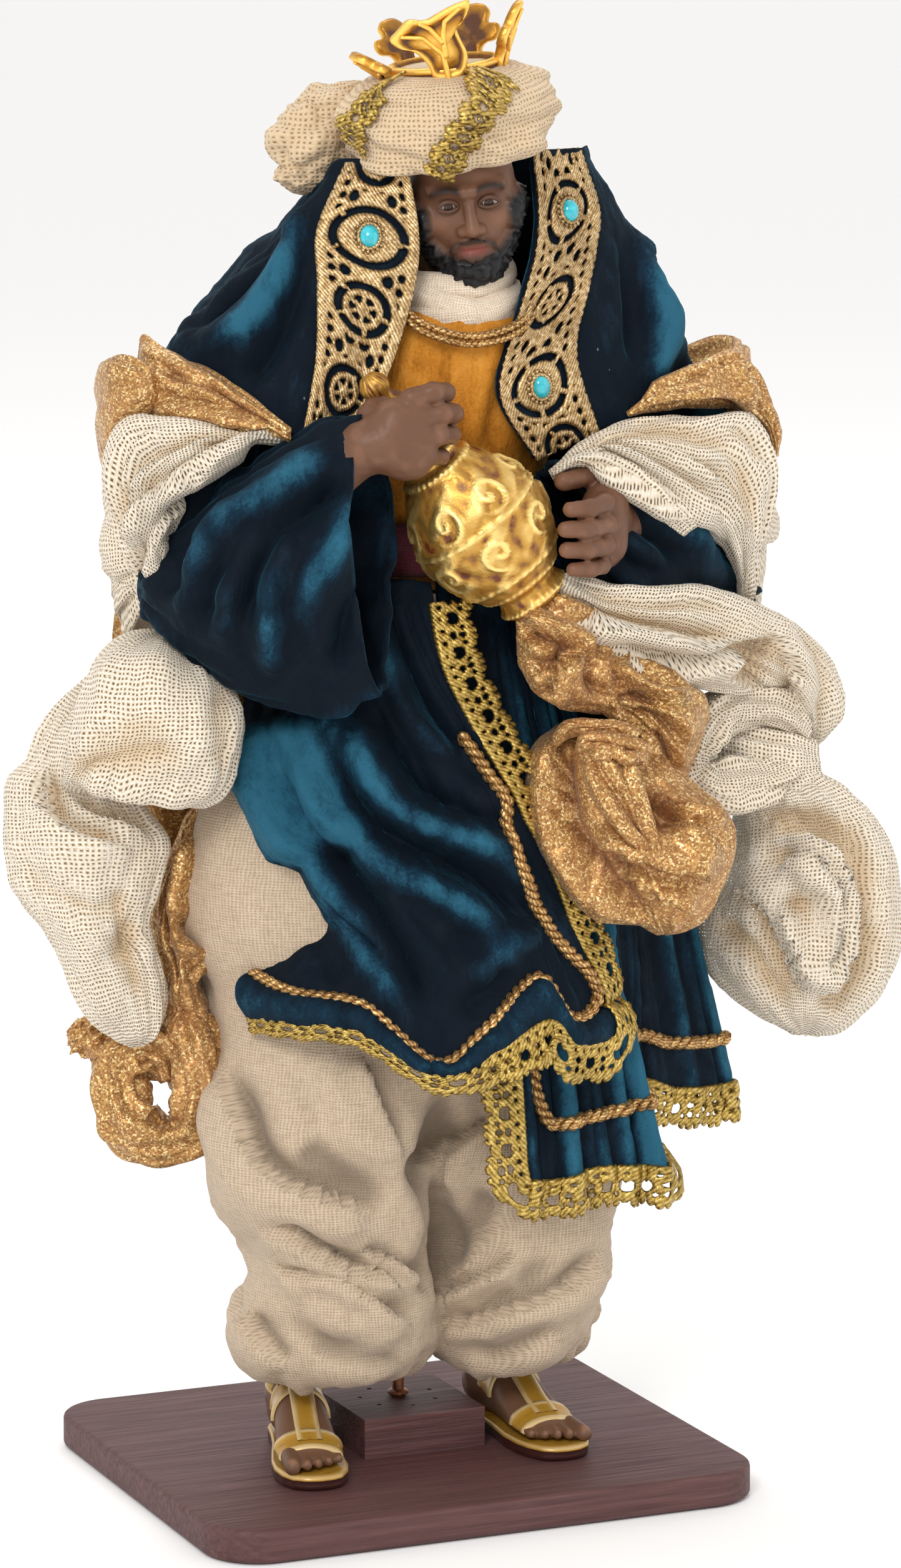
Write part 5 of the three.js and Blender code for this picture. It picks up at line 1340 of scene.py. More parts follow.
# Each lobe: stations (left h, left v, right h, right v, m, half thickness), then its creases
# (kind, depth, width, line)
GAUZE_FORMS = {
    "wrap_right": (
        [
            (-23, 72.5, -23.5, 69.5, 47, 2), (-30.5, 74, -31.5, 69.5, 46, 5),
            (-38.5, 75.5, -38, 65, 43, 8), (-48, 76, -44, 60, 40, 11), (-56.5, 76, -46, 51.5, 36, 13),
            (-60.5, 71, -46, 45.5, 34, 14), (-62, 63, -46.5, 42.5, 33, 14), (-60.5, 54, -46, 39, 32, 13),
            (-57.5, 47.5, -44.5, 35.5, 31, 11), (-55, 40, -42, 32.5, 30, 9), (-51.5, 34, -41, 31, 29, 6),
            (-47.5, 31.5, -42, 31, 29, 2),
        ],
        [(
            "lap", 2.6, 3.2,
            [(-28.5, 72.5), (-34, 71.5), (-42, 66.5), (-50, 61), (-54.5, 57.5), (-56, 52.5), (-56, 47.5)],
        ),
         ("lap", 1.5, 2.4, [(-36.5, 73.5), (-44.5, 69.5), (-52.5, 65), (-56, 60), (-58, 54)]),
         ("lap", 1.2, 2, [(-48, 74.5), (-54, 70.5), (-57, 65), (-59, 59.5)]),
         ("lap", 1.4, 2.2, [(-33, 68.5), (-40, 63), (-46.5, 58), (-51, 51.5), (-52.5, 44.5), (-51, 39)]),
         ("valley", 1.3, 1.6, [(-38, 65), (-44, 60), (-48, 54), (-49, 48)]),
         ("valley", 1, 1.5, [(-54, 44.5), (-51.5, 40), (-46.5, 37)])],
    ),
    "dome": (
        [
            (-49.5, 32, -44.5, 31.5, 30, 2), (-56.5, 31, -39.5, 27, 31, 9), (-62, 26, -35, 22.5, 32, 14),
            (-66, 17.5, -32, 17, 33, 17), (-67.5, 10.5, -31, 11.5, 33, 18), (-69, 5, -32, 5.5, 33, 16),
            (-69.5, 1.5, -33.5, 0.5, 33, 12), (-69, -0.5, -36.5, -3.5, 33, 8),
            (-65, -1.5, -40, -5, 32, 4), (-60.5, -2, -42.5, -5, 32, 1.5),
        ],
        [("valley", 2, 3, [(-69, 1), (-63.5, 4), (-53.5, 6), (-43.5, 7)]),
         ("valley", 1.2, 2.4, [(-67.5, 8), (-60.5, 10.5), (-52.5, 12), (-45.5, 14)]),
         ("ridge", 1.2, 4, [(-64, 19.5), (-55, 23.5), (-44.5, 23)]),
         ("valley", 1, 2.2, [(-36.5, 21.5), (-37.5, 15), (-36.5, 8), (-38.5, 1)]),
         ("ridge", 1, 1.6, [(-68, 1), (-59.5, -0.5), (-49, -3), (-41, -4)])],
    ),
    "tail": (
        [
            (-64, 22.5, -60.5, 20.5, 17, 2), (-70.5, 16.5, -59.5, 12.5, 17, 6),
            (-75.5, 9.5, -57.5, 4.5, 18, 9), (-78.5, 2, -56, -1.5, 19, 10),
            (-80.5, -5, -51.5, -6.5, 20, 10), (-82, -10.5, -48, -11.5, 20, 11),
            (-81.5, -16, -48, -16, 20, 11), (-80, -22, -49.5, -22, 19, 11),
            (-75.5, -28, -51.5, -28.5, 18, 10), (-71, -34.5, -50, -35, 17, 9),
            (-67.5, -41.5, -48, -41, 16, 8), (-64, -47.5, -48, -46.5, 15, 6),
            (-59.5, -52.5, -49.5, -51.5, 15, 4), (-55.5, -54.5, -52.5, -54, 15, 1.5),
        ],
        [("lap", 3.4, 3.4, [(-54, -13.5), (-61.5, -11.5), (-67.5, -9.5), (-72, -5.5), (-73, -1), (-72, 4.5)]),
         ("lap", 1.8, 2.4, [(-51.5, -10.5), (-58, -7.5), (-64, -5.5), (-68, -2.5)]),
         ("valley", 1.5, 2, [(-52.5, -29), (-56.5, -32.5), (-59.5, -38)]),
         ("ridge", 1.6, 4, [(-68.5, -24.5), (-65.5, -32.5), (-63.5, -41.5), (-56.5, -52)]),
         ("valley", 1.1, 1.8, [(-77.5, -15), (-72, -22), (-65, -25.5), (-57.5, -26.5)]),
         ("valley", 1, 1.6, [(-59.5, -19.5), (-57.5, -26.5), (-55.5, -35.5), (-53.5, -47)])],
    ),
    "wrap_left": (
        [
            (30.5, 64.5, 31.5, 62.5, 33, 2), (36.5, 70, 38.5, 67, 31, 4), (44, 74.5, 45.5, 65, 27, 7),
            (53, 76.5, 53.5, 59.5, 21, 9), (62.5, 76, 61, 53.5, 13, 11), (71.5, 77, 64, 50.5, 5, 12),
            (76.5, 69.5, 66.5, 48, 0, 12), (77, 61.5, 68.5, 43.5, -3, 11), (75.5, 53.5, 69, 40.5, -5, 10),
            (74, 47, 69.5, 38, -5, 8), (73.5, 41, 70, 37, -5, 5), (72.5, 37.5, 71, 37, -5, 2),
        ],
        [("lap", 2.6, 2.6, [(60.5, 54.5), (55.5, 59.5), (50, 64), (45, 67), (39.5, 68.5), (35, 67.5)]),
         ("lap", 1.8, 2.4, [(67, 52), (63, 58.5), (57.5, 63), (51, 67), (44.5, 70), (38, 70)]),
         ("lap", 1.5, 2.4, [(71.5, 48.5), (70, 56.5), (65, 63), (57.5, 68), (49, 71), (41.5, 72)]),
         ("valley", 1.4, 1.8, [(74, 54), (72.5, 61.5), (68, 69), (60.5, 72), (52, 74), (45.5, 73.5)]),
         ("valley", 1.1, 1.5, [(75.5, 65), (72.5, 70.5), (67, 74)])],
    ),
    "flap_left": (
        [
            (31.5, 65, 32, 63, 35, 1.5), (36, 67.5, 35.5, 65, 35, 3), (41.5, 68, 41, 64, 33, 4),
            (48, 65.5, 46.5, 59.5, 29, 4.5), (54.5, 59.5, 53, 54.5, 25, 4.5), (59, 55.5, 56, 52.5, 22, 4),
            (61, 53, 58.5, 51, 20, 2),
        ],
        [("valley", 1.2, 1.2, [(33.5, 65), (40, 66), (45.5, 63), (51, 58), (57, 53)]),
         ("valley", 0.8, 1, [(37, 66.5), (43, 66), (49, 61.5), (55.5, 55.5)])],
    ),
    "band": (
        [
            (31.5, 43.5, 31.5, 40, 35, 2), (37, 42.5, 34.5, 37, 33, 5), (43.5, 41.5, 41, 30.5, 29, 8),
            (52, 41, 48.5, 25, 23, 9), (60.5, 41.5, 55.5, 23, 16, 10), (68, 40, 61.5, 19.5, 8, 10),
            (75.5, 37, 68, 17.5, 0, 10), (82.5, 33, 73.5, 17.5, -8, 10), (88, 27.5, 78, 15.5, -15, 10),
            (91.5, 20.5, 81, 12, -20, 10), (91.5, 14.5, 82, 8.5, -22, 8), (88, 9.5, 83, 6.5, -22, 4),
            (85, 7, 83.5, 6.5, -22, 1.5),
        ],
        [("lap", 2.8, 2.2, [(71.5, 30.5), (63, 29.5), (55.5, 31), (47.5, 33), (39, 35), (33, 38)]),
         ("lap", 2.4, 2.2, [(72.5, 28), (69, 27), (63, 26), (55.5, 26), (48.5, 27.5), (41, 31)]),
         ("valley", 1, 1.2, [(34.5, 41.5), (43.5, 38.5), (53, 37), (62.5, 37), (70, 35)]),
         ("hollow", 5, 3.2, [(70, 20), (71.5, 23), (74, 27.5), (74, 30)]),
         ("lap", 1.6, 2.4, [(75.5, 33.5), (80, 26), (81, 19.5), (78, 14.5)]),
         ("valley", 1.3, 2, [(79, 34.5), (85.5, 27), (87.5, 19.5), (85.5, 11)])],
    ),
    "lobe": (
        [
            (70, -0.5, 77, 5.5, -12, 2), (69, -2.5, 84, 4, -14, 8), (68.5, -6, 91.5, -0.5, -17, 13),
            (68.5, -10.5, 97.5, -6, -20, 16), (67, -18, 101.5, -12.5, -22, 18),
            (63, -25, 103, -21.5, -23, 18), (62, -31.5, 103, -30, -23, 18),
            (63.5, -38.5, 101, -38.5, -23, 16), (68.5, -43.5, 96.5, -45, -22, 13),
            (74.5, -48.5, 91, -50, -21, 9), (80.5, -51.5, 86, -52, -20, 3),
        ],
        [(
            "lap", 4, 4,
            [
                (84, -44.5), (88.5, -42), (92, -36), (93.5, -28.5), (92.5, -19.5), (88.5, -12.5),
                (82, -10), (76, -12),
            ],
        ),
         ("lap", 3, 3, [(85.5, -40), (88.5, -35), (90, -27), (88.5, -19.5), (84, -15), (79, -16), (77, -20)]),
         ("hollow", 4.5, 4, [(81.5, -21), (84, -26.5), (85.5, -33), (85, -38.5)]),
         ("lap", 2.4, 2.6, [(78, -24), (79, -30), (81.5, -36.5), (84.5, -43)]),
         ("lap", 2.2, 2.6, [(67.5, -21), (74, -24.5), (77, -31), (80, -38.5), (84, -45)]),
         ("valley", 1.6, 2, [(64, -26.5), (70, -32), (75.5, -40.5), (81, -47)]),
         ("valley", 1.4, 2.2, [(71.5, -9.5), (79, -7), (88.5, -8.5), (96, -15), (98, -24.5)]),
         ("valley", 1.2, 2, [(98, -28.5), (97, -36), (92, -43), (86.5, -48)])],
    ),
    "fill": (
        [
            (58, 13, 58, 1, -8, 2), (64, 15, 64, -1, -9, 6), (72, 14, 73, -3, -10, 8),
            (80, 12, 82, -3, -11, 7), (86, 9, 87, 0, -12, 2),
        ],
        [],
    ),
}
LAME_FORMS = {
    "lame_right": (
        [
            (-22.5, 73, -22.5, 70, 50, 2), (-30, 79, -30.5, 73.5, 46, 4), (-38, 84.5, -38.5, 75, 42, 6),
            (-45, 88.5, -45.5, 75, 38, 7), (-50, 91, -51, 75, 35, 7), (-52.5, 92, -54, 76, 33, 5),
            (-53.5, 91.5, -55, 77, 32, 2),
        ],
        [("lap", 1.6, 2, [(-24.5, 71.5), (-34, 76), (-44.5, 78), (-52.5, 79)]),
         ("valley", 1.2, 1.4, [(-26, 74), (-36.5, 80), (-44.5, 83.5), (-51, 87)]),
         ("ridge", 0.9, 1.2, [(-48, 88), (-44.5, 84.5), (-40, 80.5), (-32, 76)])],
    ),
    "lame_corner": (
        [
            (-52.5, 82.5, -53.5, 77, 35, 2), (-55.5, 85, -55.5, 77, 34, 4), (-58, 85.5, -58, 77.5, 33, 4),
            (-59, 84, -59, 79, 32, 2),
        ],
        [("lap", 1.4, 1.5, [(-59, 82.5), (-56, 82), (-53.5, 79.5)])],
    ),
    "lame_under": (
        [(-56.5, 76.5, -57.5, 70, 31, 3), (-58, 75, -59.5, 66.5, 30, 4), (-60, 74, -60.5, 68.5, 29, 2)],
        [],
    ),
    "lame_hang": (
        [
            (-38.5, 27, -31, 27, 9, 1.5), (-41, 18, -30.5, 18, 9, 4), (-41.5, 7, -33, 7, 9, 4),
            (-42, -2.5, -36, -2.5, 10, 4), (-45, -8, -39, -9, 10, 5), (-48, -15, -42, -16, 10, 6),
            (-51, -24.5, -43.5, -24.5, 9, 6), (-51, -32.5, -43, -32.5, 8, 7),
            (-49, -40.5, -41.5, -39.5, 8, 7), (-49.5, -48.5, -39.5, -47, 7, 7),
            (-52.5, -55, -38.5, -55, 6, 6), (-53, -61, -38, -62, 5, 3),
        ],
        [("lap", 2.4, 1.8, [(-42.5, -7), (-46, -16), (-48, -25.5), (-46.5, -34.5), (-44.5, -44)]),
         ("lap", 2, 1.6, [(-48, -33.5), (-44.5, -36.5), (-42, -41.5)]),
         ("valley", 1.6, 1.4, [(-49, -26.5), (-45, -30), (-43.5, -35.5)]),
         ("valley", 1.4, 1.4, [(-48, -46), (-43.5, -48.5), (-40, -54)])],
    ),
    "lame_left": (
        [
            (46.5, 76.5, 47, 75.5, 22, 2), (55, 82.5, 54.5, 77, 16, 4), (62.5, 86.5, 61.5, 77.5, 10, 6),
            (68.5, 89.5, 68, 77.5, 4, 7), (72, 87, 71.5, 76, -2, 7), (76, 80.5, 75, 73, -7, 6),
            (78.5, 73.5, 76.5, 69.5, -10, 5), (78, 67.5, 76.5, 67, -11, 2),
        ],
        [("lap", 1.8, 1.8, [(50, 77), (55.5, 79), (62.5, 80), (67, 79.5), (71, 77)]),
         ("ridge", 1.6, 1.2, [(68.5, 89.5), (69, 85.5), (70, 81), (71, 77)]),
         ("valley", 1, 1.2, [(51, 78), (57.5, 82), (64, 84.5)]),
         ("valley", 1, 1.4, [(70, 86.5), (73.5, 81), (76.5, 75.5)])],
    ),
}
ROSETTE_FORMS = {
    "crushed_top": (
        [
            (23.5, 38.5, 24, 24, 33, 4), (27.5, 39.5, 27, 19, 33, 7), (33, 37.5, 32, 15.5, 33, 8),
            (38.5, 33.5, 37, 14.5, 31, 8), (43, 29.5, 41.5, 14.5, 29, 7), (46.5, 27.5, 45, 15.5, 28, 3),
        ],
        [("lap", 2.6, 1.8, [(24.5, 33.5), (29.5, 31.5), (35, 29.5), (40, 25)]),
         ("lap", 2.4, 1.6, [(38, 29.5), (33.5, 25), (31.5, 19.5), (33.5, 15.5)]),
         ("valley", 2, 1.4, [(26, 24), (30.5, 25), (35, 27)]),
         ("lap", 1.8, 1.5, [(28.5, 38), (33.5, 34.5), (39, 31.5), (43.5, 26)]),
         ("valley", 2, 1.3, [(40, 28.5), (39, 23), (41, 16.5)])],
    ),
    "crushed_low": (
        [
            (40.5, 30, 41, 14.5, 28, 4), (46.5, 27.5, 44, 12, 26, 7), (53, 24, 48.5, 10, 23, 8),
            (59, 21, 52, 4.5, 20, 9), (63, 18.5, 55, -0.5, 17, 8), (64, 14.5, 57.5, -3, 15, 3),
        ],
        [("lap", 2.4, 1.8, [(41.5, 24), (47.5, 20.5), (53, 17.5), (60.5, 16.5)]),
         ("lap", 2.2, 1.7, [(44.5, 14.5), (50, 15.5), (55.5, 13), (58.5, 7)]),
         ("valley", 1.8, 1.4, [(46.5, 26), (51, 21), (58.5, 19.5)]),
         ("valley", 1.6, 1.4, [(51, 11), (54, 7), (55.5, 1.5)]),
         ("hollow", 2.6, 1.8, [(44, 15.5), (48.5, 17.5), (54, 16.5)])],
    ),
    "rosette_bowl": (
        [
            (35, 13, 48.5, 11.5, 20, 3), (31.5, 11, 54, 7, 21, 7), (29, 6.5, 60.5, 0.5, 22, 10),
            (28.5, 0.5, 67, -4, 23, 12), (30, -7, 69.5, -9.5, 23, 13), (33, -13.5, 69, -15.5, 23, 13),
            (38, -21, 65.5, -23, 22, 11), (43, -25, 62.5, -28, 21, 8), (49, -29, 59, -30.5, 20, 5),
            (53, -31, 55.5, -31, 20, 2),
        ],
        [("lap", 3.6, 2.6, [(53, -29), (45, -24), (39, -17), (34.5, -9.5), (33, -2), (33.5, 5.5), (36, 9)]),
         ("lap", 3, 2.2, [(38.5, -12.5), (44.5, -14), (51, -16), (58.5, -18), (65, -21)]),
         ("lap", 2.6, 2, [(44, -20), (50, -21.5), (55.5, -24), (61.5, -26)]),
         ("valley", 2, 1.6, [(41, -16), (48.5, -18.5), (55.5, -21), (63, -22.5)]),
         ("hollow", 4, 3, [(50, -0.5), (54, -5), (56.5, -9.5)]),
         ("lap", 2.6, 2.2, [(68, -8.5), (63, -5), (57.5, -4), (54, -0.5)]),
         ("lap", 2.2, 2, [(67, -15), (62.5, -10.5), (58.5, -8.5), (55.5, -9.5)])],
    ),
    "rosette_petal": (
        [
            (38.5, 9, 42, 8.5, 36, 2), (36.5, 6.5, 47.5, 5, 37, 4), (37, 1, 49.5, -0.5, 38, 5),
            (40.5, -5, 51, -6, 38, 5), (45.5, -10.5, 53, -11.5, 38, 4), (51, -14.5, 54, -15.5, 37, 1.5),
        ],
        [("valley", 1.4, 1.3, [(39.5, 7), (43.5, -0.5), (49, -8.5), (53, -14)]),
         ("valley", 1, 1.2, [(44.5, 6.5), (47.5, -1), (51, -9.5)])],
    ),
    "rosette_roll": (
        [
            (36, 7, 37, 5.5, 37, 2), (37, 10, 41, 6, 38, 4), (41.5, 11, 44.5, 6, 38, 5),
            (47, 10, 48.5, 4, 37, 5), (50.5, 8.5, 50.5, 4, 36, 4), (52, 6.5, 51, 5, 35, 1.5),
        ],
        [("lap", 1.6, 1.4, [(50, 6.5), (45.5, 7), (41, 8), (38, 7)])],
    ),
    "rosette_rim": (
        [
            (31, 10, 32, 7, 33, 2), (33.5, 13, 35, 9, 34, 4), (39, 13.5, 40, 10, 35, 4),
            (45, 13, 44.5, 10, 34, 4), (49.5, 11, 48.5, 8.5, 32, 2),
        ],
        [("valley", 1, 1.2, [(33, 9.5), (39, 11.5), (45.5, 11)])],
    ),
}
# Rolls: stations (h, v, m, radius)
ROLL = [
    (83, 10, -12, 3), (77, 14.5, -8, 4.5), (70.5, 15.5, -3, 5), (64, 14, 2, 5.5), (59.5, 8.5, 5, 6),
    (59, 2.5, 6, 6), (63, -0.5, 4, 5.5), (71.5, 0.5, -2, 5), (79, 3, -8, 4.5), (84.5, 4, -13, 3),
]
RING = [
    (-46, -47.5, 8, 4), (-42, -54, 9, 6), (-40, -63.5, 9, 7), (-42.5, -71, 8, 6), (-48, -73.5, 8, 5),
    (-54.5, -71.5, 8, 6), (-58, -65.5, 8, 5.5), (-58.5, -58.5, 8, 5), (-54.5, -54, 8, 5),
    (-49, -55.5, 8, 4.5), (-46.5, -60.5, 8, 3),
]
RING_FLAP = [(-67.5, -49.5, 6, 2), (-64.5, -52, 6, 3.5), (-60.5, -55, 6, 4), (-56, -60, 6, 3)]

# Bands across the back and the drop on the right, as stations of path_grid and of level_grid
ACROSS_BACK = [
    [-50, -8, 192, 6, 3], [-56, 0, 190, 12, 5], [-54, 12, 187, 15, 5], [-40, 28, 176, 11, 4],
    [0, 38, 168, 10, 4],
    [42, 31, 176, 11, 4], [70, 16, 189, 17, 5], [80, 4, 192, 18, 6], [75, -9, 193, 16, 5],
    [71, -16, 194, 8, 3],
]
LAME_BACK = [
    [-56, -8, 222, 4, 3], [-60, 0, 221, 9, 4], [-57, 12, 214, 9, 4], [-42, 31, 197, 9, 3], [0, 39, 188, 9, 3],
    [44, 34, 197, 9, 3], [68, 16, 213, 9, 4], [77, 3, 218, 9, 4], [73, -8, 217, 8, 4], [69, -13, 216, 4, 3],
]
LAME_DROP = [
    [92, -46, 18, 6, 4], [104, -44, 18, 9, 5], [130, -43, 21, 9, 4], [170, -43, 32, 8, 3],
    [190, -44, 35, 7, 3],
]


def bunched(seed, folds, depth, along, fine):
    """Folds that run along a form which is wound from a wide cloth"""

    def swell(turn, s):
        ring = stack(np.sin(turn) * folds * 0.5, np.cos(turn) * folds * 0.5, s * along)
        n = billow(noise(ring, seed))
        m = billow(noise(ring * 2.3 + 5, seed + 1))
        return depth * (1.9 * n - 0.55) + fine * (1.6 * m - 0.4)

    return swell


def path_grid(stations, rows, sides, swell):
    """A bent tube through stations [x, y, z, half height, half width], its rings square to the path"""
    s = np.linspace(0, 1, rows)
    value = along_stations(stations, s)
    centre, half_h, half_w = value[:, :3], value[:, 3], value[:, 4]
    along = unit(np.gradient(centre, axis=0))
    side = unit(np.cross((0, 0, 1.0), along))
    turn = ring_angles(sides)[:, None]
    grow = 1 + swell(turn, s)
    return ring_round(centre, np.cross(along, side), side, turn, half_h * grow, half_w * grow)


def rolled(path, seed):
    """A gathered roll of cloth from stations (h, v, m, radius)"""
    s = np.linspace(0, 1, 110)
    h, v, m, radius = along_stations(path, s).T
    line = from_view(h, v, m)
    turn = ring_angles(46)[:, None]
    grow = radius * (1 + bunched(seed, 3.0, 0.42, 5.0, 0.2)(turn, s))
    return ring_round(line, *frames_along(line), turn, grow, grow)


def stole(name, forms, back, drop, rolls, material, replaces, seed, fold):
    """One stole: lobes from the forms, a band across the back, a hanging drop and rolls"""
    pile = Pile()
    for k, (stations, lines) in enumerate(forms.values()):
        points, tone = pillow(stations, lines, seed + 5 * k, fold)
        pile.add_grid(points, wrap=True, value=tone.ravel(), caps=True)
    grids = []
    if back:
        grids.append(path_grid(back, 150, 56, bunched(seed + 90, 3.2, 0.34, 3.6, 0.14)))
    if drop:
        grids.append(level_grid(drop, 80, 56, bunched(seed + 93, 3.4, 0.38, 0.05, 0.16)))
    grids += [rolled(path, seed + 96 + k) for k, path in enumerate(rolls)]
    for grid in grids:
        pile.add_grid(grid, wrap=True, value=0.5, caps=True)
    return finish_piece(pile.make(name), material, replaces)


made = stole(
    "gauze_stole_cloth", GAUZE_FORMS, ACROSS_BACK, None, [ROLL], GAUZE, ["gauze_stole"], 300,
    1.5,
)
rolls = [RING, RING_FLAP]
made = stole(
    "lame_stole_cloth", LAME_FORMS, LAME_BACK, LAME_DROP, rolls, LAME, ["lame_stole"], 420, 1.2,
)
made = stole("rosette_lame", ROSETTE_FORMS, None, None, [], LAME, ["lame_rosette"], 560, 1.2)


# Cast and painted pieces: head, hands, feet
SKIN_TONE = np.array((0.15, 0.07, 0.04))
SKIN_WARM = np.array((0.23, 0.11, 0.062))
LIP = np.array((0.2, 0.042, 0.034))
HAIR = np.array((0.0045, 0.0045, 0.005))


def mix_by(a, b, f):
    return a * (1 - f)[..., None] + b * f[..., None]


def mirrored(p):
    """Points folded over to one side, for forms that both sides share"""
    return stack(np.abs(p[..., 0]), p[..., 1], p[..., 2])


def head_field(p):
    """Head in its own frame in millimetres: the face looks to -Y, the eyes at half its height"""
    m = mirrored(p)
    d = ellipsoid(p, (0, 0.6, 2.0), (10.6, 12.6, 13.6))
    d = smooth_min(d, ellipsoid(p, (0, -2.6, -6.2), (8.2, 8.6, 9.6)), 3.2)
    d = smooth_min(d, ellipsoid(p, (0, -7.2, -12.4), (4.2, 3.8, 3.2)), 2.4)
    d = smooth_min(d, ellipsoid(m, (6.2, -6.8, -2.6), (2.8, 2.9, 2.6)), 2.4)
    d = smooth_min(d, capsule(m, (0.8, -12.4, 3.6), (7.0, -8.8, 3.9), 1.35, 1.0), 1.5)
    d = smooth_carve(d, ellipsoid(m, (4.1, -12.2, 0.7), (3.2, 1.5, 1.7)), 1.6)
    nose = capsule(p, (0, -11.6, 1.6), (0, -14.3, -3.6), 1.0, 1.5)
    nose = smooth_min(nose, ellipsoid(m, (1.75, -12.7, -4.1), (1.35, 1.6, 1.2)), 0.9)
    d = smooth_min(d, nose, 1.1)
    d = smooth_carve(d, ellipsoid(m, (1.1, -13.5, -5.3), (0.55, 0.8, 0.4)), 0.3)
    d = smooth_min(d, ellipsoid(p, (0, -10.8, -7.2), (4.2, 2.3, 2.6)), 1.6)
    upper = ellipsoid(p, (0, -12.7, -7.35), (2.9, 1.0, 0.62))
    lower = ellipsoid(p, (0, -12.5, -8.6), (2.5, 1.05, 0.8))
    d = smooth_min(d, smooth_min(upper, lower, 0.25), 0.5)
    d = smooth_carve(d, ellipsoid(p, (0, -13.6, -7.95), (2.9, 0.8, 0.16)), 0.2)
    ear = ellipsoid(m, (10.4, 0.6, -1.4), (1.1, 2.2, 3.4))
    ear = smooth_carve(ear, ellipsoid(m, (11.3, -0.1, -1.2), (0.7, 1.2, 2.2)), 0.4)
    return smooth_min(d, ear, 0.6)


def beard_weight(p):
    """1 where the short beard and the moustache grow, with soft edges"""
    x, y, z = np.abs(p[..., 0]), p[..., 1], p[..., 2]
    front = smooth_step(3.0, -1.0, y)
    jaw = smooth_step(-7.2, -8.8, z + 0.0385 * x * x - 4.95 * smooth_step(4.5, 8.5, x)) * front
    chin = smooth_step(-9.3, -10.0, z) * front
    cheek = smooth_step(7.0, 8.2, x) * smooth_step(1.5, -1.0, z) * smooth_step(4.5, 1.5, y)
    foremost = smooth_step(-9.0, -10.5, y)
    moustache = bell(z + 6.3 + 0.09 * x * x, 0.75) * smooth_step(4.6, 3.6, x) * foremost
    mouth = bell(x, 3.4, 4) * bell(z + 7.95, 1.35, 4) * foremost
    return np.clip(np.max([jaw, chin, cheek, moustache], 0) * (1 - 0.98 * mouth), 0, 1)


HEAD_MATRIX = euler_matrix(0.2, -0.12, -0.33)
HEAD_CENTRE = np.array((7, -16.5, 259.5))


def on_head(points):
    return points @ HEAD_MATRIX.T + HEAD_CENTRE


NECK = [[238.6, 6, -8, 8.4, 8], [241, 6, -8, 8.2, 7.8], [247, 6.5, -10, 7.7, 7.6], [254, 7, -12, 7.6, 7.6]]


def head():
    points, faces = surface_nets(head_field, (-13, -17, -18), (13, 15, 17), 0.46)
    points = relax(points, faces, 2, 0.4)
    normals = point_normals(points, faces)
    beard = beard_weight(points)
    curls = 1 - np.clip(curl_cells(points + 0.5 * noise(points * 0.8, 205)[:, None], 1.2, 201), 0, 1)
    x, y, z = points.T
    side = np.abs(x)
    brow = bell(z - 3.9 - 0.5 * np.sin(side * 0.5) + 0.035 * (side - 4.5) ** 2, 0.75)
    brow *= smooth_step(1.1, 1.9, side) * smooth_step(7.9, 6.9, side) * (y < -5)
    points = points + normals * (beard * (0.8 + 1.8 * curls) + 0.45 * brow)[:, None]
    x, y, z = points.T
    side = np.abs(x)
    cheeks = bell(side - 6, 2.6) * bell(z + 3, 2.6) * (y < -4) * 0.6
    nose = bell(x, 2) * bell(z + 4, 2) * (y < -11) * 0.5
    # Painted shade in the eye sockets
    socket = bell(side - 4.1, 3.2) * bell(z - 0.9, 2.0) * (y < -6) * 0.55
    lip = bell(x, 2.9, 4) * bell(z + 8.0, 1.05, 4) * (y < -10.8)
    tint = mix_by(SKIN_TONE, SKIN_WARM, np.clip(cheeks + nose, 0, 1))
    # Painted shade darkens the eye sockets
    tint = mix_by(tint, 0.45 * SKIN_TONE, socket)
    tint = mix_by(tint, LIP, np.clip(lip * 0.85, 0, 1))
    tint = mix_by(tint, HAIR * (1 + 3.2 * curls)[:, None], np.clip(beard * 1.25, 0, 1))
    tint = mix_by(tint, HAIR, np.clip(brow * 0.9, 0, 1))
    back_hair = smooth_step(-0.5, 1.0, y + 1.2 * noise(points * 0.5, 206)) * (z > -9)
    tint = mix_by(tint, HAIR, back_hair * 0.95)
    finish_piece(object_of("head_cast", on_head(points), faces, None, {"tint": tint}), SKIN, ["head"])
    neck = level_grid(NECK, 30, 60)
    tint = np.broadcast_to(SKIN_TONE, neck.shape).reshape(-1, 3)
    finish_piece(grid_object("neck_cast", neck, True, {"tint": tint}), SKIN)
    eyes()


def curl_cells(p, size, seed):
    """Distance to the nearest scattered point, in cell sizes: small tufts of curly hair"""
    q = p / size
    cell = np.floor(q).astype(np.int64)
    best = np.full(len(p), 9.0)
    for corner in np.ndindex(3, 3, 3):
        c = cell + corner - 1
        h = scramble(c, seed)
        spot = c + np.stack([((h >> s) & TEN_BITS) / TEN_BITS for s in SHIFTS], -1)
        best = np.minimum(best, np.linalg.norm(q - spot, axis=1))
    return best


EYE_RADIUS = 1.85
EYE_REACH = 0.62
# Height over the eye's middle, drop and radius of the upper and the lower lid
LIDS = [(1.3, 0.15, 0.52), (-0.88, 0.0, 0.42)]
IRIS = [
    (0.0, (0.003, 0.002, 0.002)), (0.34, (0.006, 0.003, 0.002)), (0.4, (0.05, 0.02, 0.008)),
    (0.78, (0.035, 0.014, 0.006)), (0.86, (0.02, 0.01, 0.006)), (0.96, (0.6, 0.55, 0.48)),
]


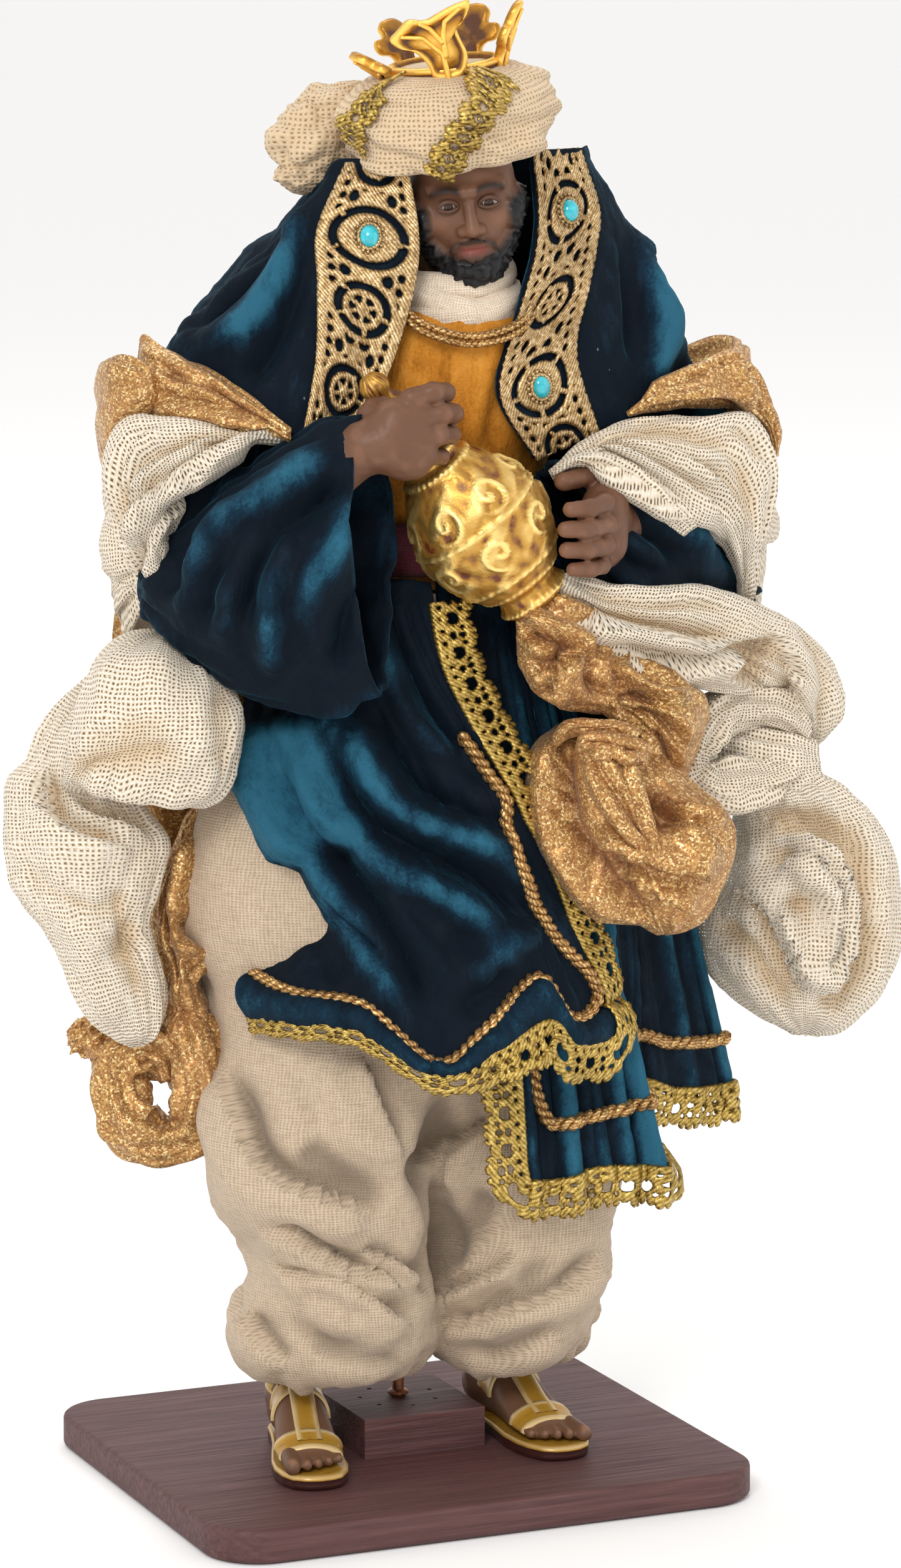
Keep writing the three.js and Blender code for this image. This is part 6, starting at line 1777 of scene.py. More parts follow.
def eyes():
    """Eyeballs with iris and lids, generic and calm, looking a little down"""
    white = Look(
        "eye_white", (0.5, 0.45, 0.38), 0.25, sockets={"Coat Weight": 0.2, "Specular IOR Level": 0.3},
    )
    veins = white.spread(white.grain(900, 3), 0.55, 0.8, 0.0, 0.15)
    white.color(white.mix(veins, white.ramp(white.value_of("tone"), *IRIS), (0.5, 0.32, 0.25)))
    look_way = unit(np.array((0.0, -1.0, -0.12)))
    side = unit(np.cross(look_way, (0, 0, 1.0)))
    rise = np.cross(side, look_way)
    polar = np.linspace(0, EYE_REACH * math.pi, 26)
    radius = EYE_RADIUS * np.sin(polar)
    a = np.linspace(-1, 1, 40)
    for hand, name in ((-1, "right"), (1, "left")):
        pile, lids = Pile(), Pile()
        centre = np.array((hand * 4.05, -9.3, 0.75))
        middles = centre + EYE_RADIUS * look_way * np.cos(polar)[:, None]
        ball = ring_round(middles, side, rise, ring_angles(40)[:, None], radius, radius)
        tone = np.clip(np.broadcast_to(polar / EYE_REACH, ball.shape[:2]), 0, 1).ravel()
        pile.add_grid(on_head(ball), wrap=True, value=tone)
        finish_piece(pile.make("eye_" + name), white.mat)
        for height, drop, thick in LIDS:
            x, z = 2.25 * a, height * (1 - a * a) ** 0.75 - drop
            reach = np.sqrt(np.maximum(2.12**2 - (0.62 * x) ** 2 - z**2, 0.3))
            tube(lids, on_head(centre + stack(x, -reach, z)), thick * (1 - 0.45 * a**4), 10)
        tint = np.broadcast_to(SKIN_TONE * 0.62, (lids.count, 3))
        finish_piece(lids.make("lids_" + name, tint=tint), SKIN)


head()


def ball_distance(p, middle, radius):
    return np.linalg.norm(p - np.array(middle), axis=-1) - radius


def digit_field(p, joints, radius):
    """A finger or thumb that gets thinner from joint to joint, with its knuckles"""
    bones = enumerate(zip(joints[:-1], joints[1:]))
    taper = 0.07 * radius
    one = blend_all(
        [capsule(p, a, b, radius - taper * i, 0.93 * radius - taper * i) for i, (a, b) in bones], 0.5,
    )
    for i in range(1, len(joints) - 1):
        one = smooth_min(one, ball_distance(p, joints[i], 1.06 * radius - taper * i), 0.4)
    return one


def hand_piece(name, wrist, palm, fingers, thumb, node):
    """A cast hand as one blended form; fingers are joints from the knuckle to the tip"""
    digits = fingers + [thumb]

    def field(p):
        parts = [capsule(p, a[:3], b[:3], a[3], b[3]) for a, b in zip(wrist[:-1], wrist[1:])]
        parts += [ball_distance(p, middle, radius) for middle, radius in palm]
        return blend_all([blend_all(parts, 2.2)] + [digit_field(p, *digit) for digit in digits], 0.55)

    every = [w[:3] for w in wrist] + [m for m, _ in palm] + [j for joints, _ in digits for j in joints]
    points, faces = surface_nets(field, np.min(every, 0) - 9, np.max(every, 0) + 9, 0.55)
    points = relax(points, faces, 2, 0.4)
    normals = point_normals(points, faces)
    points = points + normals * (0.1 * noise(points * 0.7, 211) + 0.05 * noise(points * 1.9, 212))[:, None]
    tint = mix_by(SKIN_TONE, SKIN_WARM, 0.5 * smooth_step(0.1, 0.6, noise(points * 0.35, 213)))
    for joints, radius in digits:
        tint = mix_by(tint, SKIN_WARM * 1.25, 0.4 * bell(ball_distance(points, joints[-1], 0), radius))
    finish_piece(object_of(name, points, faces, None, {"tint": tint}), SKIN, [node])


hand_piece(
    "hand_right_cast",
    [(-37, -30, 202, 4.6), (-29, -36.5, 207, 4.4), (-24, -39.5, 212, 5.4)],
    [
        ((-20, -41.5, 213), 5.4), ((-18.5, -41.8, 217), 4.8), ((-17, -42.3, 210), 4.4),
        ((-14.5, -43, 218), 3.4), ((-14, -43, 213), 3.6), ((-14.5, -43, 209.5), 3.2),
    ],
    [
        ([(-16, -43.5, 221.6), (-11.5, -44.6, 222.8), (-7.5, -41.2, 222.4), (-8.2, -37.2, 221.4)], 2.15),
        ([(-16, -43.8, 217.6), (-9.9, -45.0, 218.6), (-5.9, -41.4, 218.2), (-6.6, -37.2, 217.4)], 2.2),
        ([(-16, -43.6, 213.4), (-10.3, -44.8, 214.4), (-6.3, -41.2, 214), (-7, -37.2, 213.2)], 2.1),
        ([(-16.4, -43, 209.6), (-12.3, -44, 210.2), (-8.3, -41, 209.8), (-9, -37.4, 209)], 1.85),
    ],
    ([(-22, -36.5, 218), (-17, -32.4, 221), (-10.5, -29.4, 219.4)], 2.35),
    "hand_right",
)
hand_piece(
    "hand_left_cast",
    [(46, -20, 193, 5.2), (36, -28, 194, 4.9), (31, -33, 195, 5.4)],
    [
        ((29, -36, 196.5), 5.0), ((28.5, -36.5, 191.5), 4.8), ((29.5, -37, 200), 3.8),
        ((28.5, -38.5, 195), 4.0), ((29, -38, 190), 3.6),
    ],
    [
        ([(29, -38.4, 199.6), (25.8, -43.6, 199.4), (21.2, -46.6, 198.9), (16.8, -47, 198.9)], 2.05),
        ([(29, -38.6, 195.5), (26.2, -44, 195.2), (20.1, -47, 194.8), (15.6, -47.2, 195)], 2.15),
        ([(29, -38.4, 191.4), (26.1, -43.8, 191), (20.5, -46.8, 190.7), (16, -47, 190.9)], 2.1),
        ([(29, -38, 187.6), (25.6, -43, 187), (21.7, -46, 186.7), (17.6, -46.6, 186.9)], 1.85),
    ],
    ([(31, -33.4, 200.6), (26, -34.8, 204.2), (19.8, -37.2, 203.4)], 2.3),
    "hand_left",
)


SANDAL = (0.42, 0.22, 0.02)
SANDAL_DARK = (0.05, 0.013, 0.01)
SANDAL_BRIGHT = (0.5, 0.3, 0.07)
# Pale colour of the painted highlight on the raised strap and rim edges
SANDAL_EDGE_HIGHLIGHT = (0.62, 0.45, 0.22)
FOOT_TONE = np.array((0.15, 0.075, 0.042))
# Stations of the foot from the heel to the toes: y, height of its middle, half height and half width
FOOT = np.array([
    [3, 7.5, 3.5, 2.5], [0, 8.5, 6, 4.6], [-8, 9.5, 7, 4.8], [-16, 8, 6, 5.6],
    [-24, 5.6, 3.6, 6.4], [-29, 4.8, 2.5, 6.3], [-31, 4.3, 1.7, 5.6],
])
SOLE_OUTLINE = [
    (0, 5), (3.4, 4.2), (5, 2), (5.4, -4), (5.5, -10), (6.3, -17), (7.5, -24), (7.6, -30), (7, -34),
    (5.4, -37.6), (3.5, -39), (0.8, -39.7), (-2, -39.5), (-4.8, -38), (-6.5, -35), (-7.5, -31),
    (-7.5, -26), (-6.6, -19), (-5.5, -12), (-5, -5), (-5, 0), (-3.2, 4),
]
# Size, height and tone up the sole's rim: the dark sole paint below, and a painted highlight along its top
# edge
SOLE = [
    (0.97, 0.02, 0), (1.0, 0.5, 0), (1.01, 1.2, 0), (1.0, 1.7, 0), (1.015, 2.1, 0.05),
    (1.01, 2.7, 0.9), (0.985, 3.05, 0.9), (0.94, 3.12, 0.5), (0.9, 3.05, 0.4),
]
# Share of the width, lift over the foot and tone across the straps, which have raised edges; the high tone
# paints a highlight on those edges, here and in the two tables below
STRAP = [
    (0, 0.1, 0.9), (0, 0.75, 1.0), (0.16, 0.8, 1.0), (0.24, 0.5, 0.45), (0.5, 0.58, 0.3),
    (0.76, 0.5, 0.45), (0.84, 0.8, 1.0), (1, 0.75, 1.0), (1, 0.1, 0.9),
]
MIDDLE_STRAP = [
    (-1, 0.1, 0.9), (-1, 0.8, 1.0), (-0.7, 0.85, 1.0), (-0.45, 0.6, 0.4), (0, 0.68, 0.3),
    (0.45, 0.6, 0.4), (0.7, 0.85, 1.0), (1, 0.8, 1.0), (1, 0.1, 0.9),
]
ANKLE_BAND = [
    (0, 0.1, 0.9), (0, 0.7, 1.0), (0.15, 0.75, 1.0), (0.28, 0.45, 0.35),
    (0.72, 0.45, 0.35), (0.85, 0.75, 1.0), (1, 0.7, 1.0), (1, 0.1, 0.9),
]
ANKLE_RADIUS = 5.35


def toe_places(side):
    """Middle and size of each toe, the big toe first"""
    for i in range(5):
        x = side * (-4.6 + 2.35 * i + (0.7 if i else 0))
        yield np.array((x, -35.2 + 0.22 * i * i, 4.7)), 1 - 0.06 * i if i else 1.45


def foot_field(p, toes):
    parts = []
    for a, b in zip(FOOT[:-1], FOOT[1:]):
        t = np.clip((p[..., 1] - a[0]) / (b[0] - a[0]), 0, 1)
        y, z, h, w = np.moveaxis(a + (b - a) * t[..., None], -1, 0)
        r = np.sqrt((p[..., 0] / w) ** 2 + ((p[..., 2] - z) / h) ** 2 + ((p[..., 1] - y) / 3.0) ** 2)
        parts.append((r - 1) * np.minimum(w, h) * 0.8)
    d = np.min(parts, 0)
    d = smooth_min(d, capsule(p, (0, -5, 8), (0, -6, 30), 5.4, 4.9), 2.5)
    d = smooth_min(d, ellipsoid(mirrored(p), (4.4, -4.4, 11), (1.6, 2, 2)), 1.2)
    for middle, big in toes:
        c = capsule(p, middle + (0, 4.5, 0.4), middle + (0, -1.1 * big, -0.2), 1.2 * big, 1.18 * big)
        d = smooth_min(d, c, 0.2)
    return np.maximum(d, 3.0 - p[..., 2])


def foot_at(y):
    """Height of the foot's middle, half height and half width at a place along it"""
    return [np.interp(-y, -FOOT[:, 0], FOOT[:, c]) for c in (1, 2, 3)]


def sandal(side):
    """Moulded sandal: sole with its rim, and straps that follow the foot"""
    pile = Pile()
    outline = np.array(SOLE_OUTLINE) * (side, 1)
    ring = resample(np.concatenate([outline, outline[:1]]), 0.9)[0][:-1]
    centre = ring.mean(0)

    def level(grow, z):
        x, y = (centre + (ring - centre) * grow).T
        return stack(x, y, z)

    pile.add_rows(SOLE, level, wrap=True)
    i = np.arange(len(ring))
    fan = stack(i, (i + 1) % len(ring), len(ring))
    pile.add(np.concatenate([level(0.9, 3.05), [[*centre, 3.05]]]), fan, None, 0.3)
    pile.add(np.concatenate([level(0.97, 0.02), [[*centre, 0.02]]]), fan[:, [1, 0, 2]], None, 0.1)
    across = np.linspace(-1, 1, 60) * 0.5 * math.pi
    for y_low, y_high in ((-31, -25.5), (-15, -8.5)):

        def strap(t, lift):
            y = y_low + (y_high - y_low) * t
            z, h, w = foot_at(y)
            return stack((w + lift) * np.sin(across), y, np.maximum(z + (h + lift) * np.cos(across), 3.0))

        pile.add_rows(STRAP, strap)
    instep = np.linspace(-29, -7, 40)
    z, h, w = foot_at(instep)
    round_ankle = ring_angles(60)

    def middle_strap(t, lift):
        a = t * (2.5 / (w + 0.5))
        return stack((w + lift) * np.sin(a), instep, z + (h + lift) * np.cos(a))

    def ankle_band(t, lift):
        x, y = (ANKLE_RADIUS + lift) * np.sin(round_ankle), (ANKLE_RADIUS + lift) * np.cos(round_ankle)
        return stack(x, -5.2 - y, 12.5 + 4 * t - 1.5 * np.cos(round_ankle))

    pile.add_rows(MIDDLE_STRAP, middle_strap)
    pile.add_rows(ANKLE_BAND, ankle_band, wrap=True)
    return pile


def foot(name, side, heel, turn_out, node):
    toes = list(toe_places(side))
    points, faces = surface_nets(lambda p: foot_field(p, toes), (-9, -40, 2.4), (9, 8, 28), 0.55)
    points = relax(points, faces, 2, 0.4)
    tint = FOOT_TONE
    for middle, big in toes:
        nail = middle + (0, -1.5 * big, 1.0 * big)
        tint = mix_by(tint, FOOT_TONE * 2.0, 0.8 * bell(ball_distance(points, nail, 0), 0.75 * big, 4))
    turn = euler_matrix(0, 0, math.radians(turn_out))
    shift = (*heel, 0)
    made = object_of(name, points @ turn.T + shift, faces, None, {"tint": tint})
    finish_piece(made, SKIN, [node])
    pile = sandal(side)
    pile.points = [p @ turn.T + shift for p in pile.points]
    finish_piece(pile.make(name + "_sandal"), SANDAL_MAT)


def sandal_look():
    look = Look("sandal", rough=0.38, metal=0.25, sockets={"Coat Weight": 0.25})
    patch = look.grain(260, 4, 0.6)
    both = look.sum_of((look.value_of("tone"), 0.8), (patch, 0.3))
    # Dark sole paint, the straps' mustard, then the two pale colours: a painted highlight on the raised edges
    tones = (0.3, SANDAL_DARK), (0.37, SANDAL), (0.75, SANDAL_BRIGHT), (0.98, SANDAL_EDGE_HIGHLIGHT)
    look.color(look.ramp(both, *tones))
    look.bump(patch, 0.15)
    return look.mat


SANDAL_MAT = sandal_look()
foot("foot_right_cast", 1, (-22, 7), -14, "foot_right")
foot("foot_left_cast", -1, (22, 8), 4, "foot_left")


# Turban, crown and jar
TURBAN_MATRIX = euler_matrix(0.12, -0.14, 0)
TURBAN_PLACE = np.array((4.5, -14.5, 275.4))
TURBAN = [
    [-8.6, 0, 0, 16.5, 15.5], [-7.2, 0, 0, 20, 18.5], [-1, 0, 0, 22.3, 20], [5, 0, 0, 21, 18.4],
    [8.2, 0, 0, 17, 14.6], [9.4, 0, 0, 10, 9],
]


def turban_swell(turn, rise):
    """Crossing layers and folds of the wound cloth, as a share of its size"""
    layers = billow(np.sin(1.5 * turn + rise * 0.36), 0.1) - 0.5
    ring = stack(np.sin(turn) * 1.4, np.cos(turn) * 1.4, rise * 0.11)
    fine = billow(np.sin(4.5 * turn + rise * 0.75 + 1.6 * noise(ring, 133)), 0.1) - 0.5
    return 0.07 * layers + 0.13 * (1.6 * billow(noise(ring, 131)) - 0.5) + 0.05 * fine + 0.02 * noise(
        ring * 3, 132,
    )


def ball_grid(middle, half, rows, sides, seed=0, depth=0.0):
    """A ball with folds of a depth given as a share of its size"""
    polar = np.linspace(0.02, math.pi - 0.02, rows)
    turn = ring_angles(sides)[:, None]
    way = stack(np.sin(polar) * np.sin(turn), -np.sin(polar) * np.cos(turn), -np.cos(polar))
    folds = 1.8 * billow(noise(way * 1.5 + seed, seed)) - 0.5 + 0.4 * noise(way * 3.9, seed + 1)
    return np.array(middle) + way * np.array(half) * (1 + depth * folds)[..., None]


def on_turban(points):
    return points @ TURBAN_MATRIX.T + TURBAN_PLACE


# The puff on the turban's right side: middle, half sizes and seed of each ball
PUFF = [((-18, 1, 270), (9, 8, 9), 141), ((-13, 0, 276), (9, 8, 6), 142), ((-20, 0, 263), (7, 5, 3.5), 143)]


def turban():
    pile = Pile()
    pile.add_grid(on_turban(level_grid(TURBAN, 66, 200, turban_swell)), wrap=True, caps=True)
    for middle, half, seed in PUFF:
        pile.add_grid(ball_grid(middle, half, 64, 80, seed, 0.2), wrap=True)
    finish_piece(pile.make("turban_cloth"), TURBAN_GAUZE, ["turban"])


turban()

CROWN_MATRIX = euler_matrix(0.06, -0.14, 0)
CROWN_PLACE = np.array((4.6, -13, 283.8))
CROWN_RADIUS = 11.2
# Angle round the ring, height, half width, lean outwards and tilt sideways; the first is the large front leaf
CROWN_LEAVES = [
    [-20, 15.4, 8.6, 4, -4], [58, 13.5, 5.6, 14, 0], [128, 12, 5.6, 18, 0], [200, 11, 5.6, 18, 0],
    [-95, 10.5, 5.6, 46, 8],
]
# Ribs and outlines in half widths and heights of a leaf
LEAF_RIBS = [
    [(0, 0), (0, 0.5), (0, 0.93)], [(0, 0.3), (0.4, 0.45), (0.8, 0.56)],
    [(0, 0.3), (-0.4, 0.45), (-0.8, 0.56)],
]
FRONT_RIBS = [
    [(0, 0), (-0.05, 0.35), (-0.45, 0.62), (-0.95, 0.68)],
    [(0, 0.3), (0.02, 0.6), (0.1, 0.78), (0.5, 0.93)], [(0, 0.5), (-0.25, 0.72), (-0.5, 0.82)],
]
FRONT_LEAF = [
    (-0.34, 0), (-0.42, 0.26), (-0.7, 0.46), (-1.05, 0.52), (-1.24, 0.66), (-0.95, 0.78), (-0.72, 0.9),
    (-0.34, 0.82),
    (0, 0.9), (0.34, 0.97), (0.8, 1.02), (0.64, 0.8), (0.34, 0.68), (0.4, 0.52), (0.54, 0.28), (0.38, 0),
]
LEAF_HALF = [
    (0.5, 0), (0.36, 0.24), (0.52, 0.36), (0.96, 0.4), (1.12, 0.54), (0.98, 0.7), (0.6, 0.68),
    (0.5, 0.76), (0.56, 0.9), (0.3, 1.02), (0.08, 1.04),
]


# Outward step, height and tone round the crown's ring, then share of the outline, depth and tone of a leaf
RING_PROFILE = [
    (-1.6, -2.0, 0.2), (-1.5, -2.3, 0.5), (-0.2, -2.3, 1.0), (0.25, -1.7, 1.0), (-0.15, -1.2, 0.0),
    (-0.1, 0.2, 0.15),
    (-0.15, 1.1, 0.0), (0.3, 1.7, 1.0), (0.1, 2.4, 1.0), (-1.2, 2.5, 0.6), (-1.6, 1.9, 0.2),
    (-1.6, -2.0, 0.2),
]
LEAF_PROFILE = [
    (0.02, -1.5, 0.5), (0.3, -1.4, 0.75), (0.55, -1.1, 0.45), (0.7, -0.6, 0.1), (0.78, -0.75, 0.3),
    (0.88, -1.2, 1.0),
    (0.96, -1.1, 1.0), (1.0, -0.7, 0.8), (1.0, 0.4, 0.4), (0.9, 0.8, 0.4), (0.5, 0.5, 0.1), (0.02, 0.4, 0.1),
]


def smooth_loop(points):
    """A closed outline with its corners cut twice"""
    p = np.array(points, float)
    for _ in range(2):
        q = np.roll(p, -1, 0)
        p = np.stack([0.78 * p + 0.22 * q, 0.22 * p + 0.78 * q], 1).reshape(-1, 2)
    return p


def add_leaf(pile, front, angle, height, half_width, lean, tilt):
    corners = FRONT_LEAF if front else LEAF_HALF + [(-x, y) for x, y in LEAF_HALF][::-1]
    size = np.array((half_width, height))
    outline = smooth_loop(corners) * size
    middle = np.array((0, 0.42 * height))
    tilted, leaned = euler_matrix(0, math.radians(tilt), 0), euler_matrix(math.radians(lean), 0, 0)

    def placed(flat, out):
        curl = 0.012 * flat[:, 1] ** 2
        q = stack(flat[:, 0], out - curl, flat[:, 1])
        q = q @ tilted.T @ leaned.T + (0, 0.7 - CROWN_RADIUS, 0)
        return q @ euler_matrix(0, 0, math.radians(angle)).T @ CROWN_MATRIX.T + CROWN_PLACE

    pile.add_rows(
        LEAF_PROFILE, lambda share, out: placed(middle + (outline - middle) * share, out), wrap=True,
    )
    # Raised ribs: a stem up the middle and one to each lobe
    for path in FRONT_RIBS if front else LEAF_RIBS:
        line = resample(np.array(path, float) * size, 0.5)[0]
        tube(pile, placed(line, -1.35), np.linspace(0.7, 0.4, len(line)), 6, 1.0)


def crown():
    pile = Pile()
    a = ring_angles(120)

    def ring(out, z):
        beads = 0.3 * billow(np.sin(a * 24), 0.1) * (1 if abs(z) < 0.6 else 0.15)
        r = CROWN_RADIUS + out + beads
        return stack(r * np.sin(a), -r * np.cos(a), z) @ CROWN_MATRIX.T + CROWN_PLACE

    pile.add_rows(RING_PROFILE, ring, wrap=True)
    for k, leaf in enumerate(CROWN_LEAVES):
        add_leaf(pile, k == 0, *leaf)
    finish_piece(pile.make("crown_leaves"), CROWN_GOLD, ["crown"])


crown()

JAR_TOP = np.array((-21, -33, 225.5))
JAR_FOOT = np.array((14.5, -36, 180.0))
# Distance along the jar from its stopper, and radius
JAR = [
    (0, 0.01), (0.3, 2), (2, 3.3), (4, 3.2), (5.2, 2), (7, 2.2), (8, 4.2), (10, 3.6), (17, 4.4),
    (20, 6.4), (21.5, 6.2), (26, 9.6), (33, 13.4),
    (39, 14.4), (46, 13), (51, 10), (54, 6.6), (56, 7.6), (57.7, 7.2), (57.9, 0.01),
]


JAR_BANDS = (9.2, 20.5, 23.2, 36.2, 48.8, 52.2, 56.6)
# Scrolls in each of the two rows round the belly; then each row's level, size and way round
SCROLLS = 7
SCROLL_ROWS = [(31, 4.6, 1), (41.5, 4.4, -1)]
BELLY_RADIUS = 13.5


def jar_scrolls(turn, s):
    swirl = 0.0
    for k in range(SCROLLS):
        for row, (level, size, way) in enumerate(SCROLL_ROWS):
            middle = (k + 0.5 * row) / SCROLLS * TAU
            dx = np.angle(np.exp(1j * (turn - middle))) * BELLY_RADIUS
            dz = s - level
            radius = np.sqrt(dx * dx + dz * dz) + 1e-6
            spiral = np.cos(np.arctan2(dz, dx * way) - radius * 1.9)
            swirl = np.maximum(swirl, smooth_step(0.1, 0.8, spiral) * smooth_step(size, size - 1.2, radius))
    return swirl


def jar_relief(turn, s):
    """Scrolls and leaves round the belly, leaves on the neck and raised rope bands between, 0 to 1"""
    belly = smooth_step(23, 27, s) * smooth_step(52, 47, s)
    neck = smooth_step(9.5, 11.5, s) * smooth_step(19.5, 17.5, s)
    leaf = smooth_step(0.4, 0.75, np.cos(turn * 7 + (s - 36) * 0.9) * 0.5 + 0.5)
    leaf = leaf * billow(np.cos(turn * 4 + (s - 33) * 0.12), 0.1)
    relief = belly * np.maximum(jar_scrolls(turn, s), 0.5 * leaf)
    relief = np.maximum(relief, neck * smooth_step(0.25, 0.8, np.abs(np.cos(turn * 4 + (s - 12) * 0.22))))
    bands = np.max([bell(s - level, 0.55) for level in JAR_BANDS], 0)
    return np.maximum(relief, bands * (0.75 + 0.25 * np.sin(turn * 34 + s * 3)))


def jar():
    axis = unit(JAR_FOOT - JAR_TOP)
    side = unit(np.cross(axis, (0, 0, 1.0)))
    profile = np.array(JAR)
    d = run_of(profile)
    t = np.linspace(0, d[-1], 136)
    s = np.interp(t, d, profile[:, 0])
    r = smoothed(np.interp(t, d, profile[:, 1]), 3)
    turn = ring_angles(170)[:, None]
    relief = jar_relief(turn, s)
    rough = noise(stack(np.sin(turn) * 5, np.cos(turn) * 5, s * 0.35), 151)
    radius = r + (0.75 * (relief - 0.35) + 0.22 * rough) * smooth_step(0.5, 2.5, r)
    points = ring_round(JAR_TOP + axis * s[:, None], -np.cross(side, axis), side, turn, radius, radius)
    tone = np.clip(relief * 0.95 + 0.18 + 0.25 * rough, 0, 1)
    made = grid_object("jar_relief", points, True, {"tone": tone.ravel()})
    finish_piece(made, JAR_GOLD, ["jar"])


jar()


# Lace, braid and stones
def openwork(name, pattern, length, width, step, place, cord=0.42):
    """Pierced band: pattern(s, w) is the distance in millimetres into the thread, below 0 in the holes"""
    ns, nw = int(math.ceil(length / step)) + 1, int(math.ceil(width / step)) + 1
    s = np.linspace(0, length, ns)
    w = np.linspace(-0.5, width + 0.5, nw)
    S, W = np.meshgrid(s, w, indexing="ij")
    F = pattern(S, W)
    inside = F > 0
    node = np.full((ns, nw), -1)
    node[inside] = np.arange(inside.sum())
    flat_s, flat_w, flat_f = [S[inside]], [W[inside]], [F[inside]]
    count = int(inside.sum())

    def crossings(axis):
        nonlocal count
        a = (slice(0, -1), slice(None)) if axis == 0 else (slice(None), slice(0, -1))
        b = (slice(1, None), slice(None)) if axis == 0 else (slice(None), slice(1, None))
        cut = inside[a] != inside[b]
        ids = np.full(cut.shape, -1)
        n = int(cut.sum())
        ids[cut] = count + np.arange(n)
        f0, f1 = F[a][cut], F[b][cut]
        t = np.clip(f0 / (f0 - f1), 0.04, 0.96)
        flat_s.append(S[a][cut] + (S[b][cut] - S[a][cut]) * t)
        flat_w.append(W[a][cut] + (W[b][cut] - W[a][cut]) * t)
        flat_f.append(np.zeros(n))
        count += n
        return ids

    along_s, along_w = crossings(0), crossings(1)
    c = [inside[:-1, :-1], inside[1:, :-1], inside[1:, 1:], inside[:-1, 1:]]
    corner = [node[:-1, :-1], node[1:, :-1], node[1:, 1:], node[:-1, 1:]]
    edge = [along_s[:, :-1], along_w[1:, :], along_s[:, 1:], along_w[:-1, :]]
    case = c[0] * 1 + c[1] * 2 + c[2] * 4 + c[3] * 8
    faces = []
    for k in range(1, 16):
        at = case == k
        if not at.any():
            continue
        loop = []
        for i in range(4):
            if k >> i & 1:
                loop.append(corner[i][at])
            if (k >> i & 1) != (k >> ((i + 1) % 4) & 1):
                loop.append(edge[i][at])
        faces.extend(np.stack(loop, 1).tolist())
    fs, fw, ff = np.concatenate(flat_s), np.concatenate(flat_w), np.concatenate(flat_f)
    depth = np.clip(ff, 0, cord)
    height = np.sqrt(depth * (2 * cord - depth))
    loops = np.array([i for f in faces for i in f])
    uv = np.stack([fs[loops], fw[loops]], 1)
    return object_of(name, place(fs, fw, height), faces, uv, {"tone": np.clip(height / cord, 0, 1)})


# Shift along the repeat, level over the width and radius of the holes between the plaits
SCALLOP_HOLES = [
    (0.5, 0.4, 0.95), (0.5, 0.66, 0.75), (0.26, 0.68, 0.62), (-0.26, 0.68, 0.62),
    (0.3, 0.27, 0.55), (-0.3, 0.27, 0.55), (0, 0.8, 0.55),
]
PICOTS = 1.7


def scallop_pattern(length, width, period, both=False):
    """Bobbin-lace edging: a plaited heading, round holes, scallops and small picots"""
    repeats = max(1, round(length / period))
    p = length / repeats

    def pattern(S, W):
        side = np.abs(W - width / 2) if both else W
        reach = width / 2 if both else width
        edge = reach - 2.1 + 1.5 * np.abs(np.cos(S / p * math.pi)) ** 0.7
        f = edge - side if both else np.minimum(edge - side, W + 0.3)
        local = (S % p) - p / 2
        holes = [np.hypot(local, W - 0.46 * width) - (1.1 if both else 1.55)]
        near = (S % (p / 3)) - p / 6
        holes.append(np.hypot(near * 0.9, (W - (width / 2 if both else 0.17 * width)) * 1.1) - 0.52)
        for shift, level, radius in SCALLOP_HOLES:
            u = (S - shift * p) % p - p / 2
            radius *= 0.62 if both else 1
            holes.append(np.hypot(u, W - level * width) - radius)
            if both:
                holes.append(np.hypot(u, width - W - level * width) - radius)
        f = np.min([f] + holes, 0)
        n = (S % PICOTS) - PICOTS / 2
        f = np.maximum(f, 0.62 - np.hypot(n, side - edge - 0.35))
        f = np.maximum(f, 0.34 - np.abs(np.hypot(local, W - 0.46 * width) - (1.4 if both else 1.85)))
        if not both:
            f = np.maximum(f, 0.42 - np.abs(W - 0.15 - 0.22 * np.sin(S * TAU / 1.5)))
            f = np.maximum(f, 0.36 - np.abs(W - 0.3 * width - 0.25 * np.sin(S * TAU / 1.5)))
        return f

    return pattern


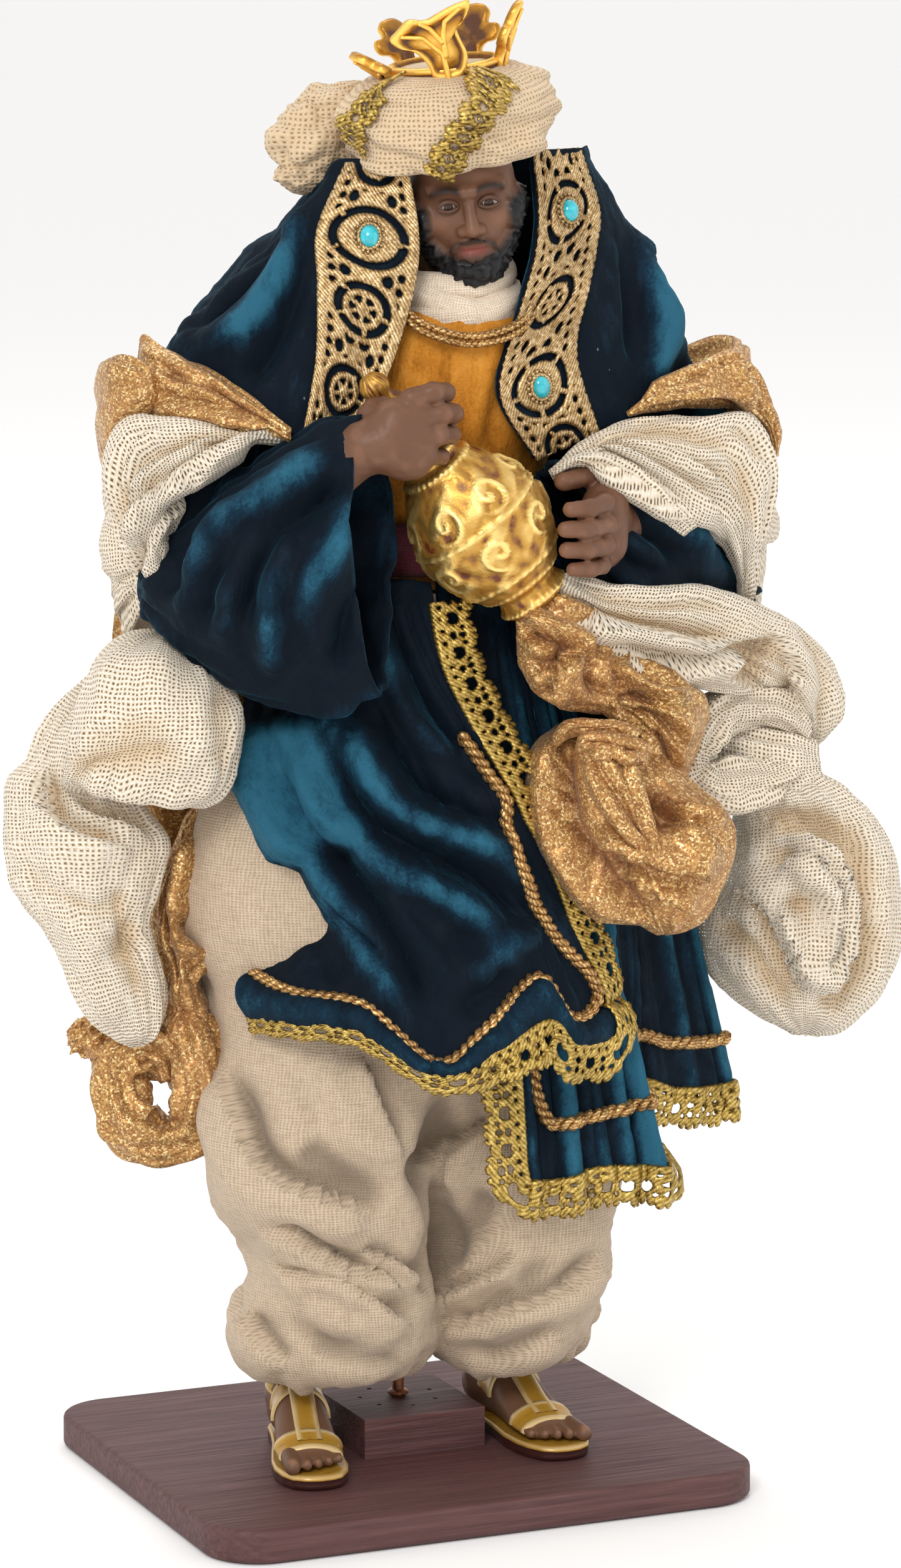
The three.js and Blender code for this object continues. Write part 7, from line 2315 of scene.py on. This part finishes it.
def collar_pattern(length, width, stones):
    """Wide band of medallions round the stones, with crescent openings, leaf holes and beaded edges"""
    between = [m for m in (0.0, 0.5, 1.0, 0.26, 0.78) if min(abs(m - s) for s in stones) > 0.2]
    middles = sorted(stones + between)

    def pattern(S, W):
        border = 0.55 * np.abs(np.sin(S * math.pi / 3.4)) ** 0.6
        f = np.minimum(W + border, width - W + border)
        for level, wave in ((0.13, 0.0), (0.87, 1.3)):
            n = ((S + wave) % 2.6) - 1.3
            f = np.minimum(f, np.hypot(n * 0.85, W - level * width) - 0.68)
        n = (S % 5.2) - 2.6
        for level in (0.27, 0.73):
            f = np.minimum(f, np.hypot(n, (W - level * width) * 1.4) - 1.35)
        n = ((S + 2.6) % 5.2) - 2.6
        for level in (0.4, 0.6):
            f = np.minimum(f, np.hypot(n * 0.8, W - level * width) - 1.15)
        for m in middles:
            stone = m in stones
            r = np.hypot(S - m * length, W - 0.5 * width)
            a = np.arctan2(W - 0.5 * width, S - m * length)
            size = 4.6 if stone else 3.6
            disc = size - r
            f = np.maximum(f, disc)
            # Dark crescents between the stone's disc and the outer ring, bridged by short bars
            crescent = np.minimum(r - size, size + 1.9 - r)
            bars = np.abs(np.sin(2.5 * a + 0.6)) * r * 0.4 - 0.42
            f = np.minimum(f, -np.minimum(crescent, bars))
            f = np.maximum(f, 0.55 - np.abs(r - size - 2.3))
            f = np.maximum(f, 0.42 - np.abs(r - size + 0.3))
            if not stone:
                petal = np.minimum(r - 1.2, 2.6 - r)
                slits = np.abs(np.sin(3 * a)) * r * 0.33 - 0.34
                f = np.minimum(f, -np.minimum(petal, slits))
        beads = (S % 1.7) - 0.85
        for level in (-0.3, width + 0.3):
            f = np.maximum(f, 0.72 - np.hypot(beads, W - level))
        return f

    return pattern


# Millimetres of a skirt panel along U and V, to space points evenly
PANEL_SIZE = (60, 100)
EDGING_WIDTH = 8.0
EDGING_PERIOD = 7.4


def skirt_line(points, count, rounds):
    """U and V of an evened line over a skirt panel, from its corner points"""
    uv = np.array(points, float)
    d = run_of(uv * PANEL_SIZE)
    t = np.linspace(0, 1, count)
    return smoothed(np.stack([np.interp(t, d / d[-1], column) for column in uv.T], 1), rounds).T


def lay_lace(name, surface, edge, replaces, lift=0.9, reach=((0, 1), (1, 1))):
    """Lace edging along an edge of a cloth, given as points in the cloth's own two directions"""
    u, v = skirt_line(edge, 1200, 60)
    path = surface(u, v)
    off = unit(surface(u, v, 1.0) - path)
    length = run_of(path)
    tangent = unit(np.gradient(path, axis=0))
    for _ in range(3):
        tangent = unit(smoothed(tangent, 1))
    across = unit(np.cross(off, tangent))
    normal = unit(np.cross(tangent, across))
    normal = np.where((normal * off).sum(-1, keepdims=True) < 0, -normal, normal)

    def at(s, line):
        return np.stack([np.interp(s, length, column) for column in line.T], -1)

    def place(s, w, height):
        share = np.interp(s / length[-1], *zip(*reach))
        out = -(w * share - 0.06 * EDGING_WIDTH)[:, None] * unit(at(s, across))
        return at(s, path) + out + unit(at(s, normal)) * (lift * share + height - 0.02 * w * w)[:, None]

    pattern = scallop_pattern(length[-1], EDGING_WIDTH, EDGING_PERIOD)
    made = openwork(name, pattern, length[-1], EDGING_WIDTH, 0.48, place)
    finish_piece(made, GOLD_LACE, replaces, 0.55)


OVER_EDGE = [
    [0, 0.995], [0.33, 0.995], [0.66, 0.995], [0.97, 0.995], [0.995, 0.97], [0.995, 0.7], [0.995, 0.4],
    [0.995, 0.04],
]
UNDER_EDGE = [[0.003, 0.6], [0.003, 0.97], [0.01, 0.995], [0.35, 0.995], [0.7, 0.995], [1, 0.995]]
NARROWED = ((0, 0.45), (0.22, 0.45), (0.34, 1), (1, 1))
lay_lace("lace_over", over_surface, OVER_EDGE, ["skirt_lace_over"], reach=NARROWED)
lay_lace("lace_under", under_surface, UNDER_EDGE, ["skirt_lace_under"], 1.0)


def twisted(pile, path, radius, pitch):
    """Two strands wound round each other along a path"""
    path, at = resample(path, 0.5)
    path = smoothed(path, 4)
    side, up = frames_along(path)
    for half_turn in (0, 0.5):
        a = (at / pitch + half_turn) * TAU
        wound = 0.92 * radius
        tube(pile, ring_round(path, side, up, a, wound, 0.75 * wound), radius, 6, 0.5)


OVER_BRAID = [
    [0.01, 0.835], [0.3, 0.835], [0.6, 0.835], [0.93, 0.835], [0.97, 0.79], [0.94, 0.72], [0.86, 0.66],
    [0.84, 0.6], [0.86, 0.5], [0.92, 0.38], [0.86, 0.28],
]
UNDER_BRAID = [
    [0.055, 0.72], [0.055, 0.85], [0.08, 0.9], [0.2, 0.9], [0.33, 0.9], [0.36, 0.89], [0.44, 0.9],
    [0.7, 0.92], [1, 0.92],
]


NECKLINE = [(-10, -22.5, 239), (-6, -26, 234.4), (3, -27.8, 231.6), (13, -26.6, 233.4), (19.5, -22.8, 238.4)]


def braids():
    over, under, neck = Pile(), Pile(), Pile()
    twisted(over, over_surface(*skirt_line(OVER_BRAID, 300, 12), 1.2), 0.85, 4.4)
    twisted(under, under_surface(*skirt_line(UNDER_BRAID, 300, 12), 1.3), 0.85, 4.4)
    path = along_stations(NECKLINE, np.linspace(0, 1, 80))
    out = unit((path - (5, -6, 236)) * (1, 1, 0))
    twisted(neck, path + out * 1.0 + (0, 0, 0.7), 0.52, 2.6)
    twisted(neck, path + out * 1.3 - (0, 0, 0.9), 0.52, 2.6)
    finish_piece(over.make("braid_over"), BRAID, ["skirt_braid_over"])
    finish_piece(under.make("braid_under"), BRAID, ["skirt_braid_under"])
    finish_piece(neck.make("braid_neckline"), BRAID, ["neckline_braid"])


braids()


def bodice_surface(u, v, off=0.0):
    return bodice_form(u, v) + surface_normal(bodice_form, u, v) * np.asarray(off)[..., None]


# Width of the collar's bands as a share of the bodice, from the bottom to the top
LACE_SPAN = {
    "right": [[0, 0.115], [0.5, 0.108], [0.8, 0.085], [1, 0.06]],
    "left": [[0, 0.105], [0.3, 0.1], [0.6, 0.078], [1, 0.06]],
}
STONES = {"right": [0.26], "left": [0.2, 0.78]}


def turquoise_look():
    look = Look("turquoise", (0.02, 0.42, 0.5), 0.12, sockets={"Coat Weight": 0.8, "Coat Roughness": 0.05})
    cloud = look.grain(500, 4, 0.6)
    tones = (0.3, (0.008, 0.27, 0.34)), (0.6, (0.02, 0.5, 0.58)), (0.8, (0.16, 0.75, 0.8))
    look.color(look.ramp(cloud, *tones))
    look.bump(cloud, 0.05)
    return look.mat


TURQUOISE = turquoise_look()


# Share of the stone's size and height up its dome
DOME = [(1.0, 0.0), (0.985, 0.35), (0.9, 0.8), (0.72, 1.2), (0.45, 1.5), (0.18, 1.62), (0.02, 1.64)]


def stone(number, centre, normal, way):
    """Domed oval stone in a rolled metal rim with a row of grains"""
    side = unit(np.cross(normal, way))
    gem, rim = Pile(), Pile()
    turn = ring_angles(28)
    rows = [ring_round(centre + normal * (0.7 + h), way, side, turn, 2.3 * r, 1.95 * r) for r, h in DOME]
    gem.add_grid(np.stack(rows, 1)[::-1], wrap=True)
    tube(rim, ring_round(centre + normal * 0.9, way, side, turn, 2.55, 2.2), 0.42, 8, 1.0, closed=True)
    for spot in ring_round(centre + normal * 0.75, way, side, ring_angles(18), 3.25, 2.9):
        rim.add_grid(ball_grid(spot, (0.46,) * 3, 5, 6), wrap=True, value=0.8)
    name = "stone_%d" % number
    finish_piece(gem.make(name), TURQUOISE, ["gem_%d" % number])
    finish_piece(rim.make(name + "_rim"), COLLAR_LACE)


def collar():
    """Lace bands down both front edges of the bodice, with their stones"""
    number = 0
    for side, stones in STONES.items():
        edge, way = (0, 1) if side == "right" else (1, -1)
        v = np.linspace(0.0, 1.0, 400)
        span = blend(LACE_SPAN[side], v)[:, 0]
        length = run_of(bodice_surface(edge + way * span / 2, v))
        across = bodice_surface(edge + way * span, v) - bodice_surface(np.full_like(v, edge), v)
        width = float(np.linalg.norm(across, axis=1).mean())

        def place(s, w, height):
            """A place on the band, which goes on straight past the bodice's edge, 130 mm for 1 of U"""
            at = np.interp(s, length, v)
            f = (w / width - 0.02) * np.interp(s, length, span)
            u = edge + way * f
            held = np.clip(u, 0, 1)
            wave = 0.35 * noise(stack(s * 0.16, w * 0.16), 160)
            outward = bodice_surface(held, at) - bodice_surface(np.clip(u + 0.01 * way, 0, 1), at)
            beyond = unit(outward) * (130 * np.clip(-f, 0, None))[..., None]
            return bodice_surface(held, at, 1.25 + height + wave) + beyond

        pattern = collar_pattern(length[-1], width, stones)
        made = openwork("collar_band_" + side, pattern, length[-1], width, 0.4, place, 0.5)
        finish_piece(made, COLLAR_LACE, ["collar_lace_" + side], 0.5)
        for m in stones:
            number += 1
            s, w = m * length[-1], 0.5 * width
            centre, ahead, above = place(np.array((s, s + 1, s)), np.full(3, w), np.array((0.3, 0.3, 1.3)))
            stone(number, centre, unit(above - centre), unit(ahead - centre))


collar()

TURBAN_SIZES = [[z, hw, hd] for z, _, _, hw, hd in TURBAN]
TURBAN_LOW, TURBAN_HIGH = -8.6, 9.4
BAND_WIDTH = 6.6
# Millimetres round the turban for each degree
DEGREE = 0.36
# Share of the length, angle and height along each band
BANDS = [
    ("turban_band_front", [[0, 22, 9.0], [0.3, 4, 6.5], [0.7, -17, -1.5], [1, -30, -7.8]], ["turban_lace"]),
    ("turban_band_rear", [[0, -66, 8.2], [0.5, -76, 3], [1, -84, -3]], []),
]


def turban_point(angle, height, off):
    """A point over the turban at an angle in degrees and a height over its middle"""
    value = blend(TURBAN_SIZES, height)
    turn = np.radians(angle)
    grow = 1 + turban_swell(turn, height - TURBAN_LOW)
    p = stack(value[..., 0] * grow * np.sin(turn), -value[..., 1] * grow * np.cos(turn), height)
    ahead, back = [blend(TURBAN_SIZES, np.clip(height + e, TURBAN_LOW, TURBAN_HIGH)) for e in (0.5, -0.5)]
    out = unit(stack(np.sin(turn), -np.cos(turn), (back - ahead)[..., 0]))
    return on_turban(p + out * np.asarray(off)[..., None])


def turban_bands():
    for name, path, replaces in BANDS:
        key = blend(path, np.linspace(0, 1, 300))
        length = run_of(turban_point(key[:, 0], key[:, 1], 0.8))
        lines = np.concatenate([key, np.gradient(key, axis=0)], 1).T

        def place(s, w, height):
            a, z, da, dz = [np.interp(s, length, line) for line in lines]
            off = (w - BAND_WIDTH / 2) / np.hypot(da * DEGREE, dz)
            z = np.clip(z + off * da * DEGREE, TURBAN_LOW, TURBAN_HIGH)
            return turban_point(a - off * dz / DEGREE, z, 0.9 + height)

        pattern = scallop_pattern(length[-1], BAND_WIDTH, 6.2, both=True)
        made = openwork(name, pattern, length[-1], BAND_WIDTH, 0.34, place)
        finish_piece(made, GOLD_LACE, replaces, 0.5)


turban_bands()


# Floor, light and camera
FLOOR_RADIUS = 90.0
FLOOR_LEVEL = -0.0002
FLOOR_SIDES = 48
# Lights: name, place in metres, size and power, and the place that they all face
LIGHTS = [
    ("key", (-1.0, -1.35, 1.25), (0.6, 0.6), 17),
    ("fill", (1.3, -1.0, 0.6), (1.0, 1.2), 2.5),
    ("back", (0.3, 1.0, 2.0), (1.2, 0.8), 10),
]
LIGHTS_AIM = (0, 0, 0.15)
SKY = (1.0, 0.99, 0.975, 1)
SKY_STRENGTH = 0.95
# The photo's camera: lens and sensor in millimetres, place in metres, directions to its right and behind it
LENS = 121.7
SENSOR = 36
CAMERA_PLACE = (-0.4168, -0.9940, 0.3149)
CAMERA_RIGHT = (0.9185, -0.3956, 0.0)
CAMERA_BACK = (-0.3907, -0.9073, 0.1554)


def placed_object(name, data):
    made = bpy.data.objects.new(name, data)
    bpy.context.scene.collection.objects.link(made)
    return made


def facing_matrix(right, back):
    """A turn for a light or camera, from the directions to its right and behind it"""
    right, back = [np.array(way) / np.linalg.norm(way) for way in (right, back)]
    return Matrix((right, np.cross(back, right), back)).transposed()


def area(name, place, size, power):
    """A square or oblong light that shines on the figure"""
    light = bpy.data.lights.new(name, "AREA")
    light.shape = "RECTANGLE"
    light.size, light.size_y = size
    light.energy = power
    made = placed_object(name, light)
    made.location = place
    back = np.array(place) - LIGHTS_AIM
    made.rotation_euler = facing_matrix(np.cross((0, 0, 1.0), back), back).to_euler()


def stage():
    mesh = bpy.data.meshes.new("floor")
    a = ring_angles(FLOOR_SIDES)
    ring = stack(FLOOR_RADIUS * np.sin(a), FLOOR_RADIUS * np.cos(a), FLOOR_LEVEL)
    mesh.from_pydata(ring.tolist(), [], [list(range(FLOOR_SIDES))[::-1]])
    floor = placed_object("floor", mesh)
    look = Look("pale_floor", (0.97, 0.97, 0.97), 0.8, sockets={"Specular IOR Level": 0.2})
    mesh.materials.append(look.mat)

    world = bpy.data.worlds.new("studio")
    world.use_nodes = True
    shade = world.node_tree.nodes["Background"]
    shade.inputs["Color"].default_value = SKY
    shade.inputs["Strength"].default_value = SKY_STRENGTH
    bpy.context.scene.world = world

    for light in LIGHTS:
        area(*light)

    camera = bpy.data.cameras.new("camera")
    made = placed_object("camera", camera)
    camera.sensor_width = SENSOR
    camera.lens = LENS
    camera.clip_start, camera.clip_end = 0.05, 400
    pose = facing_matrix(CAMERA_RIGHT, CAMERA_BACK).to_4x4()
    pose.translation = CAMERA_PLACE
    made.matrix_world = pose
    bpy.context.scene.camera = made
    bpy.context.scene.view_settings.view_transform = "Standard"


stage()
